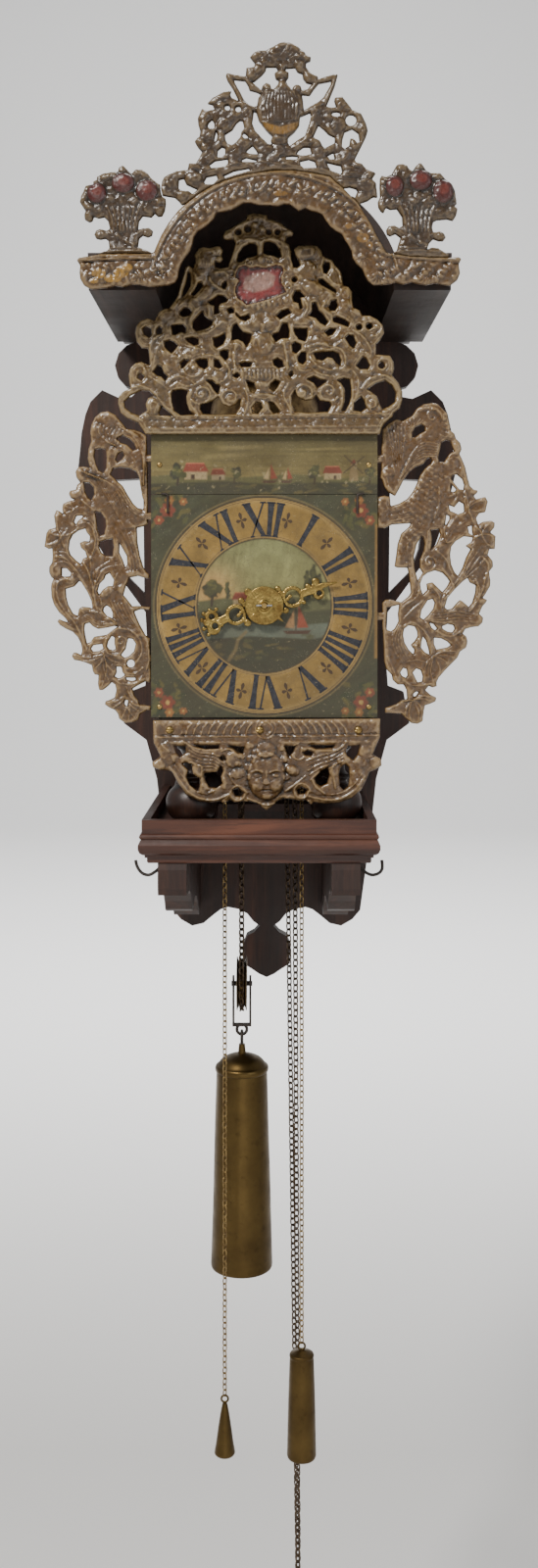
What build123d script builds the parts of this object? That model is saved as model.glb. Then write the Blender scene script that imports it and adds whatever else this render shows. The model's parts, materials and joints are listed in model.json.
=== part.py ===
from build123d import *
import os
from math import sin, cos, tan, pi, radians, degrees, sqrt, atan2, acos

# Stoelklok: a wall clock whose movement stands on a bracket-like chair under a hood.
# Millimetres, +Z up, +X to the viewer's right, the front faces -Y.
# Origin: on the wall face (back of the backboard), straight behind the hand arbor.

os.makedirs("parts", exist_ok=True)

# ---------------------------------------------------------------- driving sizes
BOARD_T = 16.0            # backboard thickness
BOARD_CX = 1.2            # backboard centre line
DIAL_W, DIAL_BOT, DIAL_TOP = 172.0, -85.0, 130.0
DIAL_SPLIT = 84.4         # joint between the lower plate and the top panel
DIAL_Y, DIAL_T = -190.0, 1.6
HOOD_FRONT = -236.0       # front face of the cast hood border
LEAD_T = 4.0              # thickness of the hood castings
FRET_T = 3.2              # thickness of the other castings
ARCH_CX, ARCH_CZ, ARCH_R = 8.1, 223.5, 94.0
VAULT_T = 6.0
WING_L, WING_R = -129.0, 137.5
WING_BOT, WING_TOP = 232.0, 258.0
TRAY_CX, TRAY_HALF = -3.5, 85.4
TRAY_FRONT, TRAY_TOP, TRAY_BOT = -243.0, -156.0, -188.0
FLOOR_TOP, FLOOR_T = -165.0, 6.0
PILLAR_X, PILLAR_Y1, PILLAR_Y2, PILLAR_S = 74.0, -184.4, -60.0, 8.0
PLATE_LO, PLATE_HI, PLATE_T = -106.0, 126.0, 4.0
BAR_T = 3.0
BAR_F, BAR_M, BAR_B = -167.0, -122.0, -72.0      # front faces of the three bars
CLR = 0.05                # radial running clearance of arbors in their holes
# wheel train
M1, M2, M3 = 1.2, 1.0, 1.5
GREAT_N, SECOND_N, PINION_N = 66, 54, 12
S_GREAT_N, S_PIN_N = 60, 48
HOUR_N, REPORT_N = 48, 12
GREAT = (3.0, -44.9)
A2 = radians(110)
SECOND = (GREAT[0] + (GREAT_N + PINION_N) * M1 / 2 * cos(A2), GREAT[1] + (GREAT_N + PINION_N) * M1 / 2 * sin(A2))
A3 = radians(70)
ESCAPE = (SECOND[0] + (SECOND_N + PINION_N) * M2 / 2 * cos(A3), SECOND[1] + (SECOND_N + PINION_N) * M2 / 2 * sin(A3))
PALLET = (ESCAPE[0], ESCAPE[1] + 25.0)
S_GREAT = (-2.5, -44.9)
B2 = radians(65)
S_PIN = (S_GREAT[0] + (S_GREAT_N + PINION_N) * M1 / 2 * cos(B2), S_GREAT[1] + (S_GREAT_N + PINION_N) * M1 / 2 * sin(B2))
B3 = radians(110)
S_FLY = (S_PIN[0] + (S_PIN_N + PINION_N) * M2 / 2 * cos(B3), S_PIN[1] + (S_PIN_N + PINION_N) * M2 / 2 * sin(B3))
ALARM = (-0.9, 80.0)
SPROCKET_R, S_SPROCKET_R, A_SPROCKET_R = 20.3, 19.0, 29.6
CHAIN_R, THIN_R = 2.8, 2.2          # outer radius of the chains' envelope
GO_Y, ST_Y, AL_Y = -150.0, -90.0, -173.5
PULLEY = (-18.4, -120.0, -304.0)
PULLEY_R = 20.0
LOOP = (27.0, -120.0, -800.0)
LOOP_R = 8.0
WEIGHT_TOP, WEIGHT_BOT = -360.5, -532.0

# ---------------------------------------------------------------- traced outlines (x, z) of the castings
ARCH_BORDER_OUT = [(-136.6, 251.9), (-135.7, 253.7), (-128.0, 254.9), (-119.7, 256.8), (-101.5, 257.3), (-82.3, 256.9), (-80.1, 258.6),
    (-78.7, 262.4), (-75.0, 270.6), (-69.6, 279.7), (-62.3, 288.9), (-55.0, 295.2), (-47.7, 300.7), (-38.5, 306.2),
    (-28.5, 310.6), (-16.7, 313.9), (-5.7, 315.8), (7.1, 317.9), (20.8, 317.9), (34.5, 316.1), (48.2, 313.4), (52.2, 309.6),
    (58.0, 304.8), (67.5, 295.2), (73.3, 286.6), (79.0, 277.0), (83.8, 267.4), (89.6, 257.8), (96.3, 256.4), (105.9, 254.8),
    (125.0, 253.8), (142.3, 254.5), (144.2, 253.1), (142.3, 249.2), (143.2, 242.5), (141.3, 237.7), (135.6, 233.4),
    (129.8, 234.4), (125.0, 235.3), (118.3, 233.9), (112.6, 234.8), (107.8, 236.0), (102.0, 234.4), (96.3, 236.0),
    (92.5, 234.8), (86.7, 234.2), (80.0, 233.9), (76.2, 236.8), (73.8, 241.1), (71.8, 245.9), (67.5, 249.7), (64.7, 254.0),
    (64.0, 258.8), (61.8, 263.1), (58.9, 267.4), (57.0, 271.2), (52.2, 273.9), (48.4, 277.0), (45.5, 280.8), (42.6, 285.6),
    (38.8, 287.4), (34.0, 288.5), (30.2, 290.4), (25.4, 288.3), (22.5, 290.4), (18.7, 293.1), (14.9, 293.3), (10.1, 291.7),
    (5.3, 292.3), (-3.9, 292.5), (-9.4, 294.1), (-14.8, 294.1), (-19.4, 291.4), (-24.0, 288.9), (-29.4, 287.8), (-34.5, 287.0),
    (-36.7, 282.5), (-40.4, 278.8), (-44.0, 276.1), (-48.6, 273.4), (-51.3, 268.8), (-52.2, 264.2), (-54.1, 258.8),
    (-57.7, 254.2), (-60.5, 249.6), (-62.3, 244.2), (-63.0, 239.6), (-65.0, 236.1), (-69.6, 234.1), (-76.0, 233.4),
    (-83.2, 232.6), (-90.5, 234.1), (-96.9, 234.4), (-103.3, 232.6), (-108.8, 233.5), (-114.3, 232.1), (-120.7, 231.2),
    (-126.1, 230.8), (-131.6, 233.9), (-134.2, 238.5), (-134.8, 243.2), (-134.3, 248.3)]
ARCH_BORDER_HOLES = []
HOOD_CREST_OUT = [(-65.3, 297.9), (-62.1, 295.1), (-59.9, 292.4), (-54.9, 294.7), (-47.6, 300.2), (-38.5, 305.6), (-28.4, 310.0),
    (-16.6, 313.4), (-5.7, 315.2), (7.1, 317.4), (20.8, 317.4), (34.5, 315.5), (48.1, 312.8), (52.1, 309.0), (57.9, 304.2),
    (67.4, 294.6), (69.5, 291.8), (70.8, 293.7), (76.0, 295.6), (79.9, 298.3), (82.9, 298.0), (81.8, 308.5), (78.9, 311.4),
    (81.8, 315.7), (75.1, 318.6), (71.3, 322.4), (67.4, 323.3), (66.3, 325.7), (70.9, 334.8), (74.5, 342.1), (75.9, 346.7),
    (74.5, 352.1), (70.9, 359.4), (64.5, 362.1), (60.9, 366.7), (57.2, 371.7), (51.8, 370.8), (51.3, 368.5), (52.7, 363.8),
    (45.4, 364.2), (48.1, 370.4), (51.8, 379.4), (54.0, 387.6), (51.8, 388.1), (45.4, 386.3), (39.9, 384.5), (39.0, 386.7),
    (35.4, 388.1), (33.5, 389.5), (30.8, 393.1), (30.8, 396.3), (34.0, 397.7), (34.3, 400.4), (30.8, 401.8), (29.9, 403.6),
    (25.3, 407.7), (19.9, 410.9), (14.9, 411.8), (10.8, 410.4), (6.2, 407.7), (1.7, 405.4), (-3.8, 405.4), (-7.4, 403.6),
    (-10.2, 400.4), (-6.5, 395.7), (-7.4, 393.1), (-12.9, 392.7), (-13.4, 386.6), (-22.0, 387.6), (-27.0, 389.0),
    (-27.9, 386.7), (-26.6, 383.1), (-22.9, 377.6), (-19.3, 370.4), (-18.8, 368.5), (-23.8, 371.1), (-24.7, 373.1),
    (-23.8, 375.8), (-29.3, 374.9), (-36.6, 371.3), (-41.6, 366.7), (-37.5, 365.6), (-36.1, 362.3), (-42.0, 361.2),
    (-45.2, 363.1), (-48.4, 355.8), (-48.0, 351.2), (-46.6, 346.7), (-47.0, 343.0), (-50.7, 338.9), (-48.4, 334.8),
    (-45.2, 331.2), (-47.5, 326.6), (-49.8, 323.0), (-54.8, 323.0), (-55.8, 318.0), (-64.0, 317.0), (-69.4, 314.9),
    (-72.9, 312.7), (-74.4, 310.0), (-75.3, 304.7), (-74.2, 299.4)]
HOOD_CREST_HOLES = [[(1.7, 393.1), (8.9, 393.1), (10.3, 390.4), (7.6, 388.6), (8.5, 384.5), (10.8, 383.1), (10.3, 380.4), (7.1, 376.7),
    (5.3, 377.6), (4.4, 380.8), (1.7, 381.7), (-1.1, 379.4), (-2.0, 376.7), (-6.5, 380.4), (-8.8, 382.6), (-7.0, 382.6),
    (-2.0, 386.7), (1.2, 390.4)],
    [(16.2, 392.2), (22.6, 392.7), (24.4, 389.5), (28.1, 388.1), (28.5, 384.9), (30.8, 381.7), (34.9, 380.8), (31.7, 376.9),
    (27.6, 376.5), (26.7, 379.4), (24.4, 380.4), (21.7, 379.4), (20.3, 376.5), (17.1, 380.4), (16.2, 383.1), (18.1, 385.8),
    (18.1, 389.0), (15.8, 390.4)],
    [(-22.0, 384.0), (-13.8, 383.1), (-11.5, 379.4), (-10.6, 376.3), (-5.6, 374.9), (-2.2, 373.3), (-4.2, 370.4), (-5.1, 364.9),
    (-7.0, 364.4), (-11.1, 365.8), (-14.7, 369.4), (-17.4, 374.9), (-21.1, 381.3)],
    [(39.9, 381.1), (49.0, 382.9), (48.8, 380.4), (43.6, 371.3), (39.9, 367.9), (34.5, 364.9), (29.2, 361.6), (28.5, 368.5),
    (27.8, 372.9), (33.5, 372.4), (36.3, 376.7)],
    [(-7.4, 360.8), (-5.6, 359.9), (-3.8, 354.0), (1.7, 346.7), (6.2, 342.4), (4.9, 339.4), (5.8, 336.8), (2.6, 337.4),
    (-2.0, 342.1), (-6.5, 346.7), (-8.6, 352.1), (-7.9, 356.7)],
    [(26.4, 356.7), (33.4, 359.7), (34.5, 357.6), (33.1, 352.1), (29.9, 343.0), (25.3, 340.5), (19.1, 335.9), (17.6, 337.6),
    (17.6, 341.5), (22.6, 345.8), (25.8, 350.3)],
    [(-28.4, 343.9), (-22.9, 347.4), (-20.2, 351.9), (-17.4, 354.2), (-15.6, 353.8), (-14.4, 348.5), (-16.5, 345.9),
    (-17.4, 342.1), (-20.2, 338.7), (-22.9, 336.4), (-26.6, 337.3), (-28.2, 340.3)],
    [(-37.9, 354.7), (-36.3, 352.1), (-36.3, 348.5), (-39.3, 348.2), (-41.3, 349.9), (-40.2, 352.6)],
    [(-34.9, 346.5), (-33.9, 343.0), (-34.9, 339.1), (-36.4, 339.4), (-35.7, 343.0)],
    [(-14.7, 345.1), (-12.0, 343.0), (-11.7, 341.2), (-14.3, 340.9), (-15.9, 343.0)],
    [(-30.7, 334.8), (-28.4, 333.7), (-28.4, 329.4), (-31.1, 327.3), (-34.1, 327.7), (-33.7, 332.1)],
    [(-8.3, 335.6), (-5.6, 332.1), (-4.4, 329.6), (-10.2, 330.0), (-13.1, 331.2), (-11.1, 333.5)],
    [(-40.0, 321.4), (-35.7, 324.6), (-26.6, 326.0), (-26.3, 323.0), (-28.4, 320.4), (-38.4, 319.5)],
    [(-15.8, 325.6), (-12.9, 326.9), (-5.6, 325.1), (-5.3, 323.9), (-16.4, 323.9)],
    [(-29.3, 313.7), (-22.0, 317.2), (-11.1, 319.2), (-10.2, 317.5), (-20.2, 314.8), (-28.4, 312.1)],
    [(-41.9, 312.8), (-34.9, 314.2), (-33.6, 311.2), (-37.5, 307.7), (-42.8, 307.7), (-43.7, 309.3)],
    [(39.9, 350.6), (43.6, 347.6), (47.2, 343.9), (51.6, 341.9), (51.6, 337.8), (48.1, 335.9), (44.5, 334.1), (42.6, 335.9),
    (40.8, 339.4), (36.0, 342.1), (38.1, 346.7)],
    [(59.0, 345.6), (64.5, 347.9), (69.0, 344.7), (69.8, 338.7), (68.0, 337.8), (65.4, 341.0), (63.1, 341.0), (62.2, 335.8),
    (59.0, 333.6), (56.9, 335.0), (57.4, 340.3)],
    [(29.0, 334.6), (33.5, 334.6), (34.7, 329.6), (28.1, 328.6), (23.7, 329.6), (25.3, 331.9)],
    [(16.2, 327.7), (20.8, 328.2), (25.2, 327.7), (23.5, 325.7), (16.2, 325.5)],
    [(26.4, 324.2), (32.6, 325.6), (37.0, 324.2), (38.7, 319.5), (29.0, 319.5), (26.9, 321.2)],
    [(46.3, 328.3), (50.7, 330.6), (51.6, 325.9), (48.1, 325.9)],
    [(46.0, 323.3), (56.1, 321.0), (57.0, 316.8), (56.1, 315.1), (49.0, 317.7), (47.2, 320.3)],
    [(-24.7, 363.3), (-25.1, 362.2), (-26.1, 361.4), (-27.4, 361.4), (-28.4, 362.2), (-28.8, 363.3), (-28.4, 364.5),
    (-27.4, 365.2), (-26.1, 365.2), (-25.1, 364.5)],
    [(-16.6, 362.3), (-17.1, 361.1), (-18.1, 360.3), (-19.5, 360.3), (-20.6, 361.1), (-21.0, 362.3), (-20.6, 363.6),
    (-19.5, 364.4), (-18.1, 364.4), (-17.1, 363.6)],
    [(55.9, 358.7), (55.3, 357.6), (53.7, 357.0), (51.6, 357.0), (50.0, 357.6), (49.4, 358.7), (50.0, 359.8), (51.6, 360.4),
    (53.7, 360.4), (55.3, 359.8)],
    [(67.7, 354.4), (66.9, 352.0), (64.9, 350.5), (62.3, 350.5), (60.3, 352.0), (59.5, 354.4), (60.3, 356.8), (62.3, 358.3),
    (64.9, 358.3), (66.9, 356.8)],
    [(-62.0, 310.9), (-58.7, 311.7), (-56.7, 307.4), (-51.2, 304.9), (-48.7, 303.8), (-52.1, 300.5), (-54.9, 302.7),
    (-60.3, 303.1), (-62.4, 304.7)],
    [(57.7, 304.6), (62.6, 305.4), (67.4, 304.0), (68.2, 302.3), (66.5, 297.9), (61.7, 300.4)]]
BASKET_LEFT_OUT = [(-127.6, 254.6), (-120.3, 257.3), (-114.8, 258.9), (-113.0, 260.8), (-113.5, 266.2), (-115.8, 268.0), (-119.4, 267.3),
    (-122.6, 268.0), (-124.0, 270.8), (-122.6, 273.9), (-119.4, 274.9), (-114.8, 273.5), (-112.6, 275.3), (-113.9, 280.8),
    (-116.7, 283.5), (-121.2, 282.8), (-124.4, 284.0), (-125.3, 280.8), (-127.6, 279.9), (-130.8, 281.7), (-131.2, 285.3),
    (-130.3, 288.1), (-132.1, 290.8), (-134.4, 294.4), (-133.5, 299.0), (-131.7, 302.6), (-130.3, 306.2), (-127.1, 307.2),
    (-124.7, 307.0), (-124.7, 309.4), (-122.1, 310.8), (-122.1, 313.1), (-117.6, 315.3), (-112.1, 316.2), (-106.7, 316.7),
    (-105.8, 319.9), (-103.0, 321.3), (-100.3, 318.5), (-96.7, 315.3), (-93.9, 318.1), (-89.4, 318.5), (-84.8, 315.3),
    (-82.1, 311.7), (-78.5, 309.0), (-75.9, 307.2), (-75.5, 302.1), (-74.4, 298.5), (-71.9, 297.1), (-71.6, 293.5),
    (-72.5, 288.1), (-74.4, 284.4), (-77.5, 284.0), (-79.8, 286.2), (-82.1, 283.5), (-85.7, 284.0), (-88.5, 284.4),
    (-91.2, 280.8), (-92.1, 274.4), (-88.5, 275.3), (-83.9, 275.8), (-81.2, 273.5), (-81.7, 270.3), (-84.8, 268.9),
    (-88.5, 270.3), (-91.2, 268.0), (-92.1, 261.7), (-87.6, 260.0), (-83.0, 258.2), (-81.4, 256.2), (-101.2, 256.6),
    (-119.4, 256.0)]
BASKET_LEFT_HOLES = []
BASKET_RIGHT_OUT = [(135.2, 256.6), (131.4, 258.1), (127.6, 260.9), (122.8, 261.4), (119.0, 260.0), (120.9, 264.8), (123.7, 267.6),
    (127.6, 266.2), (130.9, 266.2), (132.8, 268.6), (131.4, 271.9), (128.5, 273.4), (123.7, 272.4), (122.8, 276.2),
    (123.7, 280.1), (126.6, 281.5), (134.2, 282.0), (138.1, 281.0), (140.4, 284.8), (141.4, 289.6), (139.0, 291.5),
    (140.9, 293.4), (140.0, 298.2), (139.5, 303.0), (137.1, 307.8), (132.3, 311.6), (128.5, 315.9), (121.8, 315.9),
    (118.5, 317.8), (115.1, 322.6), (113.7, 323.2), (111.3, 321.1), (108.5, 317.3), (106.5, 318.3), (104.6, 321.1),
    (100.8, 322.6), (97.0, 321.6), (95.1, 318.3), (93.2, 314.9), (89.3, 313.0), (86.0, 313.8), (84.6, 311.6), (84.4, 304.9),
    (84.8, 298.2), (83.1, 294.4), (83.6, 290.6), (85.5, 287.7), (87.4, 286.7), (89.3, 290.6), (92.2, 289.1), (97.0, 289.6),
    (100.8, 283.9), (101.3, 277.2), (98.9, 275.8), (95.1, 277.7), (91.3, 277.2), (89.3, 274.3), (89.8, 271.0), (92.2, 269.7),
    (96.0, 271.4), (99.8, 268.6), (97.9, 262.9), (97.0, 259.0), (92.2, 256.4), (96.0, 255.7), (105.6, 254.1), (124.7, 253.3),
    (134.7, 253.7)]
BASKET_RIGHT_HOLES = []
LION_CREST_OUT = [(-89.8, 129.6), (-95.5, 138.2), (-104.0, 142.0), (-108.7, 145.8), (-110.6, 152.4), (-110.2, 158.1), (-106.8, 161.9),
    (-101.2, 164.2), (-102.1, 168.5), (-102.6, 174.2), (-101.2, 179.8), (-97.4, 183.6), (-92.7, 184.5), (-88.9, 182.7),
    (-86.8, 182.2), (-87.0, 187.4), (-88.0, 194.5), (-92.7, 194.9), (-96.5, 199.7), (-97.9, 206.3), (-96.9, 211.9),
    (-93.6, 215.7), (-88.0, 217.6), (-83.2, 215.7), (-79.5, 222.3), (-75.7, 224.7), (-71.9, 225.2), (-69.1, 228.9),
    (-65.3, 234.6), (-63.4, 242.2), (-61.5, 249.7), (-59.6, 256.3), (-56.8, 257.3), (-53.9, 255.4), (-52.0, 261.1),
    (-53.0, 265.8), (-50.2, 270.0), (-46.4, 271.4), (-41.7, 270.5), (-36.9, 271.9), (-33.2, 271.9), (-31.3, 268.6),
    (-32.2, 264.8), (-31.3, 262.0), (-33.2, 259.6), (-36.9, 260.1), (-36.9, 256.3), (-33.2, 255.2), (-27.5, 256.3),
    (-25.1, 262.9), (-23.2, 268.6), (-21.8, 274.3), (-23.7, 277.6), (-27.5, 276.9), (-30.8, 277.6), (-31.3, 279.6),
    (-30.0, 283.2), (-26.0, 285.2), (-21.4, 287.9), (-18.1, 289.9), (-14.1, 292.5), (-12.8, 295.8), (-8.2, 297.1),
    (-2.9, 296.5), (1.8, 295.8), (3.1, 292.5), (6.4, 292.5), (9.7, 290.5), (13.7, 289.2), (16.3, 285.9), (20.3, 284.2),
    (22.3, 281.9), (20.9, 279.6), (17.0, 279.1), (16.3, 275.3), (19.0, 272.7), (20.3, 268.0), (20.6, 261.4), (22.3, 256.1),
    (24.9, 255.5), (27.2, 257.5), (25.6, 261.4), (23.3, 265.4), (22.3, 269.4), (25.6, 272.3), (28.9, 272.0), (36.1, 273.0),
    (40.1, 272.0), (43.4, 268.7), (44.8, 264.7), (46.9, 263.4), (51.6, 261.1), (53.5, 257.3), (58.2, 252.6), (59.2, 246.9),
    (60.1, 242.2), (63.9, 241.2), (66.7, 237.4), (66.7, 229.9), (67.7, 225.6), (72.4, 223.3), (74.3, 219.5), (80.0, 219.5),
    (85.6, 216.7), (89.9, 211.9), (90.8, 206.3), (87.5, 200.6), (84.7, 197.8), (84.7, 190.2), (89.4, 189.7), (95.1, 189.3),
    (97.9, 184.5), (98.4, 178.9), (97.0, 174.2), (101.7, 168.5), (104.5, 161.9), (104.5, 155.2), (102.6, 149.6), (97.9, 145.8),
    (97.0, 143.0), (91.3, 138.2), (89.4, 135.4), (87.5, 129.6)]
LION_CREST_HOLES = [[(-105.9, 154.3), (-101.2, 159.0), (-93.6, 162.8), (-87.0, 162.3), (-84.2, 159.0), (-88.0, 157.1), (-89.8, 152.4),
    (-88.9, 147.7), (-94.6, 143.9), (-100.2, 145.8), (-105.0, 149.6)],
    [(-77.6, 150.5), (-73.8, 147.7), (-69.5, 143.3), (-78.5, 144.1), (-79.5, 146.0)],
    [(-69.1, 162.8), (-63.4, 163.6), (-57.7, 162.6), (-59.1, 158.1), (-58.7, 153.4), (-56.8, 147.7), (-53.5, 144.7),
    (-63.4, 144.1), (-68.1, 147.7), (-70.0, 154.3), (-70.3, 160.0)],
    [(-48.1, 152.4), (-43.5, 153.2), (-38.8, 155.1), (-35.0, 157.9), (-33.2, 156.0), (-31.3, 152.4), (-26.6, 150.3),
    (-21.8, 152.2), (-18.2, 156.0), (-18.2, 150.5), (-21.8, 145.1), (-33.2, 144.6), (-46.2, 145.1), (-48.5, 148.6)],
    [(-5.8, 154.1), (-2.2, 153.2), (-1.2, 149.6), (-4.8, 145.5), (-8.4, 146.0), (-9.4, 149.6)],
    [(-13.1, 170.2), (-7.8, 168.3), (-6.4, 163.8), (-7.7, 161.1), (-10.3, 162.1), (-12.2, 166.6)],
    [(-43.4, 170.4), (-39.8, 170.2), (-36.0, 167.3), (-33.4, 166.4), (-34.3, 161.9), (-35.0, 160.2), (-37.7, 162.8),
    (-40.5, 167.5)],
    [(-84.0, 177.0), (-80.4, 182.0), (-77.8, 180.8), (-75.9, 176.0), (-73.0, 173.2), (-74.7, 170.6), (-77.6, 173.2),
    (-81.3, 174.3)],
    [(-95.3, 174.9), (-92.7, 175.4), (-91.0, 173.2), (-92.9, 170.6), (-95.7, 172.3)],
    [(-63.2, 183.6), (-60.5, 186.2), (-57.0, 185.3), (-60.5, 180.9), (-62.2, 179.6)],
    [(-51.9, 185.3), (-48.3, 186.7), (-42.8, 186.2), (-42.8, 180.9), (-45.4, 179.1), (-49.0, 180.8)],
    [(-37.7, 186.2), (-34.3, 185.3), (-31.9, 180.8), (-34.1, 179.5), (-37.7, 180.9)],
    [(-33.4, 192.1), (-30.3, 193.3), (-27.2, 192.8), (-27.2, 187.6), (-29.4, 185.7), (-33.0, 189.3)],
    [(-75.5, 199.7), (-71.9, 200.9), (-68.1, 199.5), (-65.5, 196.8), (-67.2, 194.2), (-70.0, 190.9), (-72.8, 193.0),
    (-75.0, 195.9)],
    [(-59.4, 201.9), (-54.9, 203.2), (-49.9, 202.3), (-49.9, 197.9), (-53.0, 197.0), (-57.5, 199.7)],
    [(-38.6, 202.3), (-35.0, 203.2), (-29.6, 206.1), (-29.1, 202.5), (-31.3, 197.9), (-36.0, 195.1), (-37.7, 196.8)],
    [(-92.0, 209.1), (-89.8, 211.3), (-85.8, 209.8), (-85.3, 205.3), (-87.0, 203.2), (-90.6, 205.3)],
    [(-81.6, 209.1), (-79.5, 211.3), (-77.3, 209.8), (-77.8, 206.3), (-80.4, 205.0), (-81.6, 206.7)],
    [(-70.3, 211.9), (-66.2, 212.7), (-61.5, 212.7), (-59.3, 210.0), (-59.8, 206.4), (-63.4, 207.2), (-67.2, 205.0),
    (-69.3, 205.5)],
    [(-53.8, 214.8), (-51.1, 218.3), (-48.3, 221.2), (-46.6, 222.9), (-45.4, 219.5), (-42.6, 216.9), (-39.0, 215.5),
    (-40.0, 211.9), (-45.4, 209.3), (-51.1, 207.9), (-54.2, 210.0)],
    [(-63.7, 222.3), (-60.5, 225.4), (-56.8, 225.0), (-55.1, 222.3), (-56.8, 219.7), (-61.3, 218.7), (-63.7, 220.2)],
    [(-57.7, 252.4), (-56.3, 251.4), (-55.5, 247.8), (-56.0, 242.2), (-57.7, 238.6), (-60.5, 234.8), (-62.2, 233.4),
    (-61.3, 238.4), (-59.0, 245.0)],
    [(-50.2, 243.9), (-47.5, 244.8), (-46.6, 242.2), (-49.2, 238.6), (-53.0, 234.8), (-54.7, 235.6), (-51.9, 240.3)],
    [(-42.4, 229.9), (-37.9, 232.5), (-35.0, 234.9), (-30.3, 234.4), (-27.7, 231.8), (-28.6, 230.1), (-33.2, 228.7),
    (-34.8, 226.1), (-34.3, 221.6), (-37.7, 220.6), (-37.7, 227.0), (-40.5, 228.0)],
    [(-31.6, 243.1), (-29.1, 245.3), (-28.6, 242.2), (-30.3, 239.5), (-32.0, 241.2)],
    [(-27.8, 224.2), (-25.1, 225.4), (-23.0, 224.2), (-23.0, 221.6), (-26.4, 221.1)],
    [(-21.6, 221.2), (-18.1, 218.3), (-11.6, 220.2), (-11.2, 217.6), (-14.3, 215.4), (-18.1, 216.8), (-20.7, 219.5)],
    [(-23.5, 211.9), (-20.9, 213.6), (-19.2, 211.0), (-16.2, 207.2), (-9.7, 205.1), (-10.7, 200.6), (-13.3, 196.1),
    (-16.0, 199.7), (-19.9, 201.7), (-24.5, 200.8), (-24.5, 207.2)],
    [(-18.8, 183.1), (-15.2, 184.3), (-9.7, 183.4), (-10.7, 180.9), (-16.9, 180.5)],
    [(-23.5, 174.2), (-20.1, 175.8), (-18.7, 174.2), (-20.1, 172.4), (-22.6, 172.9)],
    [(-20.7, 261.4), (-19.4, 266.7), (-16.1, 271.4), (-11.4, 274.0), (-7.0, 273.9), (-5.6, 271.4), (-5.6, 265.5), (-8.2, 264.2),
    (-13.4, 262.9), (-17.4, 260.2), (-20.1, 260.2)],
    [(0.1, 275.2), (4.4, 275.5), (8.4, 273.9), (11.6, 269.4), (12.6, 264.1), (11.0, 262.9), (7.1, 264.9), (2.4, 265.5),
    (-0.7, 266.9), (-0.4, 272.0)],
    [(-17.6, 282.6), (-18.0, 281.3), (-19.1, 280.6), (-20.4, 280.6), (-21.4, 281.3), (-21.8, 282.6), (-21.4, 283.8),
    (-20.4, 284.6), (-19.1, 284.6), (-18.0, 283.8)],
    [(-10.1, 284.9), (-10.5, 283.5), (-11.7, 282.6), (-13.2, 282.6), (-14.4, 283.5), (-14.8, 284.9), (-14.4, 286.3),
    (-13.2, 287.2), (-11.7, 287.2), (-10.5, 286.3)],
    [(5.4, 282.6), (5.0, 281.4), (4.0, 280.7), (2.8, 280.7), (1.8, 281.4), (1.4, 282.6), (1.8, 283.8), (2.8, 284.5),
    (4.0, 284.5), (5.0, 283.8)],
    [(11.9, 282.6), (11.5, 281.5), (10.6, 280.8), (9.5, 280.8), (8.5, 281.5), (8.2, 282.6), (8.5, 283.7), (9.5, 284.4),
    (10.6, 284.4), (11.5, 283.7)],
    [(24.6, 246.6), (24.3, 245.5), (23.5, 244.9), (22.4, 244.9), (21.5, 245.5), (21.2, 246.6), (21.5, 247.6), (22.4, 248.2),
    (23.5, 248.2), (24.3, 247.6)],
    [(44.3, 256.3), (46.0, 259.9), (49.5, 259.4), (49.5, 255.4), (46.9, 250.8), (45.2, 251.8)],
    [(41.4, 246.9), (44.1, 247.2), (49.7, 242.2), (54.3, 238.4), (54.3, 236.7), (49.7, 239.3), (44.1, 242.2), (41.4, 244.5)],
    [(21.6, 233.7), (23.5, 238.2), (26.9, 238.2), (30.7, 233.8), (27.3, 233.2), (28.0, 228.9), (28.8, 225.3), (27.3, 224.4),
    (26.1, 228.9), (22.5, 230.1)],
    [(9.3, 219.5), (12.9, 223.1), (18.4, 224.5), (20.3, 221.6), (16.7, 219.5), (12.1, 216.8)],
    [(6.5, 205.3), (11.0, 207.0), (13.8, 213.6), (17.4, 213.6), (18.9, 208.2), (18.4, 202.7), (12.9, 202.3), (9.1, 199.8),
    (6.5, 203.4)],
    [(33.9, 219.5), (36.3, 223.3), (36.5, 228.7), (39.2, 229.2), (41.2, 223.3), (45.0, 219.5), (48.1, 214.8), (46.0, 212.1),
    (42.4, 213.8), (39.4, 217.6)],
    [(49.0, 226.1), (50.7, 230.6), (54.3, 231.1), (55.7, 227.0), (53.5, 223.4), (49.9, 223.4)],
    [(51.8, 217.6), (54.5, 218.8), (61.1, 216.5), (64.2, 213.8), (63.4, 211.2), (58.2, 212.9), (52.8, 214.8)],
    [(46.1, 207.2), (49.7, 209.8), (54.3, 209.4), (51.6, 205.3), (48.5, 204.1)],
    [(61.3, 202.5), (63.9, 205.1), (67.5, 204.2), (69.4, 198.7), (67.7, 195.1), (65.0, 196.8)],
    [(22.1, 209.8), (26.1, 209.8), (32.5, 209.4), (32.5, 204.4), (30.9, 199.8), (26.1, 201.5), (23.5, 205.3)],
    [(21.1, 197.8), (23.3, 199.5), (27.8, 197.6), (27.8, 194.2), (24.2, 190.9), (21.6, 192.3)],
    [(25.4, 188.3), (28.0, 191.9), (31.6, 191.9), (31.6, 185.5), (29.0, 182.8), (25.8, 184.5)],
    [(37.2, 191.0), (42.2, 191.9), (51.6, 192.4), (56.2, 191.0), (58.0, 185.5), (57.1, 181.9), (54.5, 183.6), (51.6, 187.2),
    (47.9, 188.1), (44.1, 185.5), (39.5, 186.6)],
    [(69.8, 181.7), (74.3, 188.1), (77.1, 187.2), (79.8, 181.7), (78.1, 179.1), (72.6, 179.1)],
    [(6.5, 185.5), (10.1, 187.2), (13.7, 185.3), (14.6, 180.9), (11.0, 180.0), (7.9, 181.7)],
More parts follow.
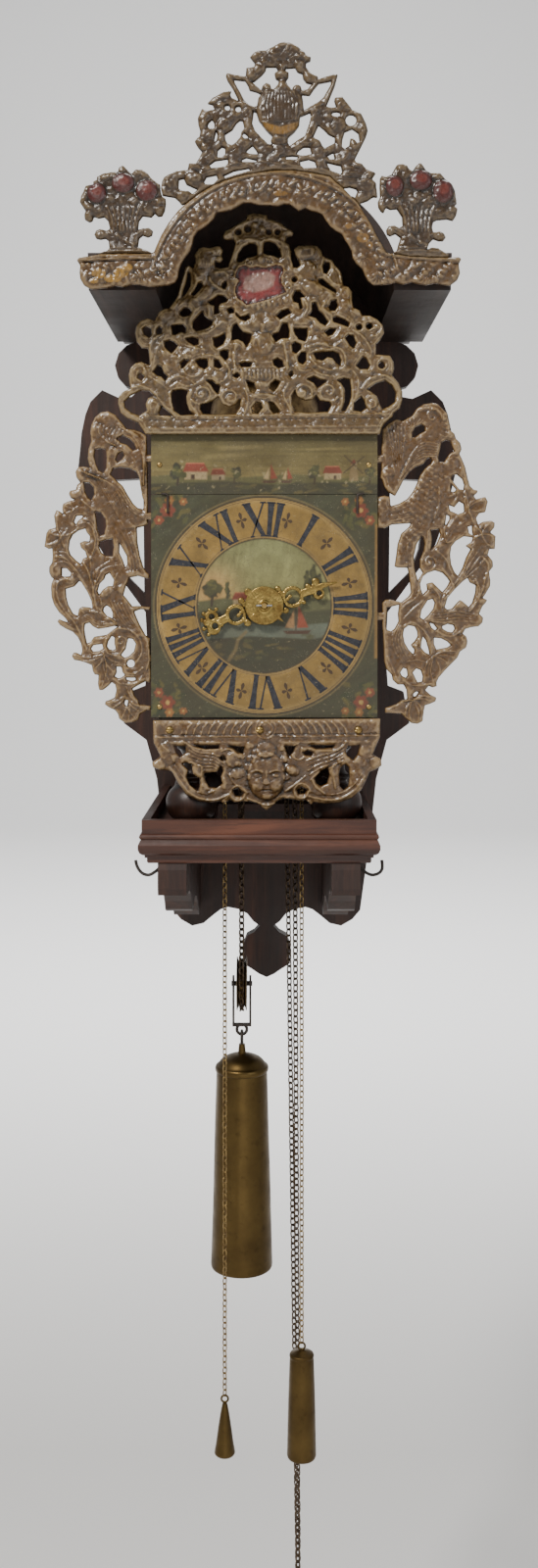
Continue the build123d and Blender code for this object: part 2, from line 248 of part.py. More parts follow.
    [(18.8, 175.1), (20.9, 177.3), (21.7, 175.1), (20.0, 173.4)],
    [(32.9, 171.3), (37.5, 173.5), (42.2, 171.3), (47.2, 170.2), (44.1, 167.5), (40.3, 164.9), (37.6, 168.5)],
    [(55.6, 170.4), (60.1, 172.1), (64.7, 171.1), (65.6, 164.7), (65.6, 158.1), (63.9, 152.4), (61.1, 147.4), (58.9, 147.7),
    (61.1, 155.2), (61.1, 163.8), (58.2, 168.5)],
    [(20.6, 158.1), (23.3, 162.6), (25.2, 158.1), (30.9, 155.1), (36.5, 156.0), (39.4, 158.8), (42.2, 155.1), (49.7, 154.1),
    (50.5, 151.5), (47.9, 146.9), (32.7, 146.0), (23.3, 146.9), (21.1, 152.4)],
    [(4.6, 167.5), (8.2, 170.7), (11.8, 169.2), (10.1, 165.6), (7.2, 162.1), (4.1, 164.7)],
    [(3.6, 154.1), (7.2, 153.2), (10.8, 148.6), (11.8, 146.5), (7.2, 145.5), (4.6, 148.6)],
    [(67.9, 153.4), (73.3, 157.9), (76.0, 154.3), (76.9, 149.6), (73.3, 146.9), (67.9, 147.9)],
    [(78.3, 163.8), (84.7, 168.3), (91.3, 170.2), (96.8, 166.4), (99.6, 160.9), (98.7, 154.3), (94.1, 150.7), (89.4, 148.8),
    (87.5, 152.4), (85.6, 158.1), (81.1, 161.9)],
    [(73.8, 210.7), (73.4, 209.5), (72.4, 208.7), (71.1, 208.7), (70.1, 209.5), (69.7, 210.7), (70.1, 211.9), (71.1, 212.7),
    (72.4, 212.7), (73.4, 211.9)],
    [(81.8, 211.5), (81.3, 210.1), (80.2, 209.3), (78.8, 209.3), (77.7, 210.1), (77.2, 211.5), (77.7, 212.8), (78.8, 213.6),
    (80.2, 213.6), (81.3, 212.8)],
    [(91.2, 181.7), (90.7, 180.3), (89.5, 179.4), (88.0, 179.4), (86.8, 180.3), (86.3, 181.7), (86.8, 183.2), (88.0, 184.0),
    (89.5, 184.0), (90.7, 183.2)]]
SIDE_LEFT_OUT = [(-89.6, 129.2), (-93.7, 132.4), (-99.1, 134.2), (-104.6, 134.6), (-108.2, 139.2), (-113.6, 145.5), (-119.0, 148.2),
    (-124.5, 147.3), (-129.0, 143.7), (-131.7, 138.3), (-132.6, 131.9), (-131.9, 125.6), (-134.0, 119.2), (-134.6, 112.0),
    (-133.1, 105.2), (-137.2, 106.1), (-141.7, 105.7), (-143.9, 102.0), (-143.0, 97.5), (-140.3, 93.9), (-142.6, 92.1),
    (-143.5, 88.5), (-148.0, 87.6), (-148.9, 85.3), (-147.6, 82.1), (-144.6, 80.7), (-149.8, 79.4), (-153.4, 77.6),
    (-153.9, 74.0), (-153.2, 69.9), (-156.2, 72.0), (-158.4, 72.9), (-160.2, 68.6), (-158.9, 59.5), (-164.3, 58.1),
    (-166.1, 55.0), (-167.0, 48.6), (-167.5, 45.0), (-164.3, 43.2), (-161.6, 43.7), (-161.2, 37.8), (-161.6, 33.2),
    (-163.9, 29.6), (-163.9, 25.1), (-162.1, 21.5), (-160.5, 20.6), (-162.1, 17.0), (-162.5, 14.8), (-162.5, 12.0),
    (-162.0, 6.2), (-160.1, 0.5), (-156.3, -5.2), (-151.6, -9.5), (-149.4, -12.6), (-153.4, -11.6), (-156.3, -10.2),
    (-157.7, -11.9), (-155.8, -14.7), (-151.1, -17.6), (-145.8, -20.0), (-142.0, -24.2), (-139.6, -29.0), (-138.7, -33.8),
    (-139.6, -37.6), (-143.0, -35.9), (-145.3, -35.7), (-146.6, -38.5), (-144.9, -41.4), (-141.1, -41.9), (-136.3, -43.3),
    (-131.5, -45.2), (-130.6, -50.0), (-129.2, -52.4), (-126.3, -52.8), (-126.8, -59.5), (-125.8, -64.3), (-123.0, -64.3),
    (-119.2, -61.4), (-116.3, -58.3), (-113.6, -60.2), (-112.7, -64.3), (-114.1, -70.0), (-118.2, -71.9), (-121.0, -72.8),
    (-121.5, -75.2), (-118.2, -77.6), (-113.9, -79.5), (-111.5, -82.4), (-110.6, -86.2), (-105.8, -89.5), (-101.0, -89.0),
    (-96.3, -87.2), (-94.4, -82.6), (-89.6, -79.7), (-86.3, -79.5), (-86.3, -76.4), (-94.8, -75.0), (-96.3, -71.9),
    (-99.0, -68.1), (-100.4, -63.3), (-96.3, -60.7), (-90.6, -57.8), (-87.2, -58.6), (-86.3, -55.7), (-86.6, -37.6),
    (-87.0, -25.2), (-90.6, -22.4), (-95.3, -13.8), (-98.2, -7.1), (-99.0, -4.4), (-94.4, -2.7), (-86.9, -3.3), (-86.9, -1.1),
    (-95.3, -0.1), (-100.6, -0.4), (-105.6, 6.0), (-107.5, 8.1), (-105.6, 14.8), (-102.8, 21.3), (-96.3, 22.7), (-90.6, 21.0),
    (-87.4, 20.5), (-87.7, 23.9), (-89.6, 25.6), (-91.9, 28.7), (-94.8, 37.8), (-96.7, 48.6), (-97.1, 59.3), (-92.8, 60.4),
    (-88.7, 62.0), (-88.7, 71.7), (-88.8, 101.2)]
SIDE_LEFT_HOLES = [[(-117.2, 100.1), (-115.2, 104.6), (-110.0, 105.5), (-102.8, 104.6), (-97.3, 101.9), (-95.2, 97.5), (-94.3, 90.3),
    (-93.0, 83.0), (-91.3, 78.5), (-92.3, 73.5), (-96.4, 74.4), (-100.0, 77.9), (-104.6, 85.1), (-108.0, 91.4), (-112.7, 95.5)],
    [(-112.5, 127.2), (-108.2, 129.8), (-102.9, 127.2), (-99.3, 123.6), (-97.6, 119.2), (-100.0, 118.5), (-104.6, 122.7),
    (-109.1, 124.2)],
    [(-111.6, 115.6), (-108.2, 117.1), (-106.6, 114.7), (-108.2, 112.0), (-111.6, 109.5), (-113.3, 111.3)],
    [(-128.8, 119.1), (-125.4, 119.9), (-121.0, 119.1), (-120.1, 112.9), (-120.6, 104.8), (-122.7, 101.4), (-126.1, 103.1),
    (-128.4, 108.4), (-129.6, 113.8)],
    [(-137.4, 93.7), (-133.5, 93.6), (-130.1, 90.1), (-129.6, 84.8), (-131.7, 80.6), (-134.3, 82.3), (-136.5, 86.7)],
    [(-128.8, 71.8), (-124.5, 70.9), (-121.1, 65.8), (-120.7, 60.4), (-122.3, 54.4), (-125.2, 53.5), (-127.0, 57.7),
    (-127.9, 64.9)],
    [(-125.2, 48.5), (-120.9, 50.2), (-115.7, 51.0), (-114.8, 45.0), (-115.7, 38.0), (-120.9, 38.0), (-124.3, 40.7),
    (-126.0, 45.0)],
    [(-110.3, 47.4), (-108.2, 43.9), (-104.8, 37.8), (-104.4, 31.4), (-105.9, 29.1), (-108.0, 35.1), (-110.6, 40.5)],
    [(-143.3, 68.4), (-139.2, 68.8), (-138.2, 67.7), (-141.7, 64.9), (-143.5, 62.0), (-145.0, 64.0)],
    [(-146.0, 54.1), (-141.7, 57.3), (-136.4, 58.8), (-135.3, 55.7), (-132.9, 53.0), (-133.3, 49.0), (-137.2, 49.4),
    (-140.6, 47.9), (-139.7, 44.1), (-136.4, 41.2), (-135.2, 37.0), (-138.1, 36.0), (-139.9, 31.8), (-143.3, 34.3),
    (-147.8, 38.9), (-149.1, 43.2), (-148.3, 49.5)],
    [(-154.2, 28.5), (-150.7, 28.5), (-147.3, 25.1), (-147.8, 22.6), (-152.1, 22.1), (-154.2, 22.6)],
    [(-141.1, 18.8), (-139.2, 17.5), (-134.6, 10.1), (-131.7, 3.4), (-130.9, -2.0), (-134.4, -1.1), (-138.7, -0.7),
    (-141.2, -2.3), (-142.2, -7.7), (-145.8, -6.0), (-149.4, 0.5), (-150.9, 6.2), (-151.3, 12.7), (-144.9, 14.6)],
    [(-118.0, 25.0), (-114.6, 19.6), (-115.5, 15.0), (-119.2, 15.0), (-123.0, 12.2), (-125.8, 8.5), (-127.1, 11.0),
    (-125.6, 16.7), (-122.0, 20.3), (-120.9, 23.4)],
    [(-120.1, 0.2), (-117.4, -1.6), (-115.6, -5.2), (-115.6, -9.7), (-119.9, -7.8), (-122.7, -4.2), (-122.3, -1.6)],
    [(-136.6, -14.0), (-133.2, -13.0), (-130.6, -15.7), (-126.8, -17.8), (-120.1, -16.8), (-114.4, -15.5), (-111.9, -15.9),
    (-115.3, -18.4), (-120.1, -22.1), (-129.6, -23.6), (-132.5, -27.8), (-135.2, -28.7), (-136.6, -22.4), (-137.2, -17.6)],
    [(-130.4, -30.2), (-123.6, -29.2), (-122.7, -32.6), (-125.8, -34.5), (-130.4, -35.0), (-132.1, -32.8)],
    [(-119.0, -27.1), (-116.3, -23.1), (-114.2, -24.2), (-114.2, -29.0), (-113.2, -32.6), (-115.3, -34.0), (-118.5, -33.1),
    (-119.8, -30.9)],
    [(-104.7, -28.1), (-103.7, -24.9), (-100.3, -25.4), (-98.0, -29.0), (-99.3, -34.7), (-103.0, -38.3), (-106.6, -39.7),
    (-109.2, -37.6), (-105.6, -32.8)],
    [(-112.8, -46.4), (-108.9, -46.8), (-107.9, -50.9), (-106.2, -52.8), (-108.7, -54.6), (-111.3, -55.4), (-114.0, -53.8),
    (-112.5, -50.9)],
    [(-105.6, -54.9), (-98.4, -54.9), (-98.0, -56.5), (-101.0, -57.4), (-104.7, -56.5)],
    [(-98.7, -44.1), (-99.2, -45.9), (-100.8, -47.0), (-102.7, -47.0), (-104.2, -45.9), (-104.8, -44.1), (-104.2, -42.3),
    (-102.7, -41.2), (-100.8, -41.2), (-99.2, -42.3)],
    [(-103.1, -74.1), (-103.5, -75.5), (-104.3, -76.4), (-105.4, -76.4), (-106.2, -75.5), (-106.6, -74.1), (-106.2, -72.7),
    (-105.4, -71.8), (-104.3, -71.8), (-103.5, -72.7)]]
SIDE_RIGHT_OUT = [(90.1, 134.6), (94.2, 138.7), (100.5, 142.3), (105.1, 141.0), (112.3, 144.6), (115.9, 150.0), (121.4, 153.7),
    (128.6, 154.6), (132.2, 153.7), (135.9, 150.0), (139.5, 146.4), (140.4, 141.9), (141.7, 137.4), (141.5, 133.7),
    (144.9, 131.0), (146.0, 127.4), (149.4, 123.8), (150.3, 119.2), (148.7, 115.6), (150.5, 112.0), (153.1, 105.7),
    (154.9, 97.5), (156.7, 91.2), (159.4, 88.5), (162.6, 88.0), (162.1, 85.8), (159.6, 83.8), (161.2, 81.2), (164.8, 82.1),
    (168.4, 83.0), (170.3, 79.4), (168.4, 71.3), (163.9, 70.4), (161.4, 66.8), (163.0, 61.8), (166.6, 64.0), (173.0, 64.9),
    (175.7, 63.1), (175.2, 59.5), (172.2, 55.9), (176.1, 53.2), (175.7, 43.2), (171.6, 43.2), (170.3, 38.7), (173.9, 34.2),
    (174.3, 29.6), (171.3, 26.0), (172.1, 19.7), (172.5, 20.5), (172.0, 14.8), (168.7, 9.1), (166.5, 6.0), (169.9, 4.3),
    (168.2, 1.5), (166.3, -0.4), (163.7, -6.2), (166.8, -9.0), (166.3, -12.8), (163.4, -15.7), (157.7, -16.4), (153.2, -17.8),
    (151.2, -21.4), (153.9, -23.3), (154.9, -27.1), (153.9, -31.9), (149.2, -34.9), (147.2, -39.5), (144.4, -42.4),
    (138.7, -48.1), (132.9, -54.8), (131.2, -58.6), (131.5, -61.4), (128.2, -62.4), (125.3, -61.1), (122.7, -64.3),
    (126.3, -67.6), (131.1, -70.0), (130.6, -72.8), (126.3, -74.8), (122.5, -75.9), (121.5, -80.5), (120.6, -88.1),
    (116.8, -90.0), (112.0, -89.5), (107.2, -85.2), (104.4, -82.4), (92.0, -81.6), (92.0, -77.8), (100.5, -75.0),
    (104.4, -72.1), (108.9, -71.1), (108.5, -64.3), (106.3, -60.2), (101.5, -60.0), (97.9, -56.6), (97.2, -52.8), (92.9, -48.1),
    (91.3, -42.4), (90.5, -23.3), (89.9, -13.8), (89.9, 2.4), (92.0, 4.5), (95.8, 5.0), (104.4, 2.6), (110.1, 7.2),
    (111.8, 10.1), (111.0, 16.7), (110.1, 24.3), (109.1, 28.9), (101.5, 29.1), (99.6, 29.9), (99.2, 29.6), (100.5, 37.8),
    (101.6, 46.8), (104.4, 55.0), (110.7, 60.4), (111.4, 62.9), (97.1, 61.8), (96.0, 61.1), (91.5, 59.0), (85.6, 59.5),
    (85.3, 71.3), (85.6, 83.0), (91.5, 84.0), (95.8, 83.0), (96.2, 76.7), (96.9, 76.0), (102.4, 77.6), (108.7, 81.2),
    (113.2, 86.7), (115.9, 92.1), (118.7, 99.2), (122.3, 104.6), (126.8, 108.2), (127.7, 110.9), (125.9, 112.7), (124.1, 111.8),
    (121.4, 108.2), (115.0, 105.5), (110.5, 101.9), (106.0, 95.5), (102.5, 88.5), (99.7, 83.5), (94.2, 86.7), (91.5, 90.3),
    (89.7, 95.7), (88.3, 97.5), (89.2, 104.8), (89.2, 119.2), (89.7, 128.3)]
SIDE_RIGHT_HOLES = [[(113.0, 128.5), (112.5, 131.9), (115.2, 136.2), (119.6, 138.0), (122.5, 136.3), (122.1, 133.0), (118.7, 131.2),
    (115.0, 128.5)],
    [(132.5, 112.9), (135.1, 124.4), (138.6, 126.2), (141.6, 125.3), (144.6, 117.6), (141.1, 115.8), (136.8, 109.7),
    (133.3, 109.7)],
    [(143.3, 99.3), (146.7, 100.1), (151.0, 96.4), (152.3, 92.1), (151.8, 88.4), (148.7, 88.7), (145.1, 93.0), (142.5, 96.6)],
    [(142.5, 92.8), (146.4, 88.5), (144.9, 86.9), (142.4, 86.9), (141.9, 90.3)],
    [(140.6, 76.7), (144.9, 75.1), (148.5, 79.6), (152.0, 77.4), (152.3, 71.5), (147.6, 69.7), (141.5, 72.4)],
    [(137.8, 61.7), (138.8, 69.2), (141.1, 68.4), (141.1, 65.8), (138.6, 61.7)],
    [(127.0, 57.5), (133.0, 58.3), (134.2, 54.1), (131.3, 47.0), (127.1, 42.7), (127.9, 50.5)],
    [(121.2, 51.9), (122.1, 46.8), (121.2, 41.4), (118.5, 35.1), (118.5, 28.7), (120.8, 25.1), (117.0, 19.3), (114.4, 28.7),
    (114.0, 37.8), (116.1, 46.8), (119.6, 52.7)],
    [(142.5, 45.0), (146.0, 49.3), (152.2, 52.9), (159.0, 52.0), (158.1, 48.8), (153.4, 45.7), (157.2, 43.0), (153.8, 36.9),
    (151.0, 28.7), (147.6, 22.8), (145.1, 25.3), (142.5, 31.4), (141.6, 38.7)],
    [(155.1, 60.2), (158.3, 61.0), (158.3, 57.7), (159.0, 53.5), (156.0, 55.2)],
    [(118.8, 16.7), (120.8, 22.2), (124.4, 25.0), (130.1, 26.9), (135.8, 25.0), (139.4, 21.3), (141.2, 18.6), (139.4, 14.8),
    (135.8, 10.4), (132.0, 14.1), (128.2, 17.9), (123.6, 16.9), (124.2, 12.0), (120.8, 8.5), (119.3, 12.9)],
    [(154.9, 21.2), (156.8, 17.5), (161.2, 15.6), (160.8, 10.1), (158.5, 2.4), (155.8, -1.0), (153.0, 1.7), (149.2, 4.5),
    (146.1, 1.5), (143.2, -2.1), (139.6, -3.0), (137.5, -1.2), (139.8, 6.2), (145.3, 12.6), (151.1, 18.4)],
    [(124.6, 4.1), (128.2, 5.1), (129.8, 2.4), (128.8, -2.3), (125.3, -6.8), (121.5, -10.5), (118.9, -9.0), (119.9, -3.3)],
    [(126.0, -13.0), (129.1, -14.0), (131.6, -17.4), (130.1, -18.7), (127.4, -16.6)],
    [(135.5, -15.7), (139.6, -14.0), (144.2, -14.9), (145.1, -17.6), (143.4, -20.2), (139.6, -19.7), (136.0, -17.6)],
    [(106.5, -17.8), (110.1, -15.0), (114.7, -15.9), (116.5, -19.5), (116.9, -23.3), (114.7, -26.9), (111.6, -29.8),
    (114.5, -33.8), (113.7, -37.0), (110.1, -33.6), (106.9, -28.1), (105.8, -22.4)],
    [(120.8, -23.5), (123.2, -26.4), (125.1, -32.8), (125.9, -37.2), (122.5, -35.5), (119.4, -31.9), (119.9, -27.1)],
    [(129.3, -24.4), (134.9, -25.0), (139.4, -27.3), (142.1, -30.0), (139.6, -31.7), (131.2, -33.4), (129.3, -29.0)],
    [(103.6, -50.9), (105.9, -47.4), (108.5, -48.3), (109.3, -52.8), (108.0, -54.9), (105.0, -53.6)],
    [(113.1, -50.9), (115.8, -47.9), (119.4, -49.2), (120.8, -53.8), (120.3, -57.8), (116.8, -58.3), (115.0, -54.8)],
    [(113.6, -67.1), (115.8, -65.4), (117.5, -65.9), (115.8, -68.8), (113.6, -69.2)],
    [(93.6, -1.6), (102.8, 0.8), (101.8, -6.2), (102.3, -11.9), (99.4, -17.4), (96.7, -19.5), (93.6, -18.4), (92.7, -15.7)]]
APRON_OUT = [(-84.2, -86.8), (87.9, -85.3), (87.5, -99.4), (85.7, -103.7), (82.0, -112.3), (88.2, -116.0), (88.8, -120.9),
    (84.5, -123.9), (79.6, -125.8), (77.1, -131.9), (73.4, -139.3), (66.1, -145.4), (56.3, -149.1), (45.2, -149.7),
    (37.2, -148.7), (35.4, -150.6), (31.7, -146.9), (26.8, -147.5), (20.7, -146.3), (14.6, -145.7), (9.6, -148.1),
    (6.0, -151.8), (1.7, -154.8), (-2.6, -151.8), (-5.1, -149.3), (-11.2, -148.1), (-16.1, -147.9), (-22.2, -148.7),
    (-25.9, -146.9), (-30.8, -149.9), (-33.3, -147.9), (-40.7, -149.1), (-49.2, -147.9), (-59.1, -142.9), (-65.2, -134.4),
    (-69.5, -125.8), (-73.8, -124.5), (-79.9, -123.9), (-84.2, -122.1), (-84.8, -118.4), (-81.2, -116.0), (-78.7, -113.5),
    (-81.2, -108.6), (-83.6, -103.7), (-84.0, -99.4)]
APRON_HOLES = [[(-67.9, -106.2), (-59.3, -106.4), (-59.3, -111.0), (-63.7, -114.5), (-66.7, -111.0)],
    [(-52.7, -105.7), (-34.2, -105.7), (-34.8, -108.1), (-44.3, -108.6), (-49.0, -107.4)],
    [(-26.9, -106.2), (-15.1, -106.8), (-16.1, -112.0), (-19.8, -110.8), (-23.2, -108.0)],
    [(15.4, -106.2), (23.5, -106.2), (21.9, -110.8), (18.5, -114.2), (16.6, -109.8)],
    [(34.4, -105.7), (53.0, -105.5), (51.4, -107.4), (39.1, -108.3)],
    [(63.3, -106.2), (72.0, -105.7), (70.7, -112.3), (67.3, -116.7), (62.6, -113.3), (61.7, -109.8)],
    [(29.5, -111.0), (33.0, -109.3), (37.0, -111.0), (35.4, -113.3), (30.8, -113.1)],
    [(-33.7, -114.7), (-30.8, -113.6), (-29.2, -116.0), (-32.1, -117.1)],
    [(-61.9, -119.6), (-59.1, -118.7), (-55.0, -119.9), (-53.8, -127.0), (-48.9, -130.9), (-48.9, -136.8), (-50.5, -140.0),
    (-56.4, -135.6), (-58.8, -129.5), (-57.6, -124.5)],
    [(-45.3, -127.0), (-39.4, -126.0), (-35.8, -125.8), (-32.7, -120.9), (-31.1, -124.5), (-32.9, -129.5), (-31.7, -134.4),
    (-35.8, -137.8), (-41.6, -137.2), (-44.7, -131.9)],
    [(-23.9, -139.3), (-19.8, -138.5), (-15.9, -141.7), (-17.4, -144.4), (-22.0, -143.9)],
    [(24.6, -139.3), (28.1, -137.1), (32.6, -139.3), (30.5, -142.1), (25.8, -142.7)],
    [(38.1, -130.7), (42.8, -124.8), (48.0, -122.5), (49.3, -128.2), (47.4, -134.4), (42.8, -136.6), (39.3, -134.4)],
    [(56.5, -127.0), (57.7, -122.3), (61.2, -120.0), (64.0, -122.3), (64.5, -129.5), (63.4, -136.8), (60.0, -139.5),
    (57.1, -136.8)]]


# ---------------------------------------------------------------- helpers
def at_y(y):
    """Plane at depth y, its x along +X and its y along +Z, so it faces -Y."""
    return Plane(origin=(0, y, 0), x_dir=(1, 0, 0), z_dir=(0, -1, 0))


def gear_pts(n, m, shrink=0.10, root=1.25, top=1.0, phase=0.0):
    """Outline of an involute wheel: n teeth of module m, 25 degree pressure angle, thinned for backlash."""
    pa = radians(25)
    rp = n * m / 2
    rb = rp * cos(pa)
    ra, rf = rp + top * m * 0.95, rp - root * m
    inv = lambda a: tan(a) - a
    half = pi / (2 * n) - shrink / (2 * rp) / 1.0
    out = []
    for k in range(n):
        c = phase + 2 * pi * k / n
        r0 = max(rb, rf)
        left, right = [], []
        for j in range(4):
            r = r0 + (ra - r0) * j / 3
            a = acos(min(1.0, rb / r))
            th = half + inv(pa) - inv(a)
            left.append((r * cos(c - th), r * sin(c - th)))
            right.append((r * cos(c + th), r * sin(c + th)))
        t0 = half + inv(pa)
        if rf < rb:
            left.insert(0, (rf * cos(c - t0), rf * sin(c - t0)))
            right.insert(0, (rf * cos(c + t0), rf * sin(c + t0)))
        out += left + right[::-1]
    return out


def shifted(pts, c):
    return [(x + c[0], z + c[1]) for x, z in pts]


def star_pts(n, r_out, r_in, lean, phase=0.0):
    out = []
    for k in range(n):
        a = phase + 2 * pi * k / n
        out.append((r_out * cos(a), r_out * sin(a)))
        out.append((r_out * cos(a + 0.02), r_out * sin(a + 0.02)))
        out.append((r_in * cos(a + lean), r_in * sin(a + lean)))
        out.append((r_in * cos(a + lean + pi / n), r_in * sin(a + lean + pi / n)))
    return out


# ================================================================ wooden case
# backboard: one board with turned-looking lobes, a pierced window each side and a tailpiece
BOARD_HALF = [(128.4, 258.0), (126.0, 233.0)]
LOBE = [(113.0, 232.6), (122.4, 229.0), (129.6, 222.0), (132.8, 211.3), (130.0, 201.0), (123.0, 193.4), (112.0, 190.2),
        (118.0, 184.0), (127.5, 182.2), (144.0, 189.8), (154.2, 179.6), (158.6, 168.4), (162.0, 152.2), (163.2, 137.8),
        (165.4, 117.2), (160.2, 95.8), (155.2, 76.2), (148.2, 55.6), (142.2, 45.4), (124.2, 20.4), (106.0, -4.6),
        (104.0, -40.0), (106.2, -69.0), (119.8, -74.2), (125.0, -101.6), (105.2, -116.4), (96.0, -150.0), (90.0, -205.0),
        (81.9, -265.2), (75.0, -273.2), (65.2, -278.9), (55.3, -276.7), (45.9, -268.9), (39.9, -264.4), (33.9, -262.6),
        (24.5, -264.4), (17.0, -268.2), (11.6, -275.0), (6.0, -279.0), (11.0, -284.6), (17.4, -288.0), (20.4, -295.6), (20.4, -312.0),
        (13.0, -316.6), (6.6, -321.0)]
BOARD_R = BOARD_HALF + LOBE
with BuildPart() as backboard:
    with BuildSketch(at_y(0.0)):
        with BuildLine():
            Polyline(*[(BOARD_CX + x, z) for x, z in BOARD_R], (BOARD_CX, -324.0),
                     *[(BOARD_CX - x, z) for x, z in BOARD_R[::-1]], close=True)
        make_face()
    extrude(amount=BOARD_T)
    with BuildSketch(at_y(0.0)):                       # arched head that closes the vault
        with Locations((ARCH_CX, ARCH_CZ)):
            Circle(ARCH_R)
    extrude(amount=BOARD_T)
    for s in (-1, 1):                                  # pierced windows beside the dial
        with BuildSketch(at_y(0.0)):
            with BuildLine():
                Polyline(*[(BOARD_CX + s * x, z) for x, z in
                           [(139.0, 111.0), (108.0, 112.6), (107.0, 12.0), (126.8, 32.2), (133.8, 51.0), (137.4, 77.0), (141.0, 95.6)]],
                         close=True)
            make_face()
        extrude(amount=BOARD_T, mode=Mode.SUBTRACT)
    with BuildSketch(at_y(0.0)):                       # slot for the hanger plate's hole
        with Locations((BOARD_CX, 285.0)):
            Circle(9.0)
    extrude(amount=BOARD_T, mode=Mode.SUBTRACT)
backboard.part.label = "backboard"

# iron hanger plate let into the front of the board's head
with BuildPart() as hanger_plate:
    with BuildSketch(at_y(-BOARD_T)):
        with Locations((BOARD_CX, 285.0)):
            RectangleRounded(30, 44, 5)
            Circle(5.0, mode=Mode.SUBTRACT)
            with Locations((0, 16.0), (0, -16.0)):
                Circle(2.05, mode=Mode.SUBTRACT)
    extrude(amount=3.0)
    for dz in (16.0, -16.0):
        with BuildSketch(at_y(-BOARD_T - 3.0)):
            with Locations((BOARD_CX, 285.0 + dz)):
                Circle(3.6)
        extrude(amount=1.6)
        with BuildSketch(at_y(-BOARD_T)):
            with Locations((BOARD_CX, 285.0 + dz)):
                Circle(2.0)
        extrude(amount=3.0)
hanger_plate.part.label = "hanger_plate"

# ---------------------------------------------------------------- hood
HF = HOOD_FRONT + LEAD_T           # -232: back of the castings, front of the board
HB = HF + 6.0                      # -226: back of the front board
with BuildPart() as hood_front_board:
    with BuildSketch(at_y(HB)):
        with Locations(((WING_L + WING_R) / 2, (WING_TOP + 238.0) / 2)):
            Rectangle(WING_R - WING_L, WING_TOP - 238.0)
        with Locations((ARCH_CX, ARCH_CZ)):
            Circle(ARCH_R)
        with Locations((ARCH_CX, ARCH_CZ)):
            Circle(77.0, mode=Mode.SUBTRACT)
        with Locations((ARCH_CX, 238.0 - 60)):
            Rectangle(400, 120, mode=Mode.SUBTRACT)
    extrude(amount=6.0)
hood_front_board.part.label = "hood_front_board"

with BuildPart() as hood_vault:
    with BuildSketch(at_y(-BOARD_T)):
        with Locations((ARCH_CX, ARCH_CZ)):
            Circle(ARCH_R)
            Circle(ARCH_R - VAULT_T, mode=Mode.SUBTRACT)
        with Locations((ARCH_CX, WING_BOT - 100)):
            Rectangle(400, 200, mode=Mode.SUBTRACT)
    extrude(amount=-HB - BOARD_T)
hood_vault.part.label = "hood_vault"


def wing_pair(z0, z1, left, right, name):
    """A board each side of the vault, from the front board back to the backboard; left and right are (outer, inner)."""
    with BuildPart() as p:
        for edge, inner in (left, right):
            with BuildSketch(at_y(-BOARD_T)):
                with Locations(((edge + inner) / 2, (z0 + z1) / 2)):
                    Rectangle(abs(edge - inner), z1 - z0)
                with Locations((ARCH_CX, ARCH_CZ)):
                    Circle(ARCH_R, mode=Mode.SUBTRACT)
            extrude(amount=-HB - BOARD_T)
    p.part.label = name
    return p


hood_roof_boards = wing_pair(WING_TOP - 6, WING_TOP, (WING_L, ARCH_CX - 50), (WING_R, ARCH_CX + 50), "hood_roof_boards")
hood_soffits = wing_pair(WING_BOT, WING_BOT + 5, (WING_L + 6, ARCH_CX - 60), (WING_R - 6, ARCH_CX + 60), "hood_soffits")
hood_sides = wing_pair(WING_BOT, WING_TOP - 6, (WING_L, WING_L + 6), (WING_R, WING_R - 6), "hood_sides")


def casting(outline, holes, y_back, thick, name, tabs=(), cut=None, round_holes=()):
    """Pierced cast plate: outline and holes in (x, z), back face at y_back."""
    with BuildPart() as p:
        with BuildSketch(at_y(y_back)):
            with BuildLine():
                Polyline(*outline, close=True)
            make_face()
            for h in holes:
                with BuildLine():
                    Polyline(*h, close=True)
                make_face(mode=Mode.SUBTRACT)
            for (hx, hz, hr) in round_holes:
                with Locations((hx, hz)):
                    Circle(hr, mode=Mode.SUBTRACT)
        extrude(amount=thick)
        if cut:
            with BuildSketch(at_y(y_back + 1)):
                with BuildLine():
                    Polyline(*cut, close=True)
                make_face()
            extrude(amount=thick + 2, mode=Mode.SUBTRACT)
        for (x0, x1, y0, y1, z0, z1) in tabs:
            with Locations(((x0 + x1) / 2, (y0 + y1) / 2, (z0 + z1) / 2)):
                Box(x1 - x0, y1 - y0, z1 - z0)
    p.part.label = name
    return p


hood_border_casting = casting(ARCH_BORDER_OUT, [], HF, LEAD_T, "hood_border_casting")
hood_crest_casting = casting(HOOD_CREST_OUT, HOOD_CREST_HOLES, HF, LEAD_T, "hood_crest_casting", cut=ARCH_BORDER_OUT)
with BuildPart() as basket_castings:
    for outline in (BASKET_LEFT_OUT, BASKET_RIGHT_OUT):
        with BuildSketch(at_y(HF)):
            with BuildLine():
                Polyline(*outline, close=True)
            make_face()
        extrude(amount=LEAD_T)
    with BuildSketch(at_y(HF + 1)):
        with BuildLine():
            Polyline(*ARCH_BORDER_OUT, close=True)
        make_face()
    extrude(amount=LEAD_T + 2, mode=Mode.SUBTRACT)
basket_castings.part.label = "basket_castings"

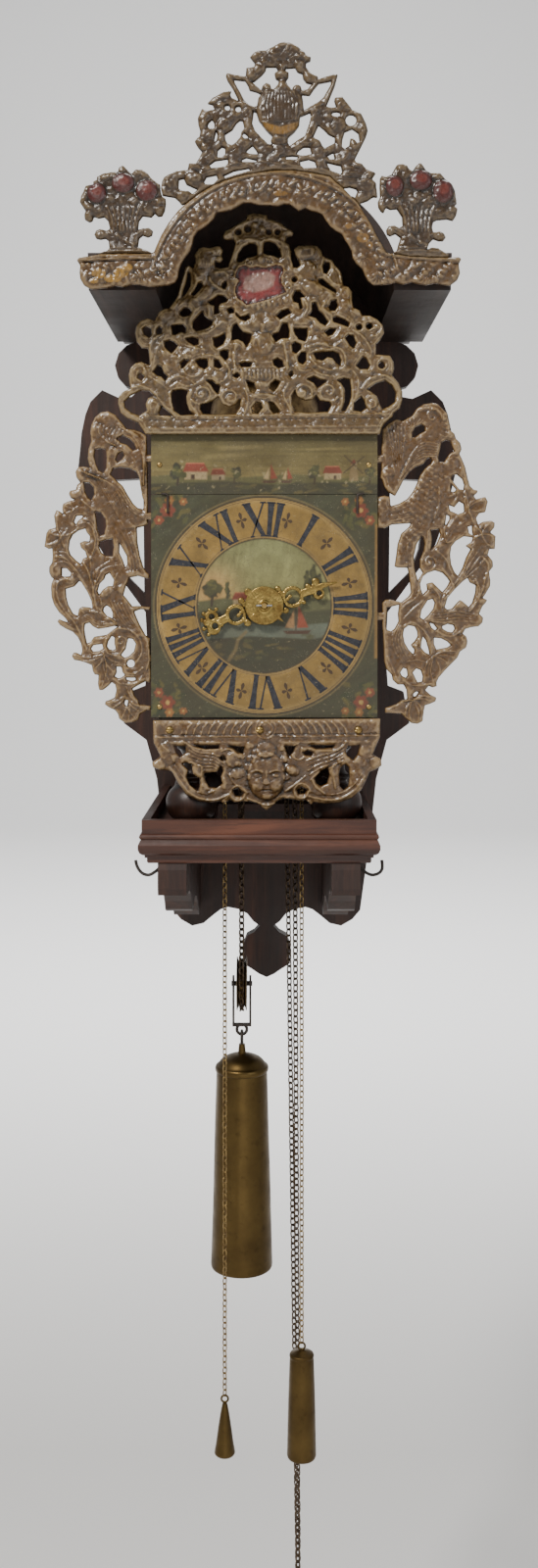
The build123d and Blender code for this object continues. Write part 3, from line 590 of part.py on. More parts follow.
# ---------------------------------------------------------------- tray (the chair's seat)
PROFILE = [(0.0, TRAY_TOP), (0.0, -166.0), (1.2, -166.6), (1.8, -168.2), (1.2, -169.8), (0.4, -170.2), (1.4, -171.6), (2.6, -174.4),
           (2.6, -177.4), (1.4, -180.2), (-0.6, -181.6), (-2.0, -182.0), (-2.0, -183.8), (-3.6, -184.0), (-3.6, -187.0), (-4.6, TRAY_BOT),
           (-12.0, TRAY_BOT), (-12.0, FLOOR_TOP - FLOOR_T), (-6.0, FLOOR_TOP - FLOOR_T), (-6.0, TRAY_TOP)]
TRAY_L, TRAY_R = TRAY_CX - TRAY_HALF, TRAY_CX + TRAY_HALF
TRAY_FACE = TRAY_FRONT + 2.6
with BuildPart() as tray_front:
    with BuildSketch(Plane(origin=(TRAY_L - 10, 0, 0), x_dir=(0, 1, 0), z_dir=(1, 0, 0))):
        with BuildLine():
            Polyline(*[(TRAY_FACE - u, z) for u, z in PROFILE], close=True)
        make_face()
    extrude(amount=2 * TRAY_HALF + 20)
    with BuildSketch(Plane.XY.offset(-200)):           # mitred ends
        with BuildLine():
            Polyline((TRAY_L, TRAY_FACE), (TRAY_L - 40, TRAY_FACE - 40), (TRAY_L - 40, TRAY_FACE + 40), (TRAY_L + 40, TRAY_FACE + 40), close=True)
        make_face()
        with BuildLine():
            Polyline((TRAY_R, TRAY_FACE), (TRAY_R + 40, TRAY_FACE - 40), (TRAY_R + 40, TRAY_FACE + 40), (TRAY_R - 40, TRAY_FACE + 40), close=True)
        make_face()
    extrude(amount=60, mode=Mode.SUBTRACT)
tray_front.part.label = "tray_front"


with BuildPart() as tray_sides:
    for s, edge in ((-1, TRAY_L), (1, TRAY_R)):
        with BuildSketch(at_y(-BOARD_T)):
            with BuildLine():
                Polyline(*[(edge + s * u, z) for u, z in PROFILE], close=True)
            make_face()
        extrude(amount=-TRAY_FACE - BOARD_T + 10)
    for s, edge in ((-1, TRAY_L), (1, TRAY_R)):
        with BuildSketch(Plane.XY.offset(-200)):
            with BuildLine():
                Polyline((edge - s * 40, TRAY_FACE + 40), (edge + s * 40, TRAY_FACE - 40), (edge + s * 40, TRAY_FACE - 60),
                         (edge - s * 60, TRAY_FACE - 60), (edge - s * 60, TRAY_FACE + 40), close=True)
            make_face()
        extrude(amount=60, mode=Mode.SUBTRACT)
tray_sides.part.label = "tray_sides"

with BuildPart() as tray_floor:
    with BuildSketch(Plane.XY.offset(FLOOR_TOP - FLOOR_T)):
        with Locations((TRAY_CX, (TRAY_FACE + 6.0 - BOARD_T) / 2)):
            Rectangle(2 * TRAY_HALF - 12.0, -BOARD_T - TRAY_FACE - 6.0)
        with Locations((0, -130)):                     # chain opening
            Rectangle(78, 108, mode=Mode.SUBTRACT)
    extrude(amount=FLOOR_T)
tray_floor.part.label = "tray_floor"


# two scrolled knee brackets under the tray, 21 mm thick, flat against the backboard
with BuildPart() as tray_brackets:
    for x0 in (TRAY_CX - 74.0, TRAY_CX + 53.0):
        with BuildSketch(Plane(origin=(x0, 0, 0), x_dir=(0, 1, 0), z_dir=(1, 0, 0))):
            with BuildLine():
                Polyline((-16, -188), (-235, -188), (-236.5, -193), (-236.5, -207), (-234, -212), (-222, -213.5), (-207, -214), (-192, -216),
                         (-178, -221), (-166, -229), (-157, -237), (-148, -240), (-135, -239), (-120, -236), (-104, -236), (-88, -240),
                         (-74, -247), (-62, -256), (-52, -262), (-40, -264), (-28, -262), (-16, -259), close=True)
            make_face()
        extrude(amount=21.0)
tray_brackets.part.label = "tray_brackets"


HKY = -226.0
with BuildPart() as side_hooks:
    for pts in ([(-76.6, HKY, -193.0), (-84.0, HKY, -198.5), (-91.5, HKY, -195.5), (-94.5, HKY, -187.5)],
                [(70.7, HKY, -193.0), (79.0, HKY, -198.5), (87.5, HKY, -195.5), (86.6, HKY, -187.5)]):
        with BuildLine() as path:
            FilletPolyline(*pts, radius=2.4)
        with BuildSketch(Plane(origin=path.line @ 0, z_dir=path.line % 0)):
            Circle(1.1)
        sweep()
side_hooks.part.label = "side_hooks"

# ================================================================ movement frame
FEET = [(-56.0, -172.0), (55.4, -172.0), (-56.0, -68.0), (55.4, -68.0)]
FOOT_PROFILE = [(0, FLOOR_TOP), (10.5, FLOOR_TOP), (14.5, -163.6), (18.2, -159.4), (19.8, -153.4), (19.6, -148.0), (17.4, -142.6),
                (13.2, -138.4), (9.8, -136.8), (8.4, -135.2), (9.2, -133.4), (11.6, -132.2), (11.6, -130.6), (8.6, -129.4), (6.8, -126.4),
                (6.4, -121.0), (7.0, -115.4), (9.0, -111.4), (11.4, -109.6), (11.4, PLATE_LO), (0, PLATE_LO)]
with BuildPart() as bun_feet:
    for fx, fy in FEET:
        with BuildSketch(Plane(origin=(fx, fy, 0), x_dir=(1, 0, 0), z_dir=(0, -1, 0))):
            with BuildLine():
                Polyline(*FOOT_PROFILE, close=True)
            make_face()
        revolve(axis=Axis((fx, fy, 0), (0, 0, 1)), revolution_arc=360)
bun_feet.part.label = "bun_feet"

with BuildPart() as bottom_plate:
    with Locations((0, -121.2, PLATE_LO + PLATE_T / 2)):
        Box(168, 137.6, PLATE_T)
    with Locations((0, -192.0, (PLATE_LO - 86.0) / 2)):
        Box(168, 4.0, -86.0 - PLATE_LO)
    with BuildSketch(Plane.XY.offset(PLATE_LO - 1)):
        with Locations((-30.4, AL_Y), (28.7, AL_Y)):
            Rectangle(10, 9)
        with Locations((-17.3, GO_Y), (23.3, GO_Y), (-21.5, ST_Y), (16.5, ST_Y)):
            Rectangle(11, 12)
    extrude(amount=PLATE_T + 2, mode=Mode.SUBTRACT)
    with BuildSketch(at_y(-180)):
        with Locations((-84.4 + 13, -94.0), (-3.3, -94.0), (71.0, -94.0)):
            Circle(1.25)
    extrude(amount=20, mode=Mode.SUBTRACT)
bottom_plate.part.label = "bottom_plate"

with BuildPart() as top_plate:
    with Locations((0, (-188.4 - 52.0) / 2, PLATE_HI + PLATE_T / 2)):
        Box(168, 136.4, PLATE_T)
    with BuildSketch(Plane.XY.offset(PLATE_HI - 1)):
        with Locations((66.0, -118.0)):                # hammer slot
            Rectangle(34, 9)
        with Locations((-44.0, -150.0)):               # alarm hammer slot
            Rectangle(24, 9)
        with Locations((0, -118.0)):
            Circle(3.0)
    extrude(amount=PLATE_T + 2, mode=Mode.SUBTRACT)
top_plate.part.label = "top_plate"

with BuildPart() as frame_pillars:
    for px in (-PILLAR_X, PILLAR_X):
        for py in (PILLAR_Y1, PILLAR_Y2):
            with Locations((px, py, (PLATE_LO + PLATE_T + PLATE_HI) / 2)):
                Box(PILLAR_S, PILLAR_S, PLATE_HI - PLATE_LO - PLATE_T)
            for pz in (-70.0, 95.0):                   # knops
                with Locations((px, py, pz)):
                    Box(PILLAR_S, PILLAR_S, 5)
frame_pillars.part.label = "frame_pillars"


PIV = 1.5
FRONT_HOLES = [(*GREAT, 2.5), (*SECOND, PIV), (*ESCAPE, PIV), (0, 0, 3.0), (*ALARM, PIV)]
MIDDLE_HOLES = [(*GREAT, PIV), (*SECOND, PIV), (*ESCAPE, PIV), (*PALLET, 2.0), (*S_PIN, PIV), (*S_FLY, PIV)]
BACK_HOLES = [(*S_GREAT, PIV), (*S_PIN, PIV), (*S_FLY, PIV), (*PALLET, 2.0)]
with BuildPart() as movement_bars:
    for y_front, x0, x1, holes in ((BAR_F, -22, 14, FRONT_HOLES), (BAR_M, -22, 26, MIDDLE_HOLES), (BAR_B, -16, 26, BACK_HOLES)):
        with BuildSketch(at_y(y_front + BAR_T)):
            with Locations(((x0 + x1) / 2, (PLATE_LO + PLATE_T + PLATE_HI) / 2)):
                Rectangle(x1 - x0, PLATE_HI - PLATE_LO - PLATE_T)
            for hx, hz, hr in holes:
                with Locations((hx, hz)):
                    Circle(hr + CLR, mode=Mode.SUBTRACT)
        extrude(amount=BAR_T)
movement_bars.part.label = "movement_bars"

# ---------------------------------------------------------------- dial
with BuildPart() as dial_plate:
    with BuildSketch(at_y(DIAL_Y + DIAL_T)):
        with Locations((0, (DIAL_BOT + DIAL_SPLIT) / 2)):
            Rectangle(DIAL_W, DIAL_SPLIT - DIAL_BOT)
        Circle(3.6, mode=Mode.SUBTRACT)
        with Locations((-79.5, -77), (79.5, -77)):
            Circle(1.35, mode=Mode.SUBTRACT)
    extrude(amount=DIAL_T)
dial_plate.part.label = "dial_plate"

with BuildPart() as dial_top_panel:
    with BuildSketch(at_y(DIAL_Y + DIAL_T)):
        with Locations((0, (DIAL_TOP + DIAL_SPLIT + 0.6) / 2)):
            Rectangle(DIAL_W, DIAL_TOP - DIAL_SPLIT - 0.6)
        with Locations((-79.5, 107), (79.5, 107)):
            Circle(1.35, mode=Mode.SUBTRACT)
    extrude(amount=DIAL_T)
dial_top_panel.part.label = "dial_top_panel"

with BuildPart() as dial_rivets:
    for rx, rz in ((-79.5, -77), (79.5, -77), (-79.5, 107), (79.5, 107)):
        with BuildSketch(at_y(DIAL_Y)):
            with Locations((rx, rz)):
                Circle(2.6)
        extrude(amount=1.0)
        with BuildSketch(at_y(DIAL_Y + DIAL_T)):
            with Locations((rx, rz)):
                Circle(1.3)
        extrude(amount=DIAL_T)
dial_rivets.part.label = "dial_rivets"

# two L-shaped wire catches that hold the top panel against the lower plate
with BuildPart() as dial_catches:
    for sx, cx in ((1, -73.2), (-1, 70.6)):
        with BuildLine(Plane(origin=(0, DIAL_Y - 1.05, 0), x_dir=(1, 0, 0), z_dir=(0, -1, 0))) as path:
            FilletPolyline((cx - sx * 5.0, 85.0), (cx, 84.6), (cx, 70.0), radius=1.6)
        with BuildSketch(Plane(origin=path.line @ 0, z_dir=path.line % 0)):
            Circle(0.9)
        sweep()
dial_catches.part.label = "dial_catches"

# ---------------------------------------------------------------- castings on the movement
movement_crest = casting(LION_CREST_OUT, LION_CREST_HOLES, -193.0, FRET_T, "movement_crest_casting")
with BuildPart() as crest_brackets:
    for cx in (-62.0, 62.0):
        with Locations((cx, -184.0, PLATE_HI + PLATE_T + 1.25)):
            Box(10, 18.0, 2.5)
        with Locations((cx, -192.0, 136.0)):
            Box(10, 2.0, 12.0)
crest_brackets.part.label = "crest_brackets"

SF_BACK, SF_T = -185.0, 3.2
side_fret_left = casting(SIDE_LEFT_OUT, SIDE_LEFT_HOLES, SF_BACK, SF_T, "side_casting_left",
                         tabs=[(-92.0, -78.0, SF_BACK - SF_T, SF_BACK, z - 3, z + 3) for z in (112.0, 68.0, -40.0)])
side_fret_right = casting(SIDE_RIGHT_OUT, SIDE_RIGHT_HOLES, SF_BACK, SF_T, "side_casting_right",
                          tabs=[(78.0, 92.0, SF_BACK - SF_T, SF_BACK, z - 3, z + 3) for z in (112.0, 72.0, -8.0)])
APRON_SCREWS = [(-71.4, -94.0), (-3.3, -94.0), (71.0, -94.0)]
apron = casting(APRON_OUT, APRON_HOLES, -194.0, FRET_T, "apron_casting", round_holes=[(x, z, 1.25) for x, z in APRON_SCREWS])
with BuildPart() as apron_screws:
    for ax, az in APRON_SCREWS:
        with BuildSketch(at_y(-194.0 - FRET_T)):
            with Locations((ax, az)):
                Circle(2.8)
        extrude(amount=1.4)
        with BuildSketch(at_y(-190.5)):
            with Locations((ax, az)):
                Circle(1.2)
        extrude(amount=3.5 + FRET_T)
apron_screws.part.label = "apron_screws"

# ---------------------------------------------------------------- side doors of the movement
HINGE_Y = -58.0


def door(s, name):
    hx = s * 84.0
    with BuildPart() as p:
        with Locations((s * 82.0, -117.5, 12.0)):
            Box(1.4, 112.0, 214.0)
        for z in (-70.0, 95.0):                        # hinge knuckles at the rear edge
            with BuildSketch(Plane.XY.offset(z - 8)):
                with Locations((hx, HINGE_Y)):
                    Circle(3.0)
                with Locations((s * 82.6, HINGE_Y - 3.0)):
                    Rectangle(2.6, 6.0)
                with Locations((hx, HINGE_Y)):
                    Circle(1.55, mode=Mode.SUBTRACT)
            extrude(amount=16)
        with Locations((s * 84.9, -170.0, 12.0)):      # turned pull knob
            Cylinder(3.0, 4.4, rotation=(0, 90, 0))
    p.part.label = name
    return p


side_door_left = door(-1, "side_door_left")
side_door_right = door(1, "side_door_right")
with BuildPart() as door_hinge_pins:
    for s in (-1, 1):
        for z in (-70.0, 95.0):
            with Locations((s * 84.0, HINGE_Y, z)):
                Cylinder(1.5, 22)
            for dz in (-10.0, 10.0):                   # eyes fixed to the back pillars
                with Locations((s * 82.0, HINGE_Y, z + dz)):
                    Box(8.0, 3.4, 2.4)
door_hinge_pins.part.label = "door_hinge_pins"


# ================================================================ wheels and arbors
def arbor_wheel(c, y_front, thick, pts, y0, y1, r, name, extra=(), bore=None, spokes=None):
    """Wheel on its arbor along Y. extra: further (y_front, thick, outline points or radius) on the same arbor."""
    with BuildPart() as p:
        with BuildSketch(at_y(y_front + thick)):
            with BuildLine():
                Polyline(*shifted(pts, c), close=True)
            make_face()
            if spokes:
                with Locations(c):
                    with PolarLocations(spokes[0], 4, start_angle=45):
                        Circle(spokes[1], mode=Mode.SUBTRACT)
        extrude(amount=thick)
        for yf, t, prof in extra:
            with BuildSketch(at_y(yf + t)):
                if isinstance(prof, (int, float)):
                    with Locations(c):
                        Circle(prof)
                else:
                    with BuildLine():
                        Polyline(*shifted(prof, c), close=True)
                    make_face()
            extrude(amount=t)
        if r:
            with BuildSketch(at_y(y1)):
                with Locations(c):
                    Circle(r)
            extrude(amount=y1 - y0)
        if bore:
            with BuildSketch(at_y(y1 + 1)):
                with Locations(c):
                    Circle(bore)
            extrude(amount=y1 - y0 + 2, mode=Mode.SUBTRACT)
    p.part.label = name
    return p


def mesh_phase(a, n1, p1, n2):
    """Phase of wheel 2, lying at angle a from wheel 1, so that its gap meets wheel 1's tooth."""
    k = ((a - p1) / (2 * pi / n1)) % 1.0
    return a + pi + (2 * pi / n2) * (0.5 + k)


P_GREAT = 0.0
P_SEC_PIN = mesh_phase(A2, GREAT_N, P_GREAT, PINION_N)
P_SEC = 0.0
P_ESC_PIN = mesh_phase(A3, SECOND_N, P_SEC, PINION_N)
A_HOUR = atan2(-GREAT[1], -GREAT[0])
P_REPORT = mesh_phase(A_HOUR + pi, HOUR_N, 0.0, REPORT_N)
P_SPIN = mesh_phase(B2, S_GREAT_N, 0.0, PINION_N)
P_SFLY = mesh_phase(B3, S_PIN_N, 0.0, PINION_N)


def sprocket(yc, rr, w):
    """Grooved chain wheel: two cheeks and a waist the chain lies on."""
    return [(yc - w / 2, w, rr - CHAIN_R - 0.4), (yc - w / 2 - 1.2, 1.2, rr + 2.0), (yc + w / 2, 1.2, rr + 2.0)]


going_great_wheel = arbor_wheel(GREAT, -161.0, 3.0, gear_pts(GREAT_N, M1, phase=P_GREAT), -187.0, BAR_M + 2.6, PIV, "going_great_wheel",
                                extra=[(-187.0, 5.0, gear_pts(REPORT_N, M3, phase=P_REPORT)), (-182.0, 20.0, 2.5)] + sprocket(GO_Y, SPROCKET_R, 6.6),
                                spokes=(26.0, 8.0))
second_wheel = arbor_wheel(SECOND, -140.0, 2.5, gear_pts(SECOND_N, M2, phase=P_SEC), BAR_F + 0.4, BAR_M + 2.6, PIV, "going_second_wheel",
                           extra=[(-163.0, 7.0, gear_pts(PINION_N, M1, phase=P_SEC_PIN))], spokes=(17.0, 5.0))
escape_wheel = arbor_wheel(ESCAPE, -131.0, 1.8, star_pts(30, 17.5, 14.6, -0.03), BAR_F + 0.4, BAR_M + 2.6, PIV, "escape_wheel",
                           extra=[(-142.5, 7.0, gear_pts(PINION_N, M2, phase=P_ESC_PIN))], spokes=(9.0, 3.6))
hour_wheel = arbor_wheel((0.0, 0.0), -186.0, 3.0, gear_pts(HOUR_N, M3, phase=0.0), -196.6, BAR_F + 2.6, 3.0, "hour_wheel",
                         extra=[(-201.5, 5.0, 2.0), (-183.0, 14.0, 5.0)], spokes=(20.0, 9.0))

strike_great_wheel = arbor_wheel(S_GREAT, -101.0, 3.0, gear_pts(S_GREAT_N, M1, phase=0.0), -116.0, BAR_B + 2.6, PIV, "strike_great_wheel",
                                 extra=sprocket(ST_Y, S_SPROCKET_R, 6.6), spokes=(24.0, 7.0))
strike_pin_wheel = arbor_wheel(S_PIN, -82.0, 2.5, gear_pts(S_PIN_N, M2, phase=0.0), BAR_M + 0.4, BAR_B + 2.6, PIV, "strike_pin_wheel",
                               extra=[(-103.0, 7.0, gear_pts(PINION_N, M1, phase=P_SPIN))], spokes=(15.0, 4.0))
with BuildPart() as strike_fly:
    with BuildSketch(at_y(-78.0)):
        with BuildLine():
            Polyline(*shifted(gear_pts(PINION_N, M2, phase=P_SFLY), S_FLY), close=True)
        make_face()
    extrude(amount=6.0)
    with BuildSketch(at_y(BAR_B + 2.6)):
        with Locations(S_FLY):
            Circle(PIV)
    extrude(amount=BAR_B - BAR_M + 2.2)
    with Locations((S_FLY[0], -112.0, S_FLY[1])):
        Box(32.0, 8.0, 1.0)
        Cylinder(3.2, 8.0, rotation=(90, 0, 0))
strike_fly.part.label = "strike_fly"

# alarm chain wheel with its ring of teeth, between the front bar and a cock
alarm_wheel = arbor_wheel(ALARM, -169.4, 2.0, star_pts(24, 29.0, 26.4, -0.04), -183.5, BAR_F + 2.6, PIV, "alarm_chain_wheel",
                          extra=[(AL_Y - 2.4, 4.8, A_SPROCKET_R - THIN_R - 0.4), (AL_Y - 3.2, 0.8, A_SPROCKET_R + 1.4),
                                 (AL_Y + 2.4, 0.8, A_SPROCKET_R + 1.4)])
PEND_Y = -42.0
HAM = (60.0, 60.0)
AH = (-44.0, 108.0)
with BuildPart() as cocks:
    with BuildSketch(at_y(-180.2)):                    # in front of the alarm wheel
        with Locations((ALARM[0], (ALARM[1] - 9 + PLATE_HI) / 2)):
            Rectangle(14, PLATE_HI - ALARM[1] + 9)
        with Locations(ALARM):
            Circle(PIV + CLR, mode=Mode.SUBTRACT)
    extrude(amount=2.4)
    with BuildSketch(Plane(origin=(PALLET[0] - 5, 0, 0), x_dir=(0, 1, 0), z_dir=(1, 0, 0))):   # pendulum cock
        with BuildLine():
            Polyline((-69.0, 118.0), (PEND_Y + 3, 118.0), (PEND_Y + 3, PALLET[1] + 3), (PEND_Y - 2, PALLET[1] + 3), (PEND_Y - 2, 112.0), (-69.0, 112.0), close=True)
        make_face()
    extrude(amount=10.0)
    with BuildSketch(at_y(PEND_Y + 3)):
        with Locations((PALLET[0], PALLET[1] + 3)):
            Rectangle(10, 8)
        with Locations(PALLET):
            Circle(1.55, mode=Mode.SUBTRACT)
    extrude(amount=5.0)
    for hy in (-130.0, -108.0):
        with BuildSketch(at_y(hy + 2.4)):
            with Locations((HAM[0], (HAM[1] - 6 + PLATE_HI) / 2)):
                Rectangle(10, PLATE_HI - HAM[1] + 6)
            with Locations(HAM):
                Circle(PIV + CLR, mode=Mode.SUBTRACT)
        extrude(amount=2.4)
    with BuildSketch(at_y(-141.6)):
        with Locations((AH[0], (AH[1] - 6 + PLATE_HI) / 2)):
            Rectangle(10, PLATE_HI - AH[1] + 6)
        with Locations(AH):
            Circle(PIV + CLR, mode=Mode.SUBTRACT)
    extrude(amount=3.0)
    with BuildSketch(at_y(-155.4)):
        with Locations((AH[0], (AH[1] - 6 + PLATE_HI) / 2)):
            Rectangle(10, PLATE_HI - AH[1] + 6)
        with Locations(AH):
            Circle(PIV + CLR, mode=Mode.SUBTRACT)
    extrude(amount=3.0)
cocks.part.label = "cocks"

# ---------------------------------------------------------------- escapement and pendulum
pxx, pzz = PALLET
ARC_R = 18.2
with BuildPart() as anchor:
    with BuildSketch(at_y(-128.6)):
        with BuildLine():
            Polyline((pxx - 3, pzz + 3.5), (pxx + 3, pzz + 3.5), (pxx + 10, pzz - 4), (pxx + 15.4, pzz - 11.8), (pxx + 13.6, pzz - 12.6),
                     (pxx + 7.6, pzz - 5.6), (pxx, pzz - 3.4), (pxx - 7.6, pzz - 5.6), (pxx - 13.6, pzz - 12.6), (pxx - 15.4, pzz - 11.8),
                     (pxx - 10, pzz - 4), close=True)
        make_face()
    extrude(amount=2.6)
    with BuildSketch(at_y(-52.0)):
        with Locations(PALLET):
            Circle(2.0)
    extrude(amount=82.0)
    with Locations((pxx, -53.0, pzz - 12.0)):          # crutch and its fork
        Box(3.0, 1.6, 24.0)
    for s in (-1, 1):
        with Locations((pxx + s * 2.7, -48.2, pzz - 24.0)):
            Box(1.4, 11.2, 3.0)
    with Locations((pxx, -53.0, pzz - 24.0)):
        Box(6.8, 1.6, 3.0)
anchor.part.label = "anchor_and_crutch"

with BuildPart() as pendulum:
    with BuildSketch(at_y(PEND_Y + 6.0)):
        with Locations(PALLET):
            Circle(1.5)
    extrude(amount=10.6)
    with BuildSketch(at_y(PEND_Y - 2.3)):
        with Locations(PALLET):
            Circle(3.4)
    extrude(amount=2.2)
    with BuildSketch(Plane.XY.offset(-126.0)):
        with Locations((pxx, PEND_Y - 3.4)):
            Circle(1.1)
    extrude(amount=pzz + 126.0)
    with BuildSketch(Plane(origin=(pxx, PEND_Y - 3.4, -104.0), x_dir=(1, 0, 0), z_dir=(0, 0, 1))):
        with BuildLine():
            Polyline((0, 5.4), (8, 5.0), (14, 3.8), (18.6, 1.4), (19.0, 0), (18.6, -1.4), (14, -3.8), (8, -5.0), (0, -5.4), close=True)
        make_face()
    revolve(axis=Axis((pxx, PEND_Y - 3.4, -104.0), (0, 1, 0)), revolution_arc=360)
pendulum.part.label = "pendulum"

# ---------------------------------------------------------------- bell and hammers
BELL = (0.0, -118.0)
BELL_RIM = 139.0
BELL_PROFILE = [(0, 186.0), (10, 185.6), (24, 182.6), (35, 176.0), (41.6, 166.0), (44.6, 152.0), (47.4, 143.0), (50.0, BELL_RIM),
                (48.0, BELL_RIM), (45.0, 144.4), (42.4, 152.4), (39.6, 165.0), (33.6, 174.0), (23.2, 180.2), (10, 183.2), (0, 183.6)]
with BuildPart() as bell:
    with BuildSketch(Plane(origin=(0, BELL[1], 0), x_dir=(1, 0, 0), z_dir=(0, -1, 0))):
        with BuildLine():
            Polyline(*BELL_PROFILE, close=True)
        make_face()
    revolve(axis=Axis((0, BELL[1], 0), (0, 0, 1)), revolution_arc=360)
    with BuildSketch(Plane.XY.offset(180)):
        with Locations(BELL):
            Circle(2.55)
    extrude(amount=8, mode=Mode.SUBTRACT)
bell.part.label = "bell"
with BuildPart() as bell_post:
    with BuildSketch(Plane.XY.offset(PLATE_HI)):
        with Locations(BELL):
            Circle(2.95)
    extrude(amount=PLATE_T)
    with BuildSketch(Plane.XY.offset(PLATE_HI + PLATE_T)):
        with Locations(BELL):
            Circle(5.0)
    extrude(amount=4.0)
    with BuildSketch(Plane.XY.offset(PLATE_HI + PLATE_T + 4)):
        with Locations(BELL):
            Circle(3.6)
    extrude(amount=183.1 - PLATE_HI - PLATE_T - 4)
    with BuildSketch(Plane.XY.offset(183.1)):
        with Locations(BELL):
            Circle(2.5)
    extrude(amount=4.0)
    with BuildSketch(Plane.XY.offset(186.2)):
        with Locations(BELL):
            RegularPolygon(5.0, 6)
    extrude(amount=4.0)
bell_post.part.label = "bell_post"

with BuildPart() as strike_hammer:
    with BuildSketch(at_y(-104.0)):
        with Locations(HAM):
            Circle(PIV)
    extrude(amount=30.0)
    with BuildSketch(at_y(-115.4)):
        with Locations(HAM):
            Circle(4.0)
        with Locations((HAM[0], HAM[1] + 46.0)):
            Rectangle(3.0, 92.0)
        with BuildLine():                              # lifting tail towards the pin wheel
            Polyline((HAM[0], HAM[1] + 2), (HAM[0], HAM[1] - 2), (44.6, 20.0), (43.0, 22.0), close=True)
        make_face()
    extrude(amount=3.4)
    with Locations((HAM[0] - 6.25, -117.1, 153.0)):
        Box(12.5, 8.0, 10.0)
    chamfer(strike_hammer.edges().filter_by(Axis.Y).group_by(Axis.Z)[-1], 1.5)
strike_hammer.part.label = "strike_hammer"

with BuildPart() as alarm_hammer:
    with BuildSketch(at_y(-140.6)):
        with Locations(AH):
            Circle(PIV)
    extrude(amount=28.6)
    with BuildSketch(at_y(-148.6)):
        with Locations(AH):
            Circle(3.6)
        with Locations((AH[0], AH[1] + 13.5)):
            Rectangle(2.4, 27.0)
    extrude(amount=2.8)
    with Locations((AH[0] + 13.0, -150.0, AH[1] + 26.2)):
        Box(28.4, 2.8, 2.4)
    with Locations((AH[0] + 26.0, -150.0, 141.0)):
        Cylinder(1.2, 16.0)
    with Locations((AH[0] + 26.0, -148.8, 150.0)):
        Cylinder(3.0, 8.0)
    with BuildSketch(at_y(-166.4)):                    # pallet arm beside the toothed ring
        with BuildLine():
            Polyline((AH[0] - 2, AH[1] + 1.4), (AH[0] + 2, AH[1] + 1.4), (AH[0] + 12.0, AH[1] - 4.6), (AH[0] + 10.6, AH[1] - 6.4), (AH[0] - 2, AH[1] - 1.4), close=True)
        make_face()
    extrude(amount=2.8)
alarm_hammer.part.label = "alarm_hammer"

# ---------------------------------------------------------------- hand and alarm disc
HAND_Y = -193.2
HA = radians(17.8)


def along(r, a):
    return (r * cos(a), r * sin(a))


with BuildPart() as hour_hand:
    with BuildSketch(at_y(HAND_Y)):
        Circle(14.2)
        with Locations(along(15.0, radians(200.0))):
            Circle(3.0)
        with Locations(along(22.0, radians(11.0))):
            Circle(8.4)
            Circle(4.6, mode=Mode.SUBTRACT)
        with Locations(along(43.5, radians(14.0))):
            Circle(3.4)
        with Locations(along(42.0, radians(22.0)), along(38.0, radians(23.5))):
            Circle(2.3)
        with BuildLine():                              # pointing tip
            Polyline(along(28.0, radians(6.0)), along(41.0, radians(11.0)), along(50.0, radians(15.4)), along(58.6, HA), along(49.0, radians(19.6)),
                     along(40.0, radians(20.0)), along(28.0, radians(17.0)), close=True)
        make_face()
        with Locations(along(23.0, radians(200.0))):
            Circle(8.0)
            Circle(4.4, mode=Mode.SUBTRACT)
        with BuildLine():                              # neck and trefoil of the tail
            Polyline(along(28.0, radians(197.0)), along(36.0, radians(200.0)), along(36.0, radians(204.5)), along(28.0, radians(206.0)), close=True)
        make_face()
        with Locations(along(40.0, radians(202.0)), along(41.0, radians(209.0)), along(44.5, radians(201.0)), along(41.0, radians(195.0))):
            Circle(4.2)
        Circle(3.0, mode=Mode.SUBTRACT)
    extrude(amount=1.4)
hour_hand.part.label = "hour_hand"
with BuildPart() as alarm_disc:
    with BuildSketch(at_y(-195.4)):
        Circle(14.6)
        with Locations(along(16.0, radians(140.0))):
            Circle(2.8)
        with BuildLine():
            Polyline(along(13.6, radians(-48.0)), along(19.4, radians(-40.0)), along(13.6, radians(-32.0)), close=True)
        make_face()
        Circle(3.05, mode=Mode.SUBTRACT)
    extrude(amount=1.2)
    with BuildSketch(at_y(-196.6)):
        Circle(4.6)
        Circle(2.06, mode=Mode.SUBTRACT)
    extrude(amount=1.4)
alarm_disc.part.label = "alarm_disc"
with BuildPart() as hand_pin:
    with BuildSketch(Plane(origin=(0, -199.6, 0), x_dir=(0, 1, 0), z_dir=(1, 0, 0))):
        Circle(0.8)
    extrude(amount=6.0, both=True)
hand_pin.part.label = "hand_pin"


# ================================================================ chains, pulley and weights
def run(p, q, r):
    a, b = Vector(*p), Vector(*q)
    with BuildSketch(Plane(origin=a, z_dir=(b - a).normalized())) as section:
        Circle(r)
    extrude(section.sketch, amount=(b - a).length)


def wrap(c, rad, r, plane_x, ang=180.0, up=True):
    """Half ring of chain round a wheel: the wheel's axis is Y (plane_x) or X."""
    s = 1 if up else -1
    if plane_x:
        o, ax, st = (c[0] + rad, c[1], c[2]), (0, -1, 0), Plane(origin=(c[0] + rad, c[1], c[2]), z_dir=(0, 0, 1))
    else:
        o, ax, st = (c[0], c[1] + rad, c[2]), (1, 0, 0), Plane(origin=(c[0], c[1] + rad, c[2]), z_dir=(0, 0, 1))
    with BuildSketch(st) as section:
        Circle(r)
    revolve(section.sketch, axis=Axis(c, tuple(s * v for v in ax)), revolution_arc=ang)


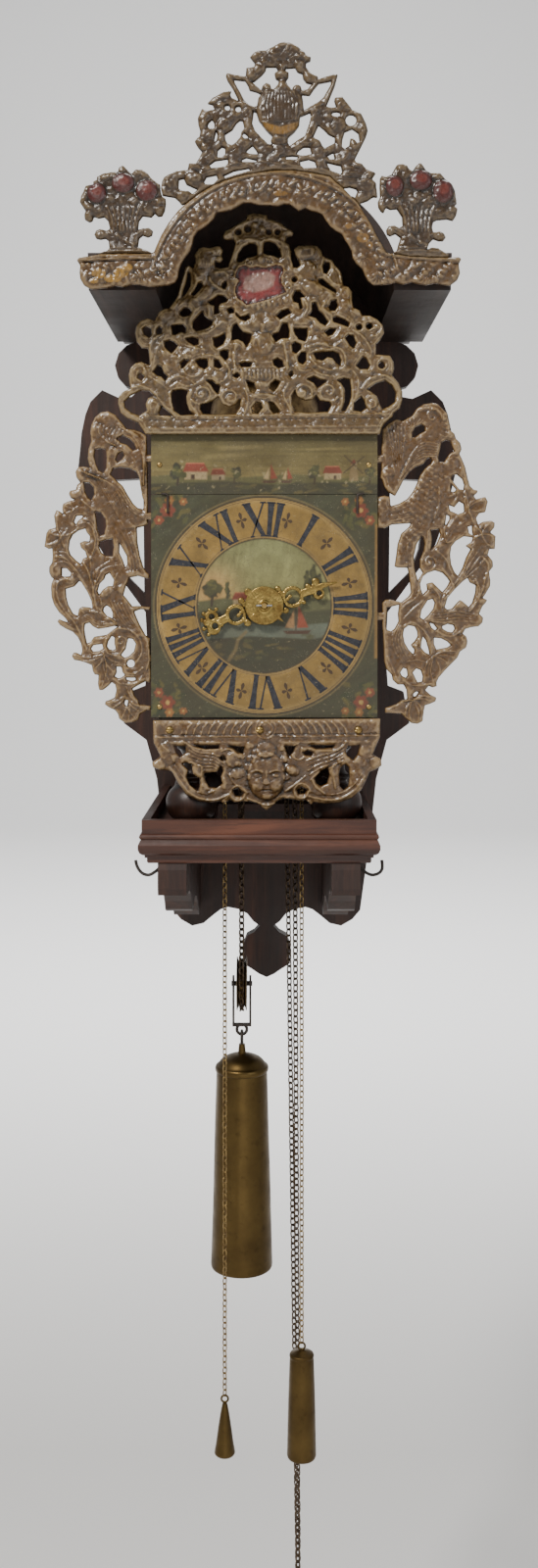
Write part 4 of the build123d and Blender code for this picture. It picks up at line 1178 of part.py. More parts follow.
with BuildPart() as main_chain:
    wrap((GREAT[0], GO_Y, GREAT[1]), SPROCKET_R, CHAIN_R, True)
    wrap((S_GREAT[0], ST_Y, S_GREAT[1]), S_SPROCKET_R, CHAIN_R, True)
    wrap(PULLEY, PULLEY_R, CHAIN_R, False, up=False)
    wrap(LOOP, LOOP_R, CHAIN_R, False, up=False)
    ENDS = [((GREAT[0] - SPROCKET_R, GO_Y, GREAT[1]), (PULLEY[0], PULLEY[1] - PULLEY_R, PULLEY[2])),
            ((S_GREAT[0] - S_SPROCKET_R, ST_Y, S_GREAT[1]), (PULLEY[0], PULLEY[1] + PULLEY_R, PULLEY[2])),
            ((GREAT[0] + SPROCKET_R, GO_Y, GREAT[1]), (LOOP[0], LOOP[1] - LOOP_R, LOOP[2])),
            ((S_GREAT[0] + S_SPROCKET_R, ST_Y, S_GREAT[1]), (LOOP[0], LOOP[1] + LOOP_R, LOOP[2]))]
    for p, q in ENDS:
        run(p, q, CHAIN_R)
        with Locations(p, q):
            Sphere(CHAIN_R)
main_chain.part.label = "main_chain"

A_WEIGHT_TOP, A_COUNTER_TOP = -566.0, -606.0
AX1, AX2 = ALARM[0] - A_SPROCKET_R, ALARM[0] + A_SPROCKET_R
with BuildPart() as alarm_chain:
    wrap((ALARM[0], AL_Y, ALARM[1]), A_SPROCKET_R, THIN_R, True)
    run((AX1, AL_Y, ALARM[1]), (AX1, AL_Y, A_COUNTER_TOP), THIN_R)
    run((AX2, AL_Y, ALARM[1]), (AX2, AL_Y, A_WEIGHT_TOP), THIN_R)
alarm_chain.part.label = "alarm_chain"

px_, py_, pz_ = PULLEY
with BuildPart() as pulley:
    with BuildSketch(Plane(origin=(px_ - 4.0, py_, pz_), x_dir=(0, 1, 0), z_dir=(1, 0, 0))):
        Circle(PULLEY_R - CHAIN_R - 0.2)
        Circle(2.06, mode=Mode.SUBTRACT)
    extrude(amount=8.0)
    for x0 in (px_ - 4.0, px_ + 3.1):
        with BuildSketch(Plane(origin=(x0, py_, pz_), x_dir=(0, 1, 0), z_dir=(1, 0, 0))):
            Circle(PULLEY_R + 1.2)
            Circle(2.06, mode=Mode.SUBTRACT)
        extrude(amount=0.9)
pulley.part.label = "pulley"

with BuildPart() as pulley_stirrup:
    for s in (-1, 1):
        with Locations((px_ + s * 6.8, py_, pz_ - 14.0)):
            Box(1.6, 6.0, 40.0)
    with Locations((px_, py_, pz_ - 33.2)):
        Box(15.2, 6.0, 1.6)
    with BuildSketch(Plane(origin=(px_ - 8.4, py_, pz_), x_dir=(0, 1, 0), z_dir=(1, 0, 0))):
        Circle(2.0)
    extrude(amount=16.8)
    with Locations((px_, py_, pz_ - 37.0)):            # hook eye under the stirrup
        Torus(4.0, 1.2, rotation=(90, 0, 0))
pulley_stirrup.part.label = "pulley_stirrup"

HOOK_Z = pz_ - 37.0 - 4.0 + 1.2 + 0.25
with BuildPart() as weight_hook:
    with Locations((px_, py_, HOOK_Z + 1.2 - 4.0)):
        Torus(4.0, 1.2, rotation=(0, 90, 0))
    with Locations((px_, py_, HOOK_Z + 1.2 - 4.0 - 4.0 - 2.0)):
        Cylinder(1.2, 4.6)
weight_hook.part.label = "weight_hook"
W_EYE = HOOK_Z + 1.2 - 4.0 - 4.0 - 4.0
with BuildPart() as main_weight:
    with BuildSketch(Plane(origin=(px_, py_, 0), x_dir=(1, 0, 0), z_dir=(0, -1, 0))):
        with BuildLine():
            Polyline((0, W_EYE), (2.4, W_EYE), (3.2, WEIGHT_TOP + 0.4), (8, WEIGHT_TOP - 0.6), (15, WEIGHT_TOP - 3.6), (19.4, WEIGHT_TOP - 8.2), (20.9, WEIGHT_TOP - 9.4),
                     (21.5, WEIGHT_TOP - 11.4), (21.1, WEIGHT_TOP - 13.4), (20.3, WEIGHT_TOP - 14.6), (20.5, WEIGHT_TOP - 16.6), (21.2, WEIGHT_TOP - 40.0),
                     (22.3, WEIGHT_TOP - 80.0), (23.6, WEIGHT_TOP - 130.0), (24.6, WEIGHT_BOT + 8.0), (24.75, WEIGHT_BOT + 3.0), (24.2, WEIGHT_BOT + 0.8),
                     (22.6, WEIGHT_BOT), (0, WEIGHT_BOT), close=True)
        make_face()
    revolve(axis=Axis((px_, py_, 0), (0, 0, 1)), revolution_arc=360)
main_weight.part.label = "main_weight"


def hung(profile, x, y, name, z_eye):
    with BuildPart() as p:
        with BuildSketch(Plane(origin=(x, y, 0), x_dir=(1, 0, 0), z_dir=(0, -1, 0))):
            with BuildLine():
                Polyline(*profile, close=True)
            make_face()
        revolve(axis=Axis((x, y, 0), (0, 0, 1)), revolution_arc=360)
        with Locations((x, y, z_eye)):
            Torus(2.6, 0.8, rotation=(90, 0, 0))
    p.part.label = name
    return p


alarm_weight = hung([(0, -573.0), (2, -573.2), (5.2, -574.6), (9.0, -576.0), (9.5, -577.4), (9.1, -579.0), (9.3, -580.4), (10.3, -610.0), (11.1, -648.0),
                     (11.25, -653.6), (10.6, -655.6), (0, -656.2)], AX2, AL_Y, "alarm_weight", -570.4)
alarm_counterweight = hung([(0, -613.6), (1.6, -614.0), (2.8, -619.0), (4.6, -630.0), (6.6, -644.0), (7.8, -650.8), (7.85, -652.6), (6.8, -653.8), (0, -654.0)],
                           AX1, AL_Y, "alarm_counterweight", -611.0)
RING_Z = LOOP[2] - (LOOP_R - CHAIN_R) + 3.0 + 0.3 - 14.0
with BuildPart() as tension_ring:
    with Locations((LOOP[0], LOOP[1], RING_Z)):
        Torus(14.0, 3.0, rotation=(90, 0, 0))
tension_ring.part.label = "tension_ring"

PARTS = [backboard, hanger_plate, hood_front_board, hood_vault, hood_roof_boards, hood_soffits, hood_sides,
         hood_border_casting, hood_crest_casting, basket_castings, tray_front, tray_sides, tray_floor, tray_brackets, side_hooks,
         bun_feet, bottom_plate, top_plate, frame_pillars, movement_bars, dial_plate, dial_top_panel, dial_rivets, dial_catches,
         movement_crest, crest_brackets, side_fret_left, side_fret_right, apron, apron_screws, side_door_left, side_door_right, door_hinge_pins,
         going_great_wheel, second_wheel, escape_wheel, hour_wheel, strike_great_wheel, strike_pin_wheel, strike_fly, alarm_wheel, cocks,
         anchor, pendulum, bell, bell_post, strike_hammer, alarm_hammer,
         hour_hand, alarm_disc, hand_pin, main_chain, alarm_chain, pulley, pulley_stirrup, weight_hook, main_weight,
         alarm_weight, alarm_counterweight, tension_ring]
for piece in PARTS:
    export_step(piece.part, "parts/" + piece.part.label + ".step")
print(len(PARTS), "pieces")
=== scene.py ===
import bpy, math
import numpy as np
from math import sin, cos, pi, radians, sqrt, atan2, hypot
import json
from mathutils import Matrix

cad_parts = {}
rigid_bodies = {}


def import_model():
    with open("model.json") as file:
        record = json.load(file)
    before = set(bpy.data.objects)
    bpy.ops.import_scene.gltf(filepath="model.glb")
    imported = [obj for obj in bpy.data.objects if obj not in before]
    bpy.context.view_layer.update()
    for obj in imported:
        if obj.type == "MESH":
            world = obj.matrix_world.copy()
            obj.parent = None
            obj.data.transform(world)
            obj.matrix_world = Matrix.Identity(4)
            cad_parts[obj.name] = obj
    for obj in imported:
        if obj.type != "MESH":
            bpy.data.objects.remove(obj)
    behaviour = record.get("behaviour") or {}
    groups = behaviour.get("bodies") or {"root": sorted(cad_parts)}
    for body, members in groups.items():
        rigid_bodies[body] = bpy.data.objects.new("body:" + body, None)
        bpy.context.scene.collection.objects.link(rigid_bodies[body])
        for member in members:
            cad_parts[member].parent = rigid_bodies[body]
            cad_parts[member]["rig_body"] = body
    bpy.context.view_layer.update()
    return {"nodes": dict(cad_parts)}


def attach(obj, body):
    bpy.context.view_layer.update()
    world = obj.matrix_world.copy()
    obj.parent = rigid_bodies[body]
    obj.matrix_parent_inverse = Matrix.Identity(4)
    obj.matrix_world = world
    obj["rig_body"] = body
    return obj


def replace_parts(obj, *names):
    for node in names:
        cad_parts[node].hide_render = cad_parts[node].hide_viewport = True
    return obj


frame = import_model()
MM = 0.001
SCN = bpy.context.scene
COL = SCN.collection
NODES = frame["nodes"]

# ------------------------------------------------------------------ drawing sheets: scale and origin of each
CROPS = {"C9": (190, 30, 7.84), "C10": (70, 150, 7.84), "C11": (270, 150, 7.4667), "C12": (110, 240, 7.84), "C13": (250, 240, 7.84),
         "C14": (40, 410, 8.2526), "C15": (40, 560, 7.84), "C16": (380, 410, 8.2526), "C17": (380, 560, 7.84), "C18": (140, 720, 6.0308),
         "C20": (205, 215, 11.2), "C21": (195, 570, 10.453), "C23": (140, 590, 6.0308), "PX": (0, 0, 1.0)}
CAMX, CAMY, CAMZ, CAMF, PPX, PPY = 5.5, -1335.0, -7.4, 1538.0, 277.0, 628.0


def mm(crop, pts, Y):
    x0, y0, z = CROPS[crop]
    k = (Y - CAMY) / CAMF
    return [(CAMX + (x0 + x / z - PPX) * k, CAMZ - (y0 + y / z - PPY) * k) for x, y in pts]


def unit(crop, Y):
    """Millimetres per crop pixel."""
    return (Y - CAMY) / CAMF / CROPS[crop][2]


# ------------------------------------------------------------------ node helpers
def L(nt, a, b):
    nt.links.new(a, b)


def new_mat(name, rough=0.5, metallic=0.0, spec=0.5):
    m = bpy.data.materials.new(name)
    m.use_nodes = True
    nt = m.node_tree
    b = nt.nodes["Principled BSDF"]
    b.inputs["Roughness"].default_value = rough
    b.inputs["Metallic"].default_value = metallic
    b.inputs["Specular IOR Level"].default_value = spec
    return m, nt, b


def coords(nt, sx=1.0, sy=1.0, sz=1.0):
    t = nt.nodes.new("ShaderNodeTexCoord")
    mp = nt.nodes.new("ShaderNodeMapping")
    mp.inputs["Scale"].default_value = (sx, sy, sz)
    L(nt, t.outputs["Object"], mp.inputs["Vector"])
    return mp.outputs["Vector"]


def noise(nt, scale, detail=4.0, rough=0.55, vec=None, dist=0.0):
    n = nt.nodes.new("ShaderNodeTexNoise")
    n.inputs["Scale"].default_value = scale
    n.inputs["Detail"].default_value = detail
    n.inputs["Roughness"].default_value = rough
    n.inputs["Distortion"].default_value = dist
    L(nt, vec if vec is not None else coords(nt), n.inputs["Vector"])
    return n.outputs["Fac"]


def voronoi(nt, scale, vec=None, feature="F1", out="Distance"):
    n = nt.nodes.new("ShaderNodeTexVoronoi")
    n.feature = feature
    n.inputs["Scale"].default_value = scale
    L(nt, vec if vec is not None else coords(nt), n.inputs["Vector"])
    return n.outputs[out]


def ramp(nt, fac, stops, smooth=False):
    r = nt.nodes.new("ShaderNodeValToRGB")
    e = r.color_ramp.elements
    if smooth:
        r.color_ramp.interpolation = "EASE"
    while len(e) > 1:
        e.remove(e[-1])
    first = True
    for pos, c in stops:
        if first:
            el = e[0]
            el.position = pos
            first = False
        else:
            el = e.new(pos)
        el.color = (c, c, c, 1) if isinstance(c, (int, float)) else (*c, 1)
    L(nt, fac, r.inputs["Fac"])
    return r.outputs["Color"]


def mix(nt, fac, a, b, mode="MIX"):
    n = nt.nodes.new("ShaderNodeMix")
    n.data_type = "RGBA"
    n.blend_type = mode
    ia, ib = n.inputs[6], n.inputs[7]
    for sock, v in ((n.inputs[0], fac), (ia, a), (ib, b)):
        if isinstance(v, (int, float)):
            sock.default_value = v
        elif isinstance(v, tuple):
            sock.default_value = (*v, 1)
        else:
            L(nt, v, sock)
    return n.outputs[2]


def math_(nt, op, a, b=None, clamp=False):
    n = nt.nodes.new("ShaderNodeMath")
    n.operation = op
    n.use_clamp = clamp
    for i, v in enumerate((a, b)):
        if v is None:
            continue
        if isinstance(v, (int, float)):
            n.inputs[i].default_value = v
        else:
            L(nt, v, n.inputs[i])
    return n.outputs[0]


def attr(nt, name, out="Fac"):
    n = nt.nodes.new("ShaderNodeAttribute")
    n.attribute_name = name
    return n.outputs[out]


def bump(nt, b, height, strength=0.5, dist=0.001):
    n = nt.nodes.new("ShaderNodeBump")
    n.inputs["Strength"].default_value = strength
    n.inputs["Distance"].default_value = dist
    L(nt, height, n.inputs["Height"])
    if b.inputs["Normal"].is_linked:
        L(nt, b.inputs["Normal"].links[0].from_socket, n.inputs["Normal"])
    L(nt, n.outputs["Normal"], b.inputs["Normal"])


# ------------------------------------------------------------------ materials
def m_cast(name, base, dark, ridge_highlight_col, patch, gloss=0.33):
    """Old paint on cast lead: painted shade darkens the recesses, painted highlights brighten the ridges, warm patches,
    dark specks, uneven gloss. The mesh carries cav (recess 0 .. ridge 1) and tint.
    """
    m, nt, b = new_mat(name, gloss, 0.0, 0.6)
    n1 = noise(nt, 55, 5, 0.6)
    n2 = noise(nt, 260, 4, 0.6)
    n3 = noise(nt, 900, 3, 0.6)
    c = mix(nt, ramp(nt, n1, [(0.38, 0.0), (0.62, 1.0)]), base, patch)
    c = mix(nt, ramp(nt, n2, [(0.35, 0.0), (0.7, 0.55)]), c, tuple(x * 0.62 for x in base))
    cav = attr(nt, "cav")
    # painted shade: the lower the cav, the more of the dark colour is mixed in
    recess_shade_mask = ramp(nt, cav, [(0.14, 1.0), (0.50, 0.0)])
    # painted highlight: the higher the cav, the more of ridge_highlight_col is mixed in
    ridge_highlight_mask = ramp(nt, math_(nt, "ADD", cav, math_(nt, "MULTIPLY", math_(nt, "SUBTRACT", n2, 0.5), 0.35)), [(0.58, 0.0), (0.84, 0.72)])
    c = mix(nt, ridge_highlight_mask, c, ridge_highlight_col)
    tint = nt.nodes.new("ShaderNodeAttribute")
    tint.attribute_name = "tint"
    c = mix(nt, tint.outputs["Alpha"], c, mix(nt, ramp(nt, n2, [(0.3, 0.0), (0.7, 0.5)]), tint.outputs["Color"], (0.03, 0.02, 0.015)))
    # painted shade in the recesses, then random dark specks, both in the dark colour
    c = mix(nt, math_(nt, "MULTIPLY", recess_shade_mask, 0.9), c, dark)
    specks = ramp(nt, n3, [(0.66, 0.0), (0.72, 0.5)])
    c = mix(nt, specks, c, dark)
    L(nt, c, b.inputs["Base Color"])
    r = ramp(nt, noise(nt, 180, 3, 0.6), [(0.3, gloss - 0.1), (0.7, gloss + 0.22)])
    L(nt, r, b.inputs["Roughness"])
    b.inputs["Coat Weight"].default_value = 0.10
    b.inputs["Coat Roughness"].default_value = 0.2
    bump(nt, b, n2, 0.35, 0.0009)
    bump(nt, b, n3, 0.28, 0.0003)
    return m


def m_wood(name, a, bcol, axis=2, rough=0.5, scale=1.0, coat=0.1, edge=None):
    m, nt, b = new_mat(name, rough, 0.0, 0.45)
    s = [34.0, 34.0, 34.0]
    s[axis] = 2.6
    v = coords(nt, *[x * scale for x in s])
    n = noise(nt, 3.0, 7, 0.62, v, 0.6)
    n2 = noise(nt, 9.0, 5, 0.6, v, 0.3)
    blot = noise(nt, 14, 4, 0.55)
    c = ramp(nt, n, [(0.30, tuple(x * 0.45 for x in a)), (0.5, a), (0.68, bcol)])
    c = mix(nt, ramp(nt, n2, [(0.55, 0.0), (0.66, 0.6)]), c, tuple(x * 0.35 for x in a))
    c = mix(nt, ramp(nt, blot, [(0.35, 0.55), (0.65, 0.0)]), c, tuple(x * 0.5 for x in a))
    if edge:
        g = nt.nodes.new("ShaderNodeNewGeometry")
        e = ramp(nt, math_(nt, "ADD", g.outputs["Pointiness"], math_(nt, "MULTIPLY", math_(nt, "SUBTRACT", noise(nt, 120), 0.5), 0.08)), [(0.515, 0.0), (0.56, 0.8)])
        c = mix(nt, e, c, edge)
    L(nt, c, b.inputs["Base Color"])
    L(nt, ramp(nt, blot, [(0.3, rough - 0.08), (0.7, rough + 0.12)]), b.inputs["Roughness"])
    b.inputs["Coat Weight"].default_value = coat
    b.inputs["Coat Roughness"].default_value = 0.35
    bump(nt, b, n, 0.25, 0.0006)
    bump(nt, b, n2, 0.3, 0.0004)
    bump(nt, b, noise(nt, 60, 3), 0.3, 0.0012)
    return m


def m_metal(name, base, dark, rough=0.35, metallic=1.0, scale=90, spot=0.5, bumps=0.25):
    m, nt, b = new_mat(name, rough, metallic, 0.5)
    n1 = noise(nt, scale, 5, 0.62)
    n2 = noise(nt, scale * 5, 4, 0.6)
    c = mix(nt, ramp(nt, n1, [(0.38, 0.0), (0.66, 1.0)]), base, dark)
    c = mix(nt, ramp(nt, n2, [(0.58, 0.0), (0.68, spot)]), c, tuple(x * 0.3 for x in dark))
    L(nt, c, b.inputs["Base Color"])
    L(nt, ramp(nt, n1, [(0.3, rough - 0.08), (0.7, rough + 0.25)]), b.inputs["Roughness"])
    bump(nt, b, n1, bumps, 0.0008)
    bump(nt, b, n2, bumps, 0.0003)
    return m


# arguments: base, dark (painted shade in recesses and specks), painted ridge highlight, warm patch, gloss
CAST_HOOD = m_cast("cast_hood_paint", (0.062, 0.034, 0.012), (0.006, 0.0038, 0.002), (0.22, 0.148, 0.070), (0.098, 0.046, 0.009), 0.27)
CAST_CREST = m_cast("cast_crest_dark", (0.038, 0.022, 0.010), (0.006, 0.004, 0.0025), (0.135, 0.092, 0.046), (0.050, 0.026, 0.008), 0.27)
CAST_LION = m_cast("cast_lion_paint", (0.092, 0.056, 0.020), (0.006, 0.0038, 0.002), (0.285, 0.205, 0.100), (0.105, 0.055, 0.014), 0.27)
CAST_SIDE = m_cast("cast_side_paint", (0.088, 0.048, 0.018), (0.006, 0.0036, 0.002), (0.31, 0.208, 0.100), (0.105, 0.050, 0.012), 0.27)
WOOD_DARK = m_wood("wood_dark_stained", (0.030, 0.0105, 0.0055), (0.066, 0.023, 0.011), 2, 0.55, 1.0, 0.02)
WOOD_HOOD = m_wood("wood_hood_boards", (0.024, 0.0115, 0.0070), (0.048, 0.0230, 0.0140), 1, 0.58, 1.0, 0.02)
WOOD_TRAY = m_wood("wood_tray_mahogany", (0.058, 0.0165, 0.0075), (0.118, 0.038, 0.017), 0, 0.42, 1.0, 0.05)
WOOD_TRAY_Y = m_wood("wood_tray_sides", (0.036, 0.011, 0.0055), (0.074, 0.024, 0.012), 1, 0.48, 1.0, 0.05)
WOOD_FOOT = m_wood("wood_foot_turned", (0.026, 0.010, 0.0055), (0.055, 0.020, 0.010), 2, 0.42, 1.0, 0.05)
IRON = m_metal("iron_dark", (0.055, 0.045, 0.038), (0.030, 0.022, 0.017), 0.55, 0.55, 120, 0.4)
IRON_SHEET = m_metal("iron_sheet", (0.075, 0.062, 0.052), (0.035, 0.024, 0.018), 0.5, 0.6, 45, 0.5)
BRASS = m_metal("brass_old", (0.50, 0.36, 0.13), (0.22, 0.135, 0.05), 0.33, 1.0, 80, 0.5)
BRASS_DARK = m_metal("brass_brown", (0.108, 0.070, 0.024), (0.072, 0.045, 0.016), 0.31, 0.95, 24, 0.3)
BRASS_HAND = m_metal("brass_gilt", (0.3844, 0.2726, 0.0850), (0.1612, 0.0986, 0.0300), 0.28, 1.0, 150, 0.5)
CHAIN_M = m_metal("chain_brown", (0.10, 0.066, 0.038), (0.045, 0.029, 0.018), 0.42, 0.8, 200, 0.5)
THIN_M = m_metal("chain_brass", (0.36, 0.25, 0.10), (0.14, 0.085, 0.038), 0.36, 0.95, 200, 0.5)
LEAD = m_metal("lead_grey", (0.20, 0.20, 0.20), (0.10, 0.098, 0.095), 0.55, 0.7, 120, 0.3)


# ------------------------------------------------------------------ mesh helpers
def mesh_obj(name, verts, faces, mat, body="case", smooth=True, angle=40, scale=MM):
    me = bpy.data.meshes.new(name)
    me.from_pydata([tuple(c * scale for c in v) for v in verts], [], faces)
    me.validate()
    if smooth:
        me.polygons.foreach_set("use_smooth", [True] * len(me.polygons))
        me.set_sharp_from_angle(angle=radians(angle))
    me.materials.append(mat)
    o = bpy.data.objects.new(name, me)
    COL.objects.link(o)
    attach(o, body)
    return o


def catmull(pts, n=6, closed=False):
    P = np.array(pts, float)
    m = len(P)
    out = []
    rng = range(m if closed else m - 1)
    for i in rng:
        p0, p1, p2, p3 = (P[(i - 1) % m], P[i], P[(i + 1) % m], P[(i + 2) % m]) if closed else (P[max(i - 1, 0)], P[i], P[i + 1], P[min(i + 2, m - 1)])
        for k in range(n):
            t = k / n
            out.append(0.5 * ((2 * p1) + (-p0 + p2) * t + (2 * p0 - 5 * p1 + 4 * p2 - p3) * t * t + (-p0 + 3 * p1 - 3 * p2 + p3) * t ** 3))
    if not closed:
        out.append(P[-1])
    return np.array(out)


def lathe(name, prof, cx, cy, mat, body="case", seg=64, axis="Z", cz=0.0, angle=50, refine=0, wobble=0.0):
    """prof: (radius, z) from one end to the other; ends on the axis close it."""
    if refine:
        prof = [tuple(p) for p in catmull(prof, refine)]
    rng = np.random.default_rng(len(prof))
    verts, rings = [], []
    for r, z in prof:
        if r < 1e-6:
            rings.append([len(verts)])
            verts.append((0, 0, z))
        else:
            ids = []
            for k in range(seg):
                a = 2 * pi * k / seg
                rr = r + wobble * sin(3 * a + z * 0.05)
                ids.append(len(verts))
                verts.append((rr * cos(a), rr * sin(a), z))
            rings.append(ids)
    faces = []
    for a, b in zip(rings[:-1], rings[1:]):
        if len(a) == 1 and len(b) == 1:
            continue
        for k in range(seg):
            k2 = (k + 1) % seg
            if len(a) == 1:
                faces.append((a[0], b[k2], b[k]))
            elif len(b) == 1:
                faces.append((a[k], a[k2], b[0]))
            else:
                faces.append((a[k], a[k2], b[k2], b[k]))
    # the profile runs upwards or downwards: face outwards
    if prof[0][1] > prof[-1][1]:
        faces = [f[::-1] for f in faces]
    vs = []
    for x, y, z in verts:
        if axis == "Z":
            vs.append((cx + x, cy + y, cz + z))
        elif axis == "X":
            vs.append((cx + z, cy + x, cz + y))
        else:
            vs.append((cx + y, cy + z, cz + x))
    return mesh_obj(name, vs, faces, mat, body, True, angle)


def tube(name, pts, r, mat, body="case", seg=10, closed=False, refine=6):
    P = catmull(pts, refine, closed) if refine else np.array(pts, float)
    n = len(P)
    T = (np.roll(P, -1, 0) - np.roll(P, 1, 0)) if closed else np.gradient(P, axis=0)
    T /= np.linalg.norm(T, axis=1)[:, None]
    ref = np.array([0.0, 1.0, 0.0]) if abs(T[0][1]) < 0.9 else np.array([1.0, 0, 0])
    N = np.cross(T[0], ref); N /= np.linalg.norm(N)
    verts, faces = [], []
    for i in range(n):
        N = N - T[i] * np.dot(N, T[i]); N /= np.linalg.norm(N)
        B = np.cross(T[i], N)
        for k in range(seg):
            a = 2 * pi * k / seg
            verts.append(tuple(P[i] + r * (cos(a) * N + sin(a) * B)))
    for i in range(n if closed else n - 1):
        j = (i + 1) % n
        for k in range(seg):
            k2 = (k + 1) % seg
            faces.append((i * seg + k, i * seg + k2, j * seg + k2, j * seg + k))
    if not closed:
        faces.append(tuple(range(seg))[::-1])
        faces.append(tuple((n - 1) * seg + k for k in range(seg)))
    return mesh_obj(name, verts, faces, mat, body, True, 60)


# ------------------------------------------------------------------ value noise on a grid
def vnoise(X, Z, cell, seed):
    rng = np.random.default_rng(seed)
    G = rng.random((97, 97))
    u, v = X / cell, Z / cell
    i, j = np.floor(u).astype(int), np.floor(v).astype(int)
    fu, fv = u - i, v - j
    fu, fv = fu * fu * (3 - 2 * fu), fv * fv * (3 - 2 * fv)
    a, b = G[i % 97, j % 97], G[(i + 1) % 97, j % 97]
    c, d = G[i % 97, (j + 1) % 97], G[(i + 1) % 97, (j + 1) % 97]
    return (a * (1 - fu) + b * fu) * (1 - fv) + (c * (1 - fu) + d * fu) * fv - 0.5


def seg_dist(X, Z, a, b):
    ax, az = a
    bx, bz = b
    dx, dz = bx - ax, bz - az
    q = dx * dx + dz * dz
    t = np.clip(((X - ax) * dx + (Z - az) * dz) / (q if q > 1e-12 else 1), 0, 1)
    return np.hypot(X - ax - t * dx, Z - az - t * dz), t


def poly_dist(X, Z, pts, closed=True):
    d = np.full(X.shape, 1e9)
    n = len(pts)
    for i in range(n if closed else n - 1):
        d = np.minimum(d, seg_dist(X, Z, pts[i], pts[(i + 1) % n])[0])
    return d


def poly_in(X, Z, pts):
    c = np.zeros(X.shape, bool)
    n = len(pts)
    for i in range(n):
        (ax, az), (bx, bz) = pts[i], pts[(i + 1) % n]
        if az == bz:
            continue
        cond = (az > Z) != (bz > Z)
        c ^= cond & (X < (bx - ax) * (Z - az) / (bz - az) + ax)
    return c


def blur(A, r):
    """Box blur three times, radius r cells."""
    for _ in range(3):
        for ax in (0, 1):
            P = np.pad(A, [(r + 1, r) if k == ax else (0, 0) for k in (0, 1)], mode="edge")
            C = np.cumsum(P, axis=ax)
            if ax == 0:
                A = (C[2 * r + 1:] - C[:-2 * r - 1]) / (2 * r + 1)
            else:
                A = (C[:, 2 * r + 1:] - C[:, :-2 * r - 1]) / (2 * r + 1)
    return A


